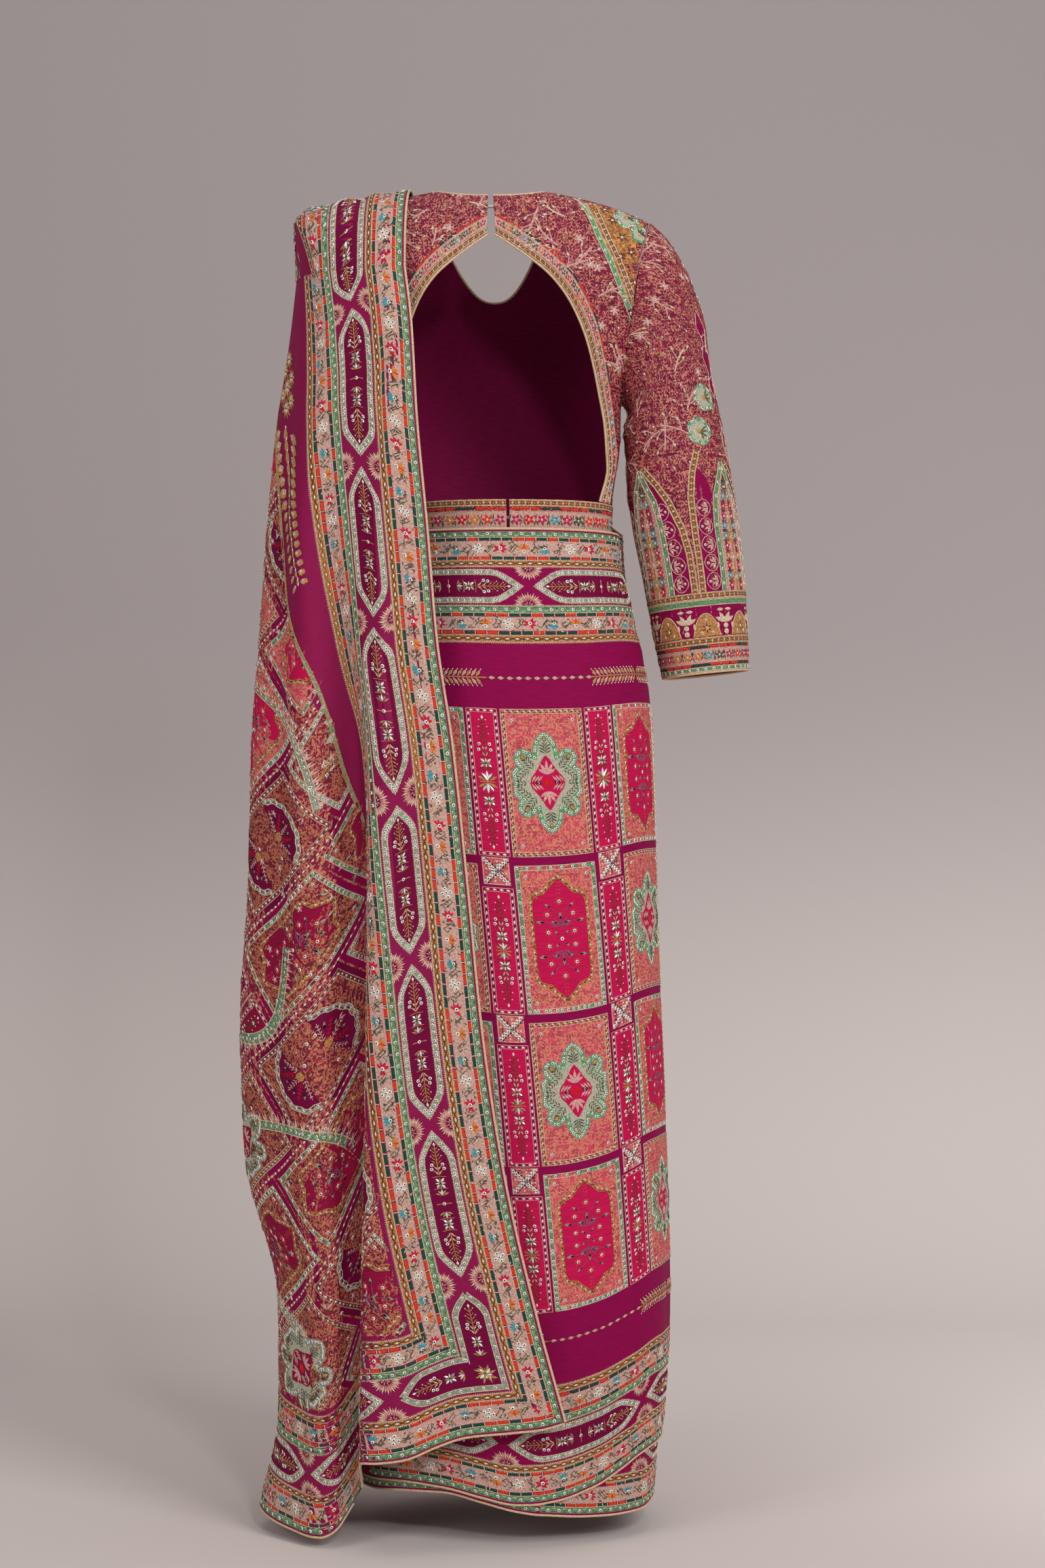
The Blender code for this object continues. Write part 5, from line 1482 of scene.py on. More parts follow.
def narrow_panel(height):
    work = Work()
    plate(work, NARROW, height, "pink")
    stone_frame(work, NARROW, height, 3.9, "plum", 7.2, 4.9)
    half = height / 2
    long = half * 0.50
    base = half - 13.0 - long
    for sy in (-1, 1):
        fern(work, 0, sy * (half - 11.5 - long), sy * 90, long, "brown", wide=8.0)
        for up in (base, base * 0.55, base * 0.52 - 1.6):
            work.line([(-7.5, sy * up), (0, sy * (up + 0.9)), (7.5, sy * up)], 0.8, "brown", 0.8, 0.3)
        four_petals(work, 0, sy * (base + base * 0.55) / 2, 5.6)
        lotus(work, 0, sy * 1.2, sy * 90, base * 0.42)
    work.line([(-8, 0), (8, 0)], 1.0, "gold", 0.9, 0.3)
    return work


def junction():
    work = Work()
    side = JUNCTION
    plate(work, side, side, "coral", 0.18)
    frame_band(work, rectangle(side, side), 1.6, "blush", 0.35, edges="blush", step=15)
    for k in range(-4, 5):
        for sign in (-1, 1):
            x, y = k * side * 0.098, sign * k * side * 0.098
            work.sequin(x, y, 2.1)
            work.dot(x + 1.9, y - 1.1 * sign, 1.1, "dark", 0.6, 1.5, sides=5)
            work.stone(x - 1.8, y + 1.4 * sign, 45 * sign, 3.0, 1.6)
    for angle in range(0, 360, 90):
        c, s = cos_sin(angle)
        for at in (6.8, 10.4):
            work.stone(c * at - s * 1.8, s * at + c * 1.8, angle + 35, 3.6, 1.7)
            work.stone(c * at + s * 2.2, s * at - c * 2.2, angle - 35, 3.2, 1.5, "silver")
    return work


def wheat_line(length, phase):
    """Chain of oval beads between pairs of ears; phase is the middle of one chain."""
    work = Work()
    period = 2 * COLUMN_PITCH
    for middle in np.arange(phase - math.ceil(phase / period) * period, length + period, period):
        for x in np.arange(middle - 54, middle + 54, 9.6):
            work.line([(x - 1.6, 0), (x + 2.4, 0)], 1.5, "brown", 0.7, 0.3)
            work.stone(x + 4.8, 0, 0, 8.4, 3.3, "blush")
        for side in (-1, 1):
            work.line([(middle + side * 54, 0), (middle + side * 126.5, 0)], 1.2, "gold", 0.8, 0.3)
            for k in range(13):
                x = middle + side * (66 + 5.0 * k)
                for sy in (-1, 1):
                    lean = sy * 128 if side > 0 else sy * 52
                    work.blade(x, sy * 0.3, lean, 9.8, 3.6, "blush" if k % 2 else "gold", 1.0)
                    work.dot(x + side * -6.0, sy * 8.2, 0.8, "white", 0.4, 1.2, sides=4)
    return work


def add_grid(work, first, last, panels):
    """Panels of the checkered grid whose columns lie between two places round the body."""
    start = math.floor((first - GRID_PHASE) / COLUMN_PITCH) - 1
    stop = math.ceil((last - GRID_PHASE) / COLUMN_PITCH) + 1
    for k in range(start, stop + 1):
        x = GRID_PHASE + k * COLUMN_PITCH
        for row in range(GRID_ROWS):
            top = GRID_TOP + row * ROW_PITCH
            if first - PANEL[0] / 2 < x < last + PANEL[0] / 2:
                work.stamp(panels["medallion" if (row + k) % 2 == 0 else "niche"], x, top + PANEL[1] / 2)
            x2 = x + COLUMN_PITCH / 2
            if not first - NARROW / 2 < x2 < last + NARROW / 2:
                continue
            if row:
                gap = ROW_PITCH - PANEL[1]
                work.stamp(panels["junction"], x2, top - gap + 1.5 + JUNCTION / 2)
                low = top - gap + 1.5 + JUNCTION + 3.0
                work.stamp(panels["short"], x2, (low + top + PANEL[1]) / 2)
            else:
                work.stamp(panels["tall"], x2, top + PANEL[1] / 2)


def make_panels(share=1.0):
    """The grid's panels, with all or a share of their beads."""
    gap = ROW_PITCH - PANEL[1]
    return {"medallion": medallion_panel(share), "niche": niche_panel(share), "junction": junction(),
            "tall": narrow_panel(PANEL[1]), "short": narrow_panel(PANEL[1] + gap - 4.5 - JUNCTION)}


PANELS = make_panels()
FRONT_PANELS = make_panels(0.3)    # the same with fewer beads, for the side that the photo doesn't show
SHEAR = 0.094              # how far the cloth's grain drifts to the right for each metre down
SKIRT_CREASES = (          # start turn and height, end turn and height, width, depth
    (-0.235, 1.01, -0.10, 0.985, 0.010, 0.0016), (-0.26, 0.955, -0.15, 0.945, 0.012, 0.0018),
    (-0.02, 0.60, 0.01, 0.16, 0.018, -0.0022), (-0.12, 0.70, -0.145, 0.12, 0.020, 0.0026),
    (-0.20, 0.80, -0.215, 0.20, 0.016, -0.0020), (0.06, 0.75, 0.08, 0.10, 0.022, 0.0026),
    (0.17, 0.90, 0.20, 0.12, 0.022, -0.0028), (0.29, 0.85, 0.30, 0.10, 0.022, 0.0030),
    (-0.05, 0.16, -0.03, 0.03, 0.012, 0.0024), (-0.16, 0.20, -0.15, 0.04, 0.012, -0.0022),
)
# The rows of panels as drawn, and where the cloth's stretch over the hips puts them
ROWS_DRAWN = (0.0, 0.157, 0.1917, 0.3565, 0.5213, 0.6861, 0.8411, 1.05)
ROWS_WORN = (0.0, 0.159, 0.1970, 0.3655, 0.5350, 0.6985, 0.8455, 1.05)


def crease(across, height, table, scale=1.0):
    """Soft ridges and troughs along short lines; scale turns the first coordinate into metres."""
    total = 0.0
    for x0, z0, x1, z1, width, depth in table:
        dx, dz = (x1 - x0) * scale, z1 - z0
        px, pz = (across - x0) * scale, height - z0
        along = np.clip((px * dx + pz * dz) / (dx * dx + dz * dz), -0.2, 1.2)
        away = np.hypot(px - along * dx, pz - along * dz)
        fade = ease((along + 0.2) * 3) * ease((1.2 - along) * 3)
        total = total + depth * fade * np.exp(-(away / width) ** 2)
    return total


def skirt_grid(turns, hem, top, lift, rows):
    share = np.linspace(0, 1, rows)[None, :] ** 1.2
    heights = top + share * (hem_height(hem, turns)[:, None] - top)
    lift = np.broadcast_to(lift, heights.shape) + crease(turns[:, None], heights, SKIRT_CREASES)
    return skirt_point(turns[:, None], heights, lift), heights


def skirt_chart(cloth, turns, heights, top, hem, arc=None):
    """Flat coordinates of the skirt: u runs to the right behind, v down from the waist edge."""
    arc = arc_along(cloth.grid) if arc is None else arc
    middle = np.array([np.interp(0.0, turns, arc[:, j]) for j in range(arc.shape[1])])
    drop = (top - heights) / (top - hem_height(hem, turns)[:, None])
    return cloth.chart(-(arc - middle) - SHEAR * (top - heights), drop * CLOTH_WIDTH)


def make_skirt():
    turns = np.linspace(FIRST_WRAP_START, FIRST_WRAP_START + FIRST_WRAP_TURNS, 140)
    top = WAIST_HEIGHT - FIRST_WRAP_DROP
    lift = -LAYER + WRAP_GROWTH * ((turns - FIRST_WRAP_START) - 0.5)
    grid, heights = skirt_grid(turns, "first_wrap", top, lift[:, None], 38)
    cloth = Cloth(grid)
    chart = skirt_chart(cloth, turns, heights, top, "first_wrap")
    dress("cloth_first_wrap", chart, "saree", ["saree_first_wrap"])
    width = float(-chart.u.min() + chart.u.max()) / MM
    shift = chart.u.min() / MM
    work = border(width, 40, 21)
    work = work.kept(lambda x, y: (y < 30) | ((y < 84) & (x + shift > 15) & (x + shift < 290)))
    add_work("work_first_hem", chart, work, "saree", lambda x, y: (x + chart.u.min(), CLOTH_WIDTH - y))
    edge_piping("piping_inner_hem", grid[:, -1], DOWN)

    turns = np.linspace(SIDE_SEAM, PLEATS_LEFT, 120)
    grid, heights = skirt_grid(turns, "second_wrap", WAIST_HEIGHT, 0.0, 62)
    cloth = Cloth(grid)
    chart = skirt_chart(cloth, turns, heights, WAIST_HEIGHT, "second_wrap")
    dress("cloth_second_wrap", chart, "saree", ["saree_second_wrap"])
    low, high = chart.u.min() / MM, chart.u.max() / MM
    # behind the hanging end the cloth stays plain
    covered = np.interp((0.30, 0.15, 0.24), turns, chart.u[:, 30]) / MM
    phase = GRID_PHASE - 7.0
    first_tip = (phase + 6 - low) % BORDER_PITCH - BORDER_PITCH

    work = border(high - low, first_tip, 3)
    work = work.kept(lambda x, y: (x + low < covered[0]) | (x + low > covered[1]))
    add_work("work_waist_border", chart, work, "saree", from_start(low))
    work = border(high - low, first_tip + 60, 4)
    work = work.kept(lambda x, y: (x + low < covered[0]) | (x + low > covered[2]))
    add_work("work_hem_border", chart, work, "saree", from_start(low, CLOTH_WIDTH))
    work = Work()
    add_grid(work, low, high, PANELS)
    for y in (161.0, GRID_TOP + GRID_ROWS * ROW_PITCH + 22):
        work.stamp(wheat_line(high - low, GRID_PHASE - low), low, y)
    work = work.kept(lambda x, y: (x < covered[0]) | (x > covered[1]))
    add_work("work_skirt_panels", chart, work, "saree", lambda x, y: (x, np.interp(y, ROWS_DRAWN, ROWS_WORN)))
    edge_piping("piping_hem", grid[:, -1], DOWN, ["binding_hem"])
    edge_piping("piping_waist", grid[:, 0], UP, ["binding_waist"])


PIPING = (0.0014, 6)       # radius and sides of the cord on an edge
UP, DOWN = (0, 0, 1), (0, 0, -1)


def edge_piping(name, points, away, nodes=(), slot="binding"):
    """Round cord along an edge, a little outside it."""
    away = np.broadcast_to(np.asarray(away, float), points.shape)
    along = unit(np.gradient(points, axis=0))
    away = unit(away - along * np.sum(away * along, axis=-1, keepdims=True))
    side = np.cross(along, away)
    radius, sides = PIPING
    centre = points + away * radius * 0.9
    angle = np.linspace(0, 2 * math.pi, sides, endpoint=False)
    ring = centre[:, None] + radius * (np.cos(angle)[None, :, None] * away[:, None]
                                       + np.sin(angle)[None, :, None] * side[:, None])
    rows = len(ring)
    length = arc_along(points[:, None])[:, 0]
    verts = np.concatenate([ring.reshape(-1, 3), centre[:1], centre[-1:]])
    uv = np.stack([np.repeat(length, sides), np.tile(angle * radius, rows)], 1)
    uv = np.concatenate([uv, uv[:1], uv[-1:]])
    n = np.arange(rows * sides).reshape(rows, sides)
    m = np.roll(n, -1, axis=1)
    quads = np.stack([n[:-1], m[:-1], m[1:], n[1:]], -1).reshape(-1, 4)
    tris = np.concatenate([quads[:, [0, 1, 2]], quads[:, [0, 2, 3]],
                           np.stack([m[0], n[0], np.full(sides, rows * sides)], 1),
                           np.stack([n[-1], m[-1], np.full(sides, rows * sides + 1)], 1)])
    face = verts[tris[0]]
    if np.dot(np.cross(face[1] - face[0], face[2] - face[0]), face.mean(axis=0) - centre[0]) < 0:
        tris = tris[:, ::-1]
    keep(mesh_object(name, verts, tris, [CLOTHS["piping"]], None, uv, 60), slot, nodes)


def keep(made, slot, nodes=()):
    """Tie a piece to the frame and hide the nodes it stands for; slot is not used."""
    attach(made, "root")
    if nodes:
        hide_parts(*nodes)


def dress(name, chart, slot, nodes):
    """Shell of a stretch of cloth, which has a flat size and stands for some nodes."""
    made = shell(name, chart, CLOTHS[slot], CLOTHS["inside"])
    keep(made, slot, nodes)


def from_start(low, hem=None):
    """Place function that starts a drawing at a distance in millimetres, and measures it up from a hem."""
    return lambda x, y: (x + low * MM, y if hem is None else hem - y)


def add_work(name, chart, work, slot, place=None):
    keep(embroider(name, chart, work, place), slot)


IN_FRONT_OF_BACK = (0.01, -0.10, 0)
BEHIND_FRONT = (0.01, 0.10, 0)
IN_THE_ARM = (0.10, 0, 0)
HANG_ROWS = 78

# Small creases of the hanging cloth: start station and height, end station and height, width, depth
HANG_CREASES = (
    (0.25, 1.33, 0.9, 1.24, 0.020, 0.0016), (1.1, 1.34, 1.5, 1.15, 0.018, -0.0018),
    (0.5, 1.05, 0.8, 0.72, 0.016, 0.0016), (1.45, 0.98, 1.35, 0.45, 0.016, -0.0016),
    (0.7, 0.55, 1.1, 0.20, 0.018, 0.0018), (3.3, 1.30, 3.6, 0.85, 0.020, 0.0026),
    (4.5, 1.33, 4.7, 1.02, 0.018, -0.0026), (4.9, 0.98, 5.0, 0.30, 0.022, 0.0030),
    (5.6, 1.28, 5.8, 0.60, 0.020, 0.0024), (6.1, 1.20, 6.4, 0.25, 0.020, -0.0026),
    (4.1, 0.75, 4.3, 0.10, 0.018, 0.0024), (3.5, 0.60, 3.4, 0.12, 0.016, -0.0020),
)
FRONT_CREASES = (          # the same across the front: station and share of the way down
    (7.6, 0.30, 10.5, 0.36, 0.16, 0.0028), (8.3, 0.62, 11.6, 0.66, 0.18, -0.0030),
    (7.8, 0.10, 9.8, 0.12, 0.14, 0.0022), (9.2, 0.88, 12.0, 0.90, 0.16, 0.0030),
    (8.8, 0.48, 12.3, 0.50, 0.12, 0.0022),
)


def stretch(stations, edges, shares):
    stations = stations[:, None]
    top = edges("top", stations)
    bottom = edges("bottom", stations)
    return mantle_point(stations, top + shares[None, :] * (bottom - top))


def mantle_grids():
    """Fine grids and normals of the hanging cloth, the front drape and the shoulder."""
    seam_share = (CAP_LEVEL - FRONT_EDGES.rows[0][2]) / (CAP_LEVEL - PALLU_HEM.rows[-1][2])
    rows = np.linspace(0, 1, HANG_ROWS)
    arm = np.concatenate([np.linspace(0, 1.7, 24), np.linspace(1.76, 2.3, 16), np.linspace(2.36, 4, 26)[:-1],
                          np.linspace(4, 7, 49)])
    front = np.concatenate([np.linspace(7, 8, 17), np.linspace(8, 13, 81)[1:]])
    pallu = stretch(arm, PALLU_HEM, rows)
    shares = np.linspace(0, 1, 56)
    drape = stretch(front, FRONT_EDGES, shares)
    out = outward(pallu, grid_normals(pallu), IN_THE_ARM)
    height = pallu[..., 2] + WAIST_HEIGHT
    soft = crease(arm[:, None], height, HANG_CREASES, 0.085) * ease((1.33 - height) * 12)
    soft = soft * ease((ARM_FRONT - arm[:, None]) * 3)
    pallu = pallu + out * (pallu_push(arm[:, None], pallu) + soft)[..., None]
    pallu_out = outward(pallu, grid_normals(pallu), IN_THE_ARM)
    out = outward(drape, grid_normals(drape), MIDDLE)
    soft = crease(front[:, None] * 0.55, shares[None, :] * 4, [(a * 0.55, b * 4, c * 0.55, d * 4, w, h)
                                                              for a, b, c, d, w, h in FRONT_CREASES])
    soft = (soft * ease((front[:, None] - 7) * 1.5) * ease((13 - front[:, None]) * 1.2)
            * ease(shares[None, :] * 12))
    drape = drape + out * (front_push(front, shares) + soft)[..., None]
    drape_out = outward(drape, grid_normals(drape), MIDDLE)
    # the two meet on one line at the front of the arm
    height = pallu[-1, :, 2]
    meet = np.stack([np.interp(-drape[0, :, 2], -height, pallu_out[-1, :, k]) for k in range(3)], axis=1)
    drape_out[0] = unit(meet + drape_out[0])
    for k in range(3):
        seam = np.interp(-height, -drape[0, :, 2], drape_out[0, :, k])
        pallu_out[-1, :, k] = np.where(rows <= seam_share, seam, pallu_out[-1, :, k])
    pallu_out[-1] = unit(pallu_out[-1])
    for normals in (pallu_out, drape_out):
        normals[:, 0, 2] = 0
    top = {}
    for key, stations, points, normals in (("hang", arm, pallu, pallu_out),
                                           ("front", front, drape, drape_out)):
        top[key] = (stations, points[:, 0], unit(normals[:, 0]))

    def level(station):
        stations, points, normals = top["hang" if station <= 7 else "front"]
        return (np.array([np.interp(station, stations, points[:, k]) for k in range(3)]),
                unit(np.array([np.interp(station, stations, normals[:, k]) for k in range(3)])))
    across, along = 34, 32
    run = np.concatenate([np.interp(np.linspace(0, 1, across + 1), CAP_SHARES, CAP_BACK),
                          np.interp(np.linspace(0, 1, along + 1)[1:-1], (0, 1), (4, 6)),
                          np.interp(np.linspace(1, 0, across + 1), CAP_SHARES, CAP_FRONT)])
    found = [level(s) for s in run]
    cap, cap_out = shoulder_cap(np.array([p for p, n in found]), np.array([n for p, n in found]), across,
                                along)
    return arm, (pallu, pallu_out), (drape, drape_out), (cap, cap_out)


# Where the lines across the shoulder start behind and end in front, by their share of the way
CAP_SHARES = (0.0, 0.1, 0.2, 0.3, 0.4, 0.5, 0.6, 0.7, 0.8, 0.9, 1.0)
CAP_BACK = (0, 0.5, 1, 1.5, 1.85, 2.15, 2.5, 3, 3.33, 3.67, 4)
CAP_FRONT = (8, 7.83, 7.67, 7.5, 7.33, 7.17, 7, 6.75, 6.5, 6.25, 6)


def shoulder_cap(level, level_out, across, along):
    """Cloth over the shoulder and its normals, fitted to the mantle's points at the cap's level."""
    last = len(level) - 1
    grid = np.empty((across + 1, along + 1, 3))
    t = np.linspace(0, 1, along + 1)[:, None]
    for i in range(across + 1):
        share = i / across
        start, end = level[i], level[last - i]
        line = start + (end - start) * (1 - np.cos(math.pi * t)) / 2
        ridge = CAP_RIDGE_INNER + (CAP_RIDGE_OUTER - CAP_RIDGE_INNER) * share - CAP_LEVEL
        rise = ridge * (1 - share ** CAP_SQUARE) ** (1 / CAP_SQUARE)
        line[:, 0] += CAP_BULGE * share ** 2 * np.sin(math.pi * t[:, 0])
        line[:, 2] += rise * np.sin(math.pi * t[:, 0]) ** 0.8
        line[:, 2] += (0.0018 * np.sin(share * 23 + 0.6) * np.sin(math.pi * t[:, 0])
                       * ease(share * 6) * ease((1 - share) * 6))
        grid[i] = line
    grid[across] = level[across:across + along + 1]
    normals = grid_normals(grid)
    normals = normals if normals[..., 2].sum() > 0 else -normals
    for index, run in ((np.s_[:, 0], np.s_[:across + 1]),
                       (np.s_[:, -1], np.s_[last - across:last + 1]),
                       (np.s_[across], np.s_[across:across + along + 1])):
        back = index == np.s_[:, -1]
        grid[index] = level[run][::-1] if back else level[run]
        normals[index] = level_out[run][::-1] if back else level_out[run]
    return grid, normals


PALLU_TILT = 0.956         # how much the threads' slant shortens the hanging cloth's width
# How far each repeat of the hanging edge's border is shifted, by its place, in millimetres
REPEAT_SHIFTS = ((0, 155, 330, 500, 670, 830, 1000, 1160, 1400), (0, -5, -11, -3, 1, 25, 27, 44, 50))


def make_mantle():
    arm, (pallu, pallu_out), (drape, drape_out), (cap, cap_out) = mantle_grids()
    # flat coordinates of the hanging cloth: u from its inner edge, v up from its end
    bottom = pallu[:, -1:, 2]
    u = arc_along(pallu, 0) * PALLU_TILT
    v = pallu[..., 2] - bottom
    chart = Cloth(pallu, pallu_out).chart(u, v)
    valley = int(np.argmin(np.abs(arm - VALLEY_STATION)))
    for name, nodes, part, flat in (("cloth_pallu_back", ["pallu_back"], slice(0, valley + 1), (0.29, 1.26)),
                                    ("cloth_pallu_fall", ["pallu_fall"], slice(valley, None), (0.40, 1.34))):
        piece = Cloth(pallu[part], pallu_out[part]).chart(u[part], v[part])
        dress(name, piece, "pallu", nodes)

    # over the shoulder the chart goes on from the top of the hanging cloth
    over = arc_along(cap, 1)
    starts = np.interp(np.linspace(0, 1, len(cap)), CAP_SHARES, CAP_BACK)
    start_u, start_v = (np.interp(starts, arm, values[:, 0]) for values in (u, v))
    cap_u = arc_along(cap, 0) * PALLU_TILT
    cap_chart = Cloth(cap, cap_out).chart(cap_u + (start_u - cap_u[:, 0])[:, None], start_v[:, None] + over)
    dress("cloth_shoulder", cap_chart, "pallu", ["pallu_shoulder"])

    width = float(u.max()) / MM
    length = float(v[0, 0] + over[0, -1]) / MM
    side = side_border(length, 31)
    end = side_border(width, 32)

    heights, lean = border_lean(pallu, u, v)

    def up_edge(x, y):
        """The repeats' own uneven lengths along the hanging edge, square to it."""
        up = x + MM * np.interp(x / MM, *REPEAT_SHIFTS)
        return y, up - (y - CARTOUCHE_MIDDLE * MM) * np.interp(up, heights, lean)
    add_work("work_pallu_edge", chart, side, "pallu", up_edge)
    add_work("work_shoulder_edge", cap_chart, side, "pallu", up_edge)
    add_work("work_pallu_end", chart, end, "pallu")
    field = field_pattern(width, length)
    add_work("work_pallu_field", chart, field, "pallu")
    low_v = float(start_v.min()) / MM - 30
    add_work("work_shoulder_field", cap_chart, field.kept(lambda x, y: y > low_v), "pallu")

    # front drape: one flat chart from its upper edge, with the other border on its lower edge
    down = arc_along(drape, 1)
    run_length = arc_along(drape, 0).mean(axis=1)
    front_u = -np.broadcast_to(run_length[:, None], down.shape)
    front_v = down / down[:, -1:] * CLOTH_WIDTH
    front_chart = Cloth(drape, drape_out).chart(front_u, front_v)
    dress("cloth_front", front_chart, "saree", ["saree_front"])
    near = Cloth(drape, drape_out).chart(front_u, down)
    far = Cloth(drape, drape_out).chart(front_u, down[:, -1:] - down)
    low = float(front_u.min()) / MM
    add_work("work_front_upper", near, border(-low, -40, 5, fine=False), "saree", from_start(low))
    add_work("work_front_lower", far, border(-low, -90, 6, fine=False), "saree", from_start(low))
    work = Work()
    add_grid(work, low, 0, FRONT_PANELS)
    add_work("work_front_panels", front_chart, above_lower_border(work, front_chart, down), "saree")

    edge_piping("piping_pallu_edge", pallu[0], pallu[0] - pallu[1], ["binding_pallu_edge"])
    edge_piping("piping_shoulder", cap[0], cap[0] - cap[1], ["binding_shoulder_edge"])
    edge_piping("piping_pallu_end", pallu[:valley - 2, -1], DOWN, ["binding_pallu_end"])
    edge_piping("piping_fall_end", pallu[valley + 3:, -1], DOWN, ["binding_fall_end"])
    edge_piping("piping_front_upper", drape[:, 0], drape[:, 0] - drape[:, 1])
    edge_piping("piping_front_lower", drape[:, -1], drape[:, -1] - drape[:, -2])


def border_lean(grid, u, v):
    """How far the lines across the border slope on the cloth, by their height."""
    found = []
    for place in (0.02, 0.11):
        at = [np.array([np.interp(place, u[:, j], values[:, j]) for j in range(u.shape[1])])
              for values in (*np.moveaxis(grid, -1, 0), v)]
        found.append((np.stack(at[:3], -1), at[3]))
    (first, v0), (second, v1) = found
    along = np.gradient((first + second) / 2, axis=0) / np.gradient((v0 + v1) / 2)[:, None]
    across = (second - first - along * (v1 - v0)[:, None]) / 0.09
    lean = np.sum(across * along, axis=1) / np.sum(along * along, axis=1)
    lean = np.convolve(np.pad(lean, 4, mode="edge"), np.full(9, 1 / 9), mode="valid")
    order = np.argsort(v0)
    # near the corner the two arms meet at their mitre, so the lean fades out there
    return v0[order], lean[order] * ease((v0[order] - 0.16) / 0.12)


BORDER_ROOM = 0.134        # between an edge and the first grid line, in metres


def above_lower_border(work, chart, down):
    """The part of the grid that leaves room for the borders where the drape is drawn together."""
    order = np.argsort(chart.u[:, 0])

    def fits(x, y):
        whole = np.interp(x * MM, chart.u[order, 0], down[order, -1])
        place = y * MM * whole / CLOTH_WIDTH
        return (place > BORDER_ROOM) & (place < whole - BORDER_ROOM)
    return work.kept(fits)


CORNER_TIP = 155.0


def corner_arm():
    """Half of the bent panel at the corner, cut at 45 degrees where it meets its other half."""
    part = Work()
    xs = np.linspace(40, 153, 26)
    half = np.interp(xs, (40, 129, 136, 143, 150, 155), (18.4, 18.4, 16.0, 11.0, 4.0, 0))
    part.between(np.c_[xs, 63 - half + 1.5], np.c_[xs, 63 + half - 1.5], "plum", 0.18, steps=4, edge=0.1)
    for sign in (-1, 1):
        outer = np.c_[xs, 63 + sign * half]
        inner = np.c_[xs - (xs > 129) * 3.0, 63 + sign * np.maximum(half - CARTOUCHE_BAND, 0)]
        part.between(outer, inner, "sage", 0.4, steps=1, edge=0.4)
        for path in (outer, inner):
            part.line(path, 0.9, "cream", 0.8, 0.4)
        for x, y, _ in follow((outer + inner) / 2, 12.0):
            part.sequin(x, y, 1.8)
    fern(part, 108, 63, 0, 28, wide=8.0)
    four_petals(part, 99, 63, 5.6)
    lotus(part, 84, 63, 0, 7.2)
    part.petals(63, 63, 8, 12.0, 2.6, "gold", 22.5, 0.8)
    four_petals(part, 63, 63, 6.8)
    return part.kept(lambda x, y: x >= y)


def side_border(length, seed):
    """Border of the hanging cloth from its corner, mitred there."""
    work = border_bands(length, seed)
    half = BORDER_PITCH / 2
    for x in np.arange(CORNER_TIP + 9 + half, length + half, BORDER_PITCH):
        cartouche(work, x)
        rosette_pair(work, x - half)
    work.stamp(corner_arm())
    return work.kept(lambda x, y: x >= y - 0.4)


FIELD_START = (131.0, 215.0)   # width of the border, and of the border with the plain strip beside it
FIELD_TURN = 52
FIELD_PITCH = (101.0, 170.0)
FIELD_CURVES = (           # where a curved strip starts, where it ends, how far it bows, its width
    (180, 330, 330, 420, 46, 9), (250, 620, 410, 520, -60, 11), (190, 760, 320, 900, 52, 8),
    (400, 300, 560, 420, 56, 9), (470, 700, 600, 880, -52, 11), (230, 1010, 400, 960, 48, 9),
    (380, 1120, 560, 1190, -50, 9), (560, 980, 700, 1060, 44, 8), (300, 200, 470, 170, 40, 10),
    (620, 520, 760, 600, -46, 9), (700, 240, 820, 340, 44, 9), (190, 1200, 300, 1290, 40, 9),
)


def field_edge(y):
    """Where the field starts beside the plain strip, which widens upwards."""
    share = np.clip((y - 450) / 750, 0, 1) ** 1.6
    return FIELD_START[0] + (FIELD_START[1] - FIELD_START[0]) * share + 5 * (np.sin(y / 38) - 1) * (y > 300)


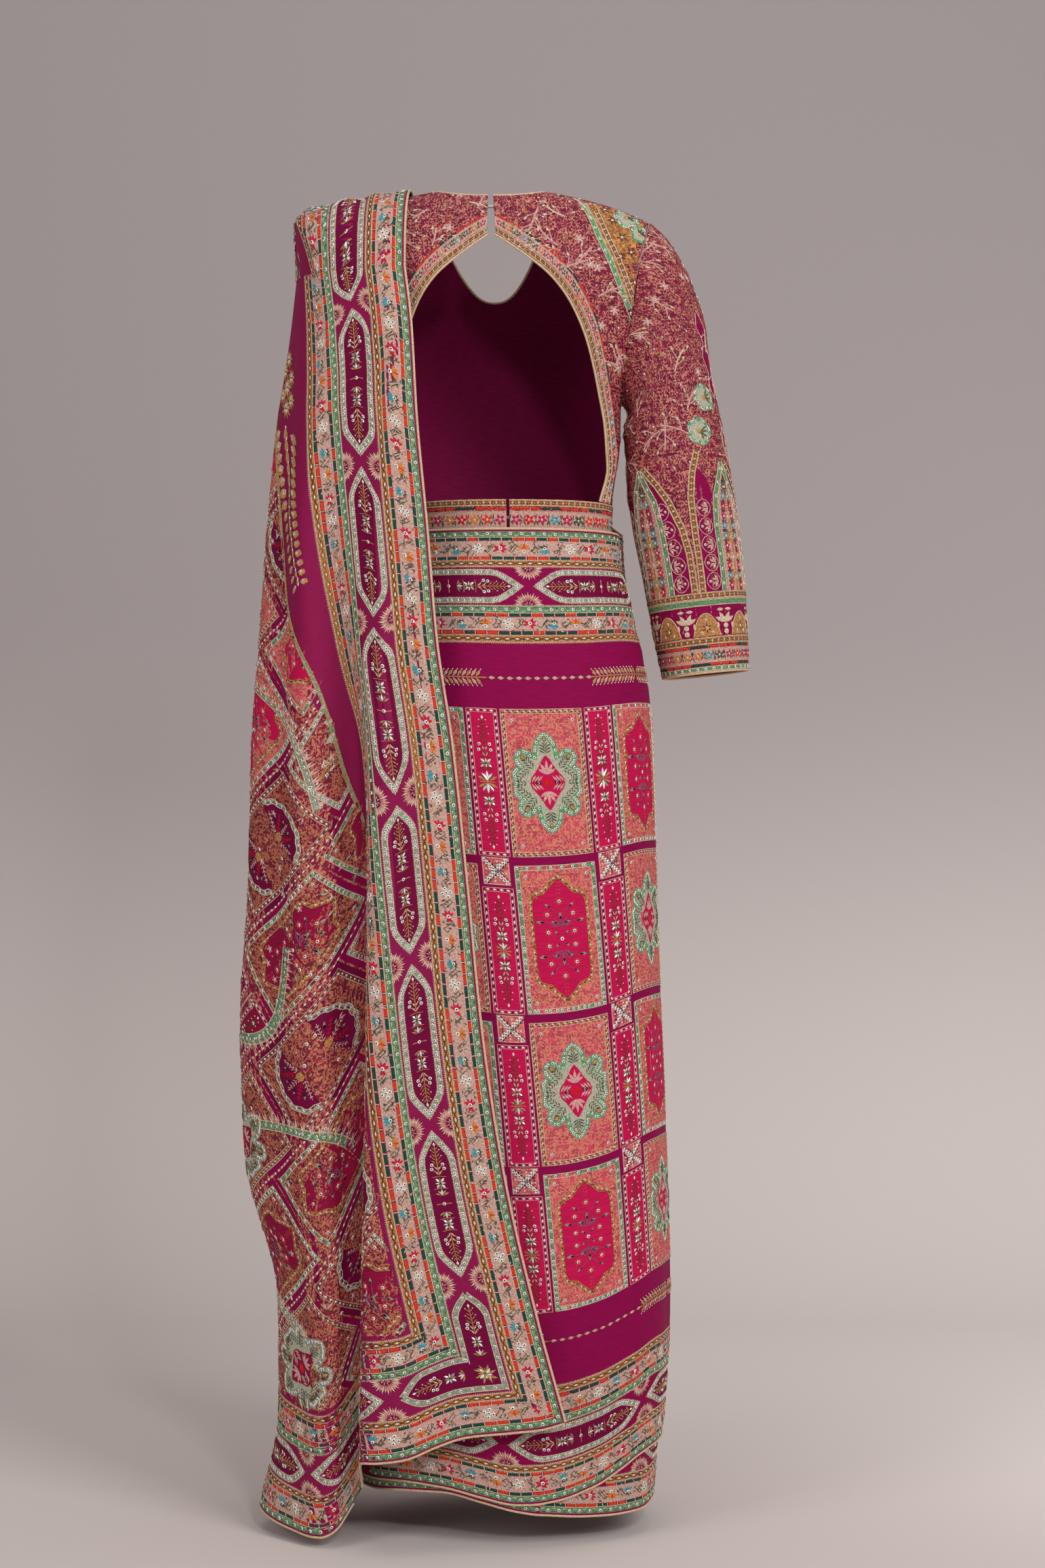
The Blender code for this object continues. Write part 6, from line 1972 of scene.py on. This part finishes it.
def field_pattern(width, length):
    """Worked field of the hanging end: tilted panels between bands, under curved strips and flowers."""
    rng = np.random.default_rng(77)
    panels = PANELS
    work = Work()
    c, s = cos_sin(FIELD_TURN)
    across, up = FIELD_PITCH
    # painted shade: copies of the panels whose coral, pink and mint are swapped for darker finishes; they are
    # used low on the hanging end, which falls in shade
    dark = {name: panels[name].tinted(("coral", "earth"), ("pink", "pink_painted_shade"), ("mint", "sage"))
            for name in ("medallion", "niche", "tall")}
    for i in range(-14, 15):
        for j in range(-8, 9):
            px, py = i * across, (j + 0.37 * (i % 3)) * up
            x, y = 400 + px * c - py * s, 620 + px * s + py * c
            if not (90 < x < width + 60 and 70 < y < length + 100):
                continue
            kind = (2 * i + 3 * j) % 7
            ground = Work()
            plate(ground, across - 2, up - 2, "plum" if kind == 3 else "magenta", 0.06)
            if kind in (0, 4):
                ground.stamp(panels["medallion"] if y > 900 else dark["medallion"])
            elif kind in (1, 5):
                ground.stamp(panels["niche"] if y > 820 else dark["niche"])
            elif kind == 2:
                for side in (-1, 1):
                    ground.stamp(panels["tall"] if y > 700 else dark["tall"], side * 24, 0)
                ground.line([(0, -78), (0, 78)], 2.2, "blush", 0.8)
            elif kind == 3:
                plate(ground, across - 16, up - 16, "earth", 0.18)
                stone_frame(ground, across - 14, up - 14, 4.5, "brown", 7.2, 4.6)
                fan_motif(ground, 0, 18, 0)
                fan_motif(ground, 0, -18, 180)
            else:
                # painted shade: low on the hanging end the ground is the darker earth instead of coral
                plate(ground, across - 16, up - 16, "coral" if y > 900 else "earth", 0.18)
                frame_band(ground, rectangle(across - 14, up - 14), 5.0, "sage", 0.3, sequins=11.0, step=7)
                big_flower(ground, 0, 0, 20, 36)
                for sy in (-1, 1):
                    fern(ground, 0, sy * 38, sy * 90, 26, "gold", wide=9)
            work.stamp(ground, x, y, FIELD_TURN)
            # a line of stones along one side of each cell
            for k in np.arange(-up / 2, up / 2, 7.4):
                work.stone(x + across / 2 * c - k * s, y + across / 2 * s + k * c, FIELD_TURN + 90, 4.6, 2.2)
    for x0, y0, x1, y1, bow, wide in FIELD_CURVES:
        t = np.linspace(0, 1, 20)
        way = unit(np.array([x1 - x0, y1 - y0], float))
        curve = (np.array([x0, y0]) + t[:, None] * (x1 - x0, y1 - y0)
                 + bow * np.sin(t * math.pi)[:, None] * (-way[1], way[0]))
        for x, y, turn in follow(curve, 9.0):
            work.blade(x, y, turn + (90 if bow > 0 else -90), 15.0, 2.6, "blush", 1.1)
            work.blade(x, y, turn + (70 if bow > 0 else -110), 12.0, 2.0, "cream", 1.1)
        green_strip(work, curve, wide, 8.0, "green" if wide % 2 else "sage")
    for x, y in rng.uniform((FIELD_START[0], FIELD_START[0]), (width, length), (500, 2)):
        pick = rng.integers(0, 4)
        if pick < 2:
            work.sequin(x, y, 2.1)
        elif pick == 2:
            for angle in rng.uniform(0, 360, 4):
                work.blade(x, y, angle, rng.uniform(6, 12), 2.2,
                           ("gold", "sage", "blush", "cream")[rng.integers(0, 4)], 1.1)
        else:
            work.petals(x, y, 5, 4.8, 2.4, "blush", x)
            work.sequin(x, y, 1.5)
    work = work.kept(lambda x, y: (y > FIELD_START[0]) & (x > field_edge(y)))
    ys = np.arange(440.0, length, 14.0)
    ribbon(work, np.c_[field_edge(ys), ys], 3.6, "sage", "gold")
    spray(work, 152, 1010, 1190)
    return work


def spray(work, middle, low, high):
    """Hanging spray on the plain strip beside the border: flowers above, then ever smaller drops."""
    path = [(middle + 0.13 * (y - low), y) for y in np.arange(low, high, 12.0)]
    work.line(path, 1.0, "gold", 0.8, 0.3, step=10)
    work.sequin(middle, low - 6, 1.6)
    for k, (x, y) in enumerate(path):
        long = 10.0 + 12.0 * k / len(path)
        work.leaf(x, y, -90, long * 0.8, long * 0.44, "gold", 1.0, 0.5)
        work.sequin(x, y, 1.9)
        for side in (-1, 1):
            turn = -90 + side * (44 + 18 * k / len(path))
            a = math.radians(turn)
            px, py = x + 0.62 * long * math.cos(a), y + 0.62 * long * math.sin(a)
            work.leaf(px, py, turn, long, long * 0.62, "gold", 0.9, 0.4)
            work.leaf(px, py, turn, long * 0.62, long * 0.34, "cream" if k % 2 else "blush", 1.2, 0.9)
            work.sequin(px + 0.2 * long * math.cos(a), py + 0.2 * long * math.sin(a), 1.9)
    for dx, dy, size in ((0, 8, 8), (-12, 18, 7), (12, 20, 7), (1, 30, 9), (-10, 42, 7), (11, 46, 8),
                         (0, 60, 7)):
        x, y = path[-1][0] + dx, high + dy
        work.petals(x, y, 9, size * 1.5, 3.0, "gold", 10, 0.9)
        work.petals(x, y, 7, size, 2.6, "cream", 0, 1.2)
        four_petals(work, x, y, size * 0.55)


def big_flower(work, x, y, turn, size):
    part = Work()
    for ring, count, start, finish in ((1.0, 9, 0, "pale"), (0.86, 9, 20, "mint"), (0.62, 8, 8, "blush"),
                                       (0.40, 7, 0, "rose")):
        part.petals(0, 0, count, size * ring * 0.62, size * ring * 0.30, finish, start, 1.0 + (1 - ring),
                    size * ring * 0.34)
    for x1, y1 in ((size * 0.62 * math.cos(a), size * 0.62 * math.sin(a)) for a in np.arange(0, 6.28, 0.5)):
        part.sequin(x1, y1, 1.8)
    part.dot(0, 0, size * 0.16, "red", 1.0, 2.0, sides=12)
    part.sequin(0, 0, 2.2)
    work.stamp(part, x, y, turn)


def fan_motif(work, x, y, turn):
    """Scalloped fan with a pale rim, leaves and dark mirror drops."""
    part = Work()
    angle = np.linspace(math.radians(15), math.radians(165), 31)
    rim = 37 * (1 + 0.07 * np.abs(np.sin(angle * 7)))
    edge = np.stack([np.cos(angle) * rim, np.sin(angle) * rim], 1)
    part.between(edge, edge * 0.12, "plum", 0.5, steps=5, edge=0.2)
    green_strip(part, edge, 5.0, 9.0, "sage")
    for k, a in enumerate(np.linspace(24, 156, 9)):
        c, s = cos_sin(a)
        if k % 2:
            mirror_leaf(part, c * 18, s * 18, a, 8.0)
        else:
            fern(part, c * 7, s * 7, a, 22, "red" if k % 4 else "cream", tips=False, wide=5.0)
    part.dot(0, 4, 5.0, "ochre", 0.9, 1.8, sides=10)
    work.stamp(part, x, y - 4, turn)


def stems(work, count, box, seed, inside=None):
    """Couched stems with side shoots, small flowers and loose pieces over the blouse's ground."""
    rng = np.random.default_rng(seed)
    for x, y in rng.uniform((box[0], box[1]), (box[2], box[3]), (count, 2)):
        if inside is not None and not inside(x, y):
            continue
        pick, turn = rng.integers(0, 6), rng.uniform(0, 360)
        if pick < 2:
            long, bend = rng.uniform(20, 36), rng.uniform(-30, 30)
            a = np.radians(turn + bend * np.linspace(0, 1, 5))
            path = np.array([x, y]) + np.linspace(0, long, 5)[:, None] * np.stack([np.cos(a), np.sin(a)], 1)
            work.line(path, 1.9, "blush" if x % 3 > 1 else "cream", 1.0, 0.4, step=9)
            for k, side in ((1, -1), (2, 1), (3, -1)):
                b = math.radians(turn + side * 46)
                tip = path[k] + np.array([math.cos(b), math.sin(b)]) * long * 0.34
                work.line([path[k], tip], 1.4, "blush", 1.0, 0.4, step=12)
                work.blade(tip[0], tip[1], turn + side * 20, 6.5, 3.0, "cream")
        elif pick == 2:
            work.petals(x, y, 6, 6.0, 2.6, "blush", turn)
            work.sequin(x, y, 1.5)
        elif pick == 3:
            for lean in rng.uniform(0, 360, 5):
                work.blade(x, y, lean, rng.uniform(6, 10), 2.0,
                           ("blush", "gold", "flame")[rng.integers(0, 3)])
        else:
            work.dot(x, y, 0.9, "white", 0.4, 1.3, sides=5)
            work.sequin(x + 7, y - 5, 1.4)


def scallop(work, x, y, turn=0.0, size=15.0):
    """Rosette with a mint scalloped rim round a pale middle with leaves."""
    part = Work()
    a = np.linspace(0, 2 * math.pi, 41)[:-1]
    r = size * (0.86 + 0.14 * np.abs(np.cos(a * 2.5)))
    edge = np.stack([np.sin(a) * r, np.cos(a) * r], 1)
    part.fill(edge, "pale", 0.4, 3)
    frame_band(part, edge, size * 0.28, "mint", 0.7, edges="mint", sequins=8.0, step=3)
    part.leaf(-size * 0.35, 0, 0, size * 0.7, size * 0.5, "gold", 1.3)
    for lean in (-50, -20, 20, 50):
        part.blade(0, 0, lean, size * 0.66, 1.8, "leaf", 1.5, 0.8)
    part.sequin(0, 0, 1.8)
    work.stamp(part, x, y, turn)


def back_panel(sign, name, node):
    share = np.concatenate([np.linspace(0, 0.22, 16)[:-1], np.linspace(0.22, 0.50, 20)[:-1],
                            np.linspace(0.50, 0.80, 22)[:-1], np.linspace(0.80, 1.0, 14)])
    across_in = ARCH("across", share)
    height_in = ARCH("height", share)
    across_out, height_out = back_boundary(share)
    s = 1 - (1 - np.linspace(0, 1, 24)[None, :]) ** 1.4
    across = across_in[:, None] + s * (across_out - across_in)[:, None]
    height = height_in[:, None] + s * (height_out - height_in)[:, None]
    grid = torso_point(across * sign, height, 1)
    cloth = Cloth(grid, None, IN_FRONT_OF_BACK)
    # seen from behind: u runs to the right, v up
    chart = cloth.chart(-grid[..., 0], grid[..., 2] + WAIST_HEIGHT - 1.0)
    dress(name, chart, "blouse", [node])
    # border round the arch
    out = arc_along(grid, 1)
    along = arc_along(grid, 0)[:, 0]
    edge = cloth.chart(np.broadcast_to(along[:, None], out.shape), out)
    length = along[-1] / MM
    work = Work()
    chain_band(work, [(0, 4.0), (length, 4.0)], 6.0)
    flower_band(work, [(0, 14.5), (length, 14.5)], 12.0, 10.5)
    dash_line(work, length, 22.6)
    add_work("work_" + name, edge, work, "blouse")
    ground = Work()
    strip = np.array([(74, 452), (86, 425), (97, 396), (110, 368), (121, 341), (134, 312), (146, 286)])

    def beside(x, y):
        return sign > 0 or x < np.interp(-y, -strip[:, 1], strip[:, 0])
    stems(ground, 210, (-190, 110, 0, 460) if sign > 0 else (0, 110, 190, 460), 50 + sign, beside)
    if sign < 0:
        rows = even(strip, 6)
        ground.between(rows, np.c_[np.full(len(rows), 172.0), rows[:, 1] + 14], "wedge", 0.25, steps=6,
                       edge=0.1)
        green_strip(ground, strip, 5.6, 14.0, "mint")
        chain_band(ground, strip[1:] + (8.5, 3.0), 5.0)
        scallop(ground, 128, 424, 20, 15)
        scallop(ground, 142, 404, 60, 11)
        for x, y in ((112, 418), (122, 398), (132, 382), (120, 376), (136, 350), (104, 432)):
            ground.petals(x, y, 5, 6.5, 2.4, "brown", x)
            ground.sequin(x, y, 1.6)
    add_work("work_ground_" + name, chart, ground, "blouse")
    edge_piping("piping_arch_" + node[12:], grid[:, 0], grid[:, 0] - grid[:, 1],
                ["binding_arch_left" if sign > 0 else "binding_arch_right"])
    stop = int(np.searchsorted(share, 0.205))
    edge_piping("piping_neck_" + node[12:], grid[:stop, -1], grid[:stop, -1] - grid[:stop, -2],
                ["binding_neck_left" if sign > 0 else "binding_neck_right"])


def dash_line(work, length, y, pitch=11.0):
    for k, x in enumerate(span(0, length, pitch)):
        work.line([(x - 4.4, y), (x + 4.4, y)], 2.6, "orange" if k % 5 < 3 else "teal", 0.9, 0.3)


def make_blouse():
    back_panel(1, "cloth_back_left", "blouse_back_left")
    back_panel(-1, "cloth_back_right", "blouse_back_right")

    neck_share = NECK_SIDE / SHOULDER_TIP
    half = np.concatenate([neck_share * np.linspace(0, 1, 18), np.linspace(neck_share, 1, 20)[1:]])
    u = np.concatenate([-half[:0:-1], half])[:, None]
    v = 1 - (1 - np.linspace(0, 1, 40)[None, :]) ** 1.4
    shoulder = SHOULDER("height", np.abs(u) * SHOULDER_TIP)
    round_neck = NECK_FRONT + (NECK_SIDE_HEIGHT - NECK_FRONT) * (np.abs(u) / neck_share) ** 2.4
    top = np.where(np.abs(u) < neck_share, np.minimum(round_neck, shoulder), shoulder)
    low = BAND_TOP + SEAM
    height = low + v * (top - low)
    hole = ARMHOLE("across", height)
    side = TORSO("half_width", height)
    grid = torso_point(u * np.where(height > ARMPIT, hole, side), height, -1)
    cloth = Cloth(grid, None, BEHIND_FRONT)
    chart = cloth.chart(arc_along(grid, 0) - arc_along(grid, 0)[len(u) // 2],
                        grid[..., 2] + WAIST_HEIGHT - 1.0)
    dress("cloth_blouse_front", chart, "blouse", ["blouse_front"])
    work = Work()
    stems(work, 330, (-210, 115, 210, 455), 61)
    add_work("work_blouse_front", chart, work, "blouse")
    middle = len(half) - 1
    reach = int(np.searchsorted(half, neck_share * 0.9))
    rim = slice(middle - reach, middle + reach + 1)
    edge_piping("piping_neck_front", grid[rim, -1], grid[rim, -1] - grid[rim, -2],
                ["binding_neck_front"])

    turns = np.linspace(BAND_GAP, 1 - BAND_GAP, 121)
    angle = np.interp((turns + 0.5) % 1.0 - 0.5, TURNS, ANGLES)
    height = np.linspace(BAND_BOTTOM, BAND_TOP, 5)[None, :]
    wide = TORSO("half_width", height)
    centre = TORSO("centre_x", height)
    deep = np.where(np.cos(angle)[:, None] > 0, TORSO("back", height),
                    TORSO("front", height))
    x = centre + wide * oval(np.sin(angle), TORSO_ROUND)[:, None]
    y = deep * oval(np.cos(angle), TORSO_ROUND)[:, None]
    grid = np.stack(np.broadcast_arrays(x, y, height - WAIST_HEIGHT), axis=-1)
    cloth = Cloth(grid)
    along = arc_along(grid, 0).mean(axis=1, keepdims=True)
    chart = cloth.chart(np.broadcast_to(along, grid.shape[:2]), BAND_TOP - WAIST_HEIGHT - grid[..., 2])
    dress("cloth_band", chart, "blouse", ["blouse_band"])
    length = float(along.max()) / MM
    work = Work()
    chain_band(work, [(0, 4.0), (length, 4.0)], 6.0)
    dash_line(work, length, 10.0)
    flower_band(work, [(0, 22.0), (length, 22.0)], 18.0, 14.0)
    dash_line(work, length, 34.5)
    add_work("work_band", chart, work, "blouse")

    for name, sign, table in (("sleeve_left", 1, SLEEVE_LEFT), ("sleeve_right", -1, SLEEVE_RIGHT)):
        make_sleeve(name, sign, table)


def cuff_bands(length):
    """Bands round the sleeve's end, from its edge up."""
    cuff = Work()
    green_strip(cuff, [(0, 2.6), (length, 2.6)], 4.4, 9.0)
    dash_line(cuff, length, 7.4)
    flower_band(cuff, [(0, 17.0), (length, 17.0)], 15.0, 12.0)
    dash_line(cuff, length, 26.8)
    chain_band(cuff, [(0, 33.0), (length, 33.0)], 7.0)
    xs = np.linspace(0, length, 60)
    cuff.between(at_height(xs, 37.5), at_height(xs, 71.0), "magenta", 0.2, steps=3)
    for k, x in enumerate(span(0, length, 44.0)):
        t = np.linspace(-1, 1, 13)
        hill = np.stack([x + 15 * t, 38 + 25 * (1 - t ** 2) ** 0.7], 1)
        cuff.between(hill, at_height(hill[:, 0], 37.8), "ochre", 0.6, steps=2)
        cuff.line(hill, 0.9, "cream", 1.1, 0.6)
        cuff.petals(x, 47, 6, 7.0, 2.6, "brown", 30, 1.2)
        for dx, dy in ((0, 47), (-6, 42), (6, 42), (0, 56)):
            cuff.sequin(x + dx, dy, 1.7)
        for rise in (0, 1, 2):
            cuff.dot(x + 22, 42 + 6.5 * rise, 3.0, "cream", 0.6, 1.4, sides=8)
        for lean in (-62, -30, 30, 62):
            cuff.leaf(x + 22, 52, 90 + lean, 13, 4.6, "cream", 1.2)
        for side in (-1, 1):
            cuff.leaf(x + 22 + side * 10, 44, 90 + side * 8, 9, 4.0, "cream", 1.2)
            cuff.leaf(x + 22 + side * 9, 66, 180 if side > 0 else 0, 8, 3.6, "cream", 1.2)
    ribbon(cuff, [(0, 74.5), (length, 74.5)], 6.0, "green")
    chain_band(cuff, [(0, 82.0), (length, 82.0)], 6.5)
    return cuff


def arch_unit(half):
    """One repeat of the arches above the cuff: two bands that part like a Y between green strips."""
    part = Work()
    green = [(30, 86), (31, 160), (35, 190), (45, 212), (half, 226)]
    for side in (-1, 1):
        flip = np.array([side, 1.0])
        ys = np.linspace(86, 212 if side < 0 else 226, 18)
        bend = ((86, 130, 156, 186, 208), (4, 5, 8, 18, 30)) if side < 0 else ((86, 190, 216), (4, 6, 11))
        inner = np.interp(ys, *bend)
        outer = np.interp(ys, (86, 160, 190, 212), (29, 30, 34, 43))
        if side > 0:
            outer = np.minimum(outer, np.interp(ys, (180, 205, 220, 226), (33, 29, 19, 12)))
        part.between(np.c_[side * inner, ys], np.c_[side * np.maximum(outer, inner + 0.5), ys], "magenta",
                     0.15, steps=3)
        rib = ([(4.2, 86), (5, 130), (8, 156), (18, 186), (30, 208), (44, 226)] if side < 0
               else [(4.2, 86), (5, 150), (6, 190), (11, 216), (20, 240)])
        chain_band(part, np.array(rib) * flip, 6.5)
        for k in range(5):
            y = 97 + 20 * k
            x = side * (18 + (0.6 * k * k if side < 0 else 0))
            a = np.linspace(0, 2 * math.pi, 13)
            loop = np.stack([x + side * 8.2 * np.cos(a) * (1 - 0.18 * np.abs(np.sin(a))),
                             y + 9.4 * np.sin(a)], 1)
            part.line(loop, 1.0, "blush", 1.0, 0.4, step=4)
            for lean in (-60, -25, 25, 60):
                part.blade(x + side * 5, y, (180 if side > 0 else 0) + lean, 9.0, 2.6, "blush", 1.1)
            for dx, dy in ((3, -4), (3, 4), (-4, 0)):
                part.sequin(x + side * dx, y + dy, 1.6)
        green_strip(part, np.array(green) * flip, 6.0, 16.0)
        flower_band(part, np.array([(41, 86), (42, 156), (45, 184), (half, 204)]) * flip, 13.0, 11.0)
        inner = np.array([(49, 86), (49, 170), (half, 190)]) * flip
        part.line(inner, 1.2, "gold", 1.0, 0.4)
        ys = np.linspace(86, 178, 10)
        part.between(np.c_[side * 50 * np.ones(10), ys], np.c_[side * half * np.ones(10), ys], "earth", 0.2,
                     steps=2, edge=0.1)
    for k in range(4):
        part.petals(half, 100 + 22 * k, 6, 9.0, 4.0, ("gold", "blush")[k % 2], 0, 1.2)
        part.sequin(half, 100 + 22 * k, 2.1)
    return part


SLEEVE_CREASES = (         # at the elbow and under the arm: share of the length, spread, width, depth
    (0.34, 1.2, 0.020, 0.0016), (0.46, 1.6, 0.024, -0.0016), (0.58, 1.3, 0.020, 0.0016),
    (0.20, 0.9, 0.022, -0.0012),
)


def make_sleeve(name, sign, table):
    angle = np.linspace(0, 2 * math.pi, 60, endpoint=False)
    shares = np.concatenate([np.linspace(0.02, 0.22, 10), np.linspace(0.24, 1.0, 42)])
    hole = armhole_ring(sign, angle)
    out = np.array([sign, 0, 0.0])
    rings, marks = [hole + out * SLEEVE_GAP], [0.0]
    for share, *_ in table.rows:
        get = {n: float(table(n, share)) for n in table.names[1:]}
        outer = np.array([sign * get["outer_x"], 0, get["outer_h"] - WAIST_HEIGHT])
        inner = np.array([sign * get["inner_x"], 0, get["inner_h"] - WAIST_HEIGHT])
        middle, half = (outer + inner) / 2, (outer - inner) / 2
        ring = middle + np.cos(angle)[:, None] * half
        ring[:, 1] = get["centre_y"] + np.sin(angle) * get["half_depth"]
        blend = min(1.0, share / SLEEVE_HEAD) ** 0.8
        shift = out * SLEEVE_GAP + (ring.mean(axis=0) - hole.mean(axis=0)) * blend
        rings.append((hole + shift) * (1 - blend) + ring * blend)
        marks.append(float(share))
    coarse = np.stack(rings, axis=1)
    at = np.concatenate([[0.0], shares])
    grid = np.stack([smooth(marks, coarse[i, :, k], at) for i in range(len(angle)) for k in range(3)], 0)
    grid = grid.reshape(len(angle), 3, len(at)).transpose(0, 2, 1)
    middle = grid.mean(axis=0, keepdims=True)
    normals = grid_normals(grid, closed=True)
    normals = normals if np.sum((grid - middle) * normals) > 0 else -normals
    for ring, spread, wide, depth in SLEEVE_CREASES:
        away = at[None, :] - ring - 0.04 * np.cos(angle[:, None] + 0.6)
        inner = np.exp(-(np.abs(angle[:, None] - math.pi) / spread) ** 2)
        grid = grid + normals * (depth * inner * np.exp(-(away / wide) ** 2))[..., None]
    around = np.linalg.norm(np.roll(grid, -1, axis=0) - grid, axis=-1).sum(axis=0)
    down = arc_along(grid, 1)
    up = down[:, -1:] - down
    # the seam of the chart runs along the inside of the arm; u grows to the right behind
    turn = (np.arange(len(angle) + 1) / len(angle))[:, None]
    opened = Cloth(looped(grid), looped(normals))
    u = (turn - 0.25) * around[None, :] * sign
    flat = looped(up)
    chart = opened.chart(u, flat)
    tube = Cloth(grid, normals, closed=True).chart(u, flat)
    nodes = [name, name.replace("sleeve", "sleeve_end")]
    dress("cloth_" + name, tube, "blouse", nodes)
    low, high = float(u.min()) / MM, float(u.max()) / MM
    add_work("work_cuff_" + name, chart, cuff_bands(high - low), "blouse", from_start(low))
    ground = Work()
    period = float(around[-1]) / MM / 3
    unit_drawing = arch_unit(period / 2)
    for k in range(-3, 4):
        if low - period < k * period < high + period:
            ground.stamp(unit_drawing, k * period, 0)
    for k in (0, 1):
        scallop(ground, k * period + 28, 260, -20, 16)
        scallop(ground, k * period + 44, 297, 10, 16)
        patch = np.array([(66, 440), (74, 420), (70, 402), (80, 384), (78, 360), (66, 342), (60, 356),
                          (66, 372), (56, 388), (62, 404), (54, 420), (66, 440.0)])
        patch = even(patch, 5)[:-1] + (k * period, -46)
        middle = patch.mean(axis=0)
        bare = Work()
        bare.fill(patch - middle, "magenta", 0.3, 3)
        bare.line(patch - middle, 1.4, "blush", 0.9, 0.4, step=6)
        ground.stamp(bare, *middle)
    stems(ground, 290, (low, 215, high, float(up.max()) / MM), 71 + sign)
    add_work("work_ground_" + name, chart, ground, "blouse")
    rim = looped(grid[:, -1])
    edge_piping("piping_cuff_" + name, rim, rim - looped(grid[:, -2]), slot="blouse")


def make_rest():
    """Pleats in front, and the hooks' metal."""
    wave = np.array(PLEAT_START + PLEAT_SHAPE * PLEAT_COUNT + (0.0,))
    count = len(wave) - 1
    at = np.linspace(0, count, count * 5 + 1)
    smooth_wave = np.interp(at, np.arange(count + 1), wave)
    kernel = np.array([1, 2, 1]) / 4
    padded = np.pad(smooth_wave, 1, mode="edge")
    smooth_wave = np.convolve(padded, kernel, mode="valid")
    turns = np.linspace(PLEATS_LEFT, PLEATS_RIGHT, len(at))
    share = np.linspace(0, 1, 42)[None, :]
    heights = WAIST_HEIGHT + share * (hem_height("second_wrap", turns)[:, None] - WAIST_HEIGHT)
    depth = PLEAT_DEPTH("depth", heights)
    grid = skirt_point(turns[:, None], heights, depth * smooth_wave[:, None])
    cloth = Cloth(grid)
    length = arc_along(grid, 0)
    flat_length = length.max(axis=1, keepdims=True)
    chart = cloth.chart(-np.broadcast_to(flat_length, length.shape), (WAIST_HEIGHT - heights)
                        / (WAIST_HEIGHT - hem_height("second_wrap", turns)[:, None]) * CLOTH_WIDTH)
    dress("cloth_pleats", chart, "saree", ["saree_pleats"])
    low = float(chart.u.min()) / MM
    add_work("work_pleats_waist", chart, border(-low, -100, 8, fine=False), "saree", from_start(low))
    add_work("work_pleats_hem", chart, border(-low, -20, 9, fine=False), "saree",
             from_start(low, CLOTH_WIDTH))
    work = Work()
    add_grid(work, low, 0, FRONT_PANELS)
    add_work("work_pleats_panels", chart, work, "saree")
    edge_piping("piping_pleats_hem", grid[:, -1], DOWN)
    for hook in [o for o in bpy.context.scene.objects if o.type == "MESH" and o.name.startswith("hook_")]:
        hook.data.materials.clear()
        hook.data.materials.append(METAL)


# Camera, from the photograph's horizon and scale
CAMERA_PLACE = (-0.015, 3.200, -0.292)
CAMERA_LENS = 66.8
CAMERA_SHIFT = 0.0121

LIGHTS = (                 # name, place, aim, size, power in watts, colour
    ("key", (-2.4, 3.0, 1.7), (0, 0, -0.2), (1.5, 2.0), 71, (1.0, 0.985, 0.97)),
    ("fill", (2.6, 2.6, 0.9), (0, 0, -0.3), (1.6, 2.2), 29, (1.0, 0.98, 0.97)),
    ("top", (0.0, 0.4, 3.0), (0, 0, 0), (2.4, 2.4), 24),
    ("back", (-1.5, -0.5, -0.3), (-1.4, -1.2, -1.07), (1.6, 1.6), 6.5),
    ("glint", (-0.8, 3.6, 1.2), (0, 0, -0.3), (0.35, 0.35), 26),
)


def area_light(name, place, aim, size, power, colour=(1, 1, 1)):
    data = bpy.data.lights.new(name, "AREA")
    data.shape, data.size, data.size_y = "RECTANGLE", size[0], size[1]
    data.energy, data.color = power, colour
    made = add_object(name, data)
    made.location = place
    way = np.asarray(aim, float) - np.asarray(place, float)
    made.rotation_euler = mathutils.Vector(way).to_track_quat("-Z", "Y").to_euler()


def make_stage():
    data = bpy.data.cameras.new("camera")
    data.lens, data.sensor_width, data.sensor_fit = CAMERA_LENS, 36, "AUTO"
    data.shift_y = CAMERA_SHIFT
    camera = add_object("camera", data)
    camera.location = CAMERA_PLACE
    camera.rotation_euler = (math.radians(90), 0, math.radians(180))
    bpy.context.scene.camera = camera

    # floor that curves up into a wall behind the garment
    floor = -WAIST_HEIGHT
    profile = [(4.5, 0.0), (-1.2, 0.0)]
    profile += [(-1.2 - 1.0 * math.sin(a), 1.0 - math.cos(a)) for a in np.linspace(0.1, math.pi / 2, 12)]
    profile += [(-2.2, 4.5)]
    xs = np.linspace(-5, 5, 3)
    grid = np.array([[(x, y, floor + z) for y, z in profile] for x in xs])
    n = np.arange(grid.shape[0] * grid.shape[1]).reshape(grid.shape[:2])
    faces = np.stack([n[:-1, :-1], n[1:, :-1], n[1:, 1:], n[:-1, 1:]], -1).reshape(-1, 4)
    mesh = bpy.data.meshes.new("backdrop")
    mesh.from_pydata(grid.reshape(-1, 3).tolist(), [], faces.tolist())
    mesh.shade_smooth()
    backdrop = add_object("backdrop", mesh)
    # painted light: the backdrop's colour is paler on the floor than on the wall, standing in for the
    # brighter light that falls on the floor
    g = Graph("backdrop")
    low = g.add("SeparateXYZ", g.add("TexCoord", output=3), output=2)
    share = g.add("MapRange", low, From_Min=0.1, From_Max=floor + 0.02, interpolation_type="SMOOTHSTEP")
    material = g.finish(g.mix(share, linear((180, 172, 172)), linear((224, 214, 210))), None, Roughness=0.95)
    mesh.materials.append(material)

    world = bpy.data.worlds.new("studio")
    world.use_nodes = True
    world.node_tree.nodes["Background"].inputs[0].default_value = linear((205, 200, 198))
    world.node_tree.nodes["Background"].inputs[1].default_value = 0.36
    bpy.context.scene.world = world
    for light in LIGHTS:
        area_light(*light)
    bpy.context.scene.view_settings.view_transform = "Standard"


def main():
    make_skirt()
    make_mantle()
    make_blouse()
    make_rest()
    make_stage()


main()
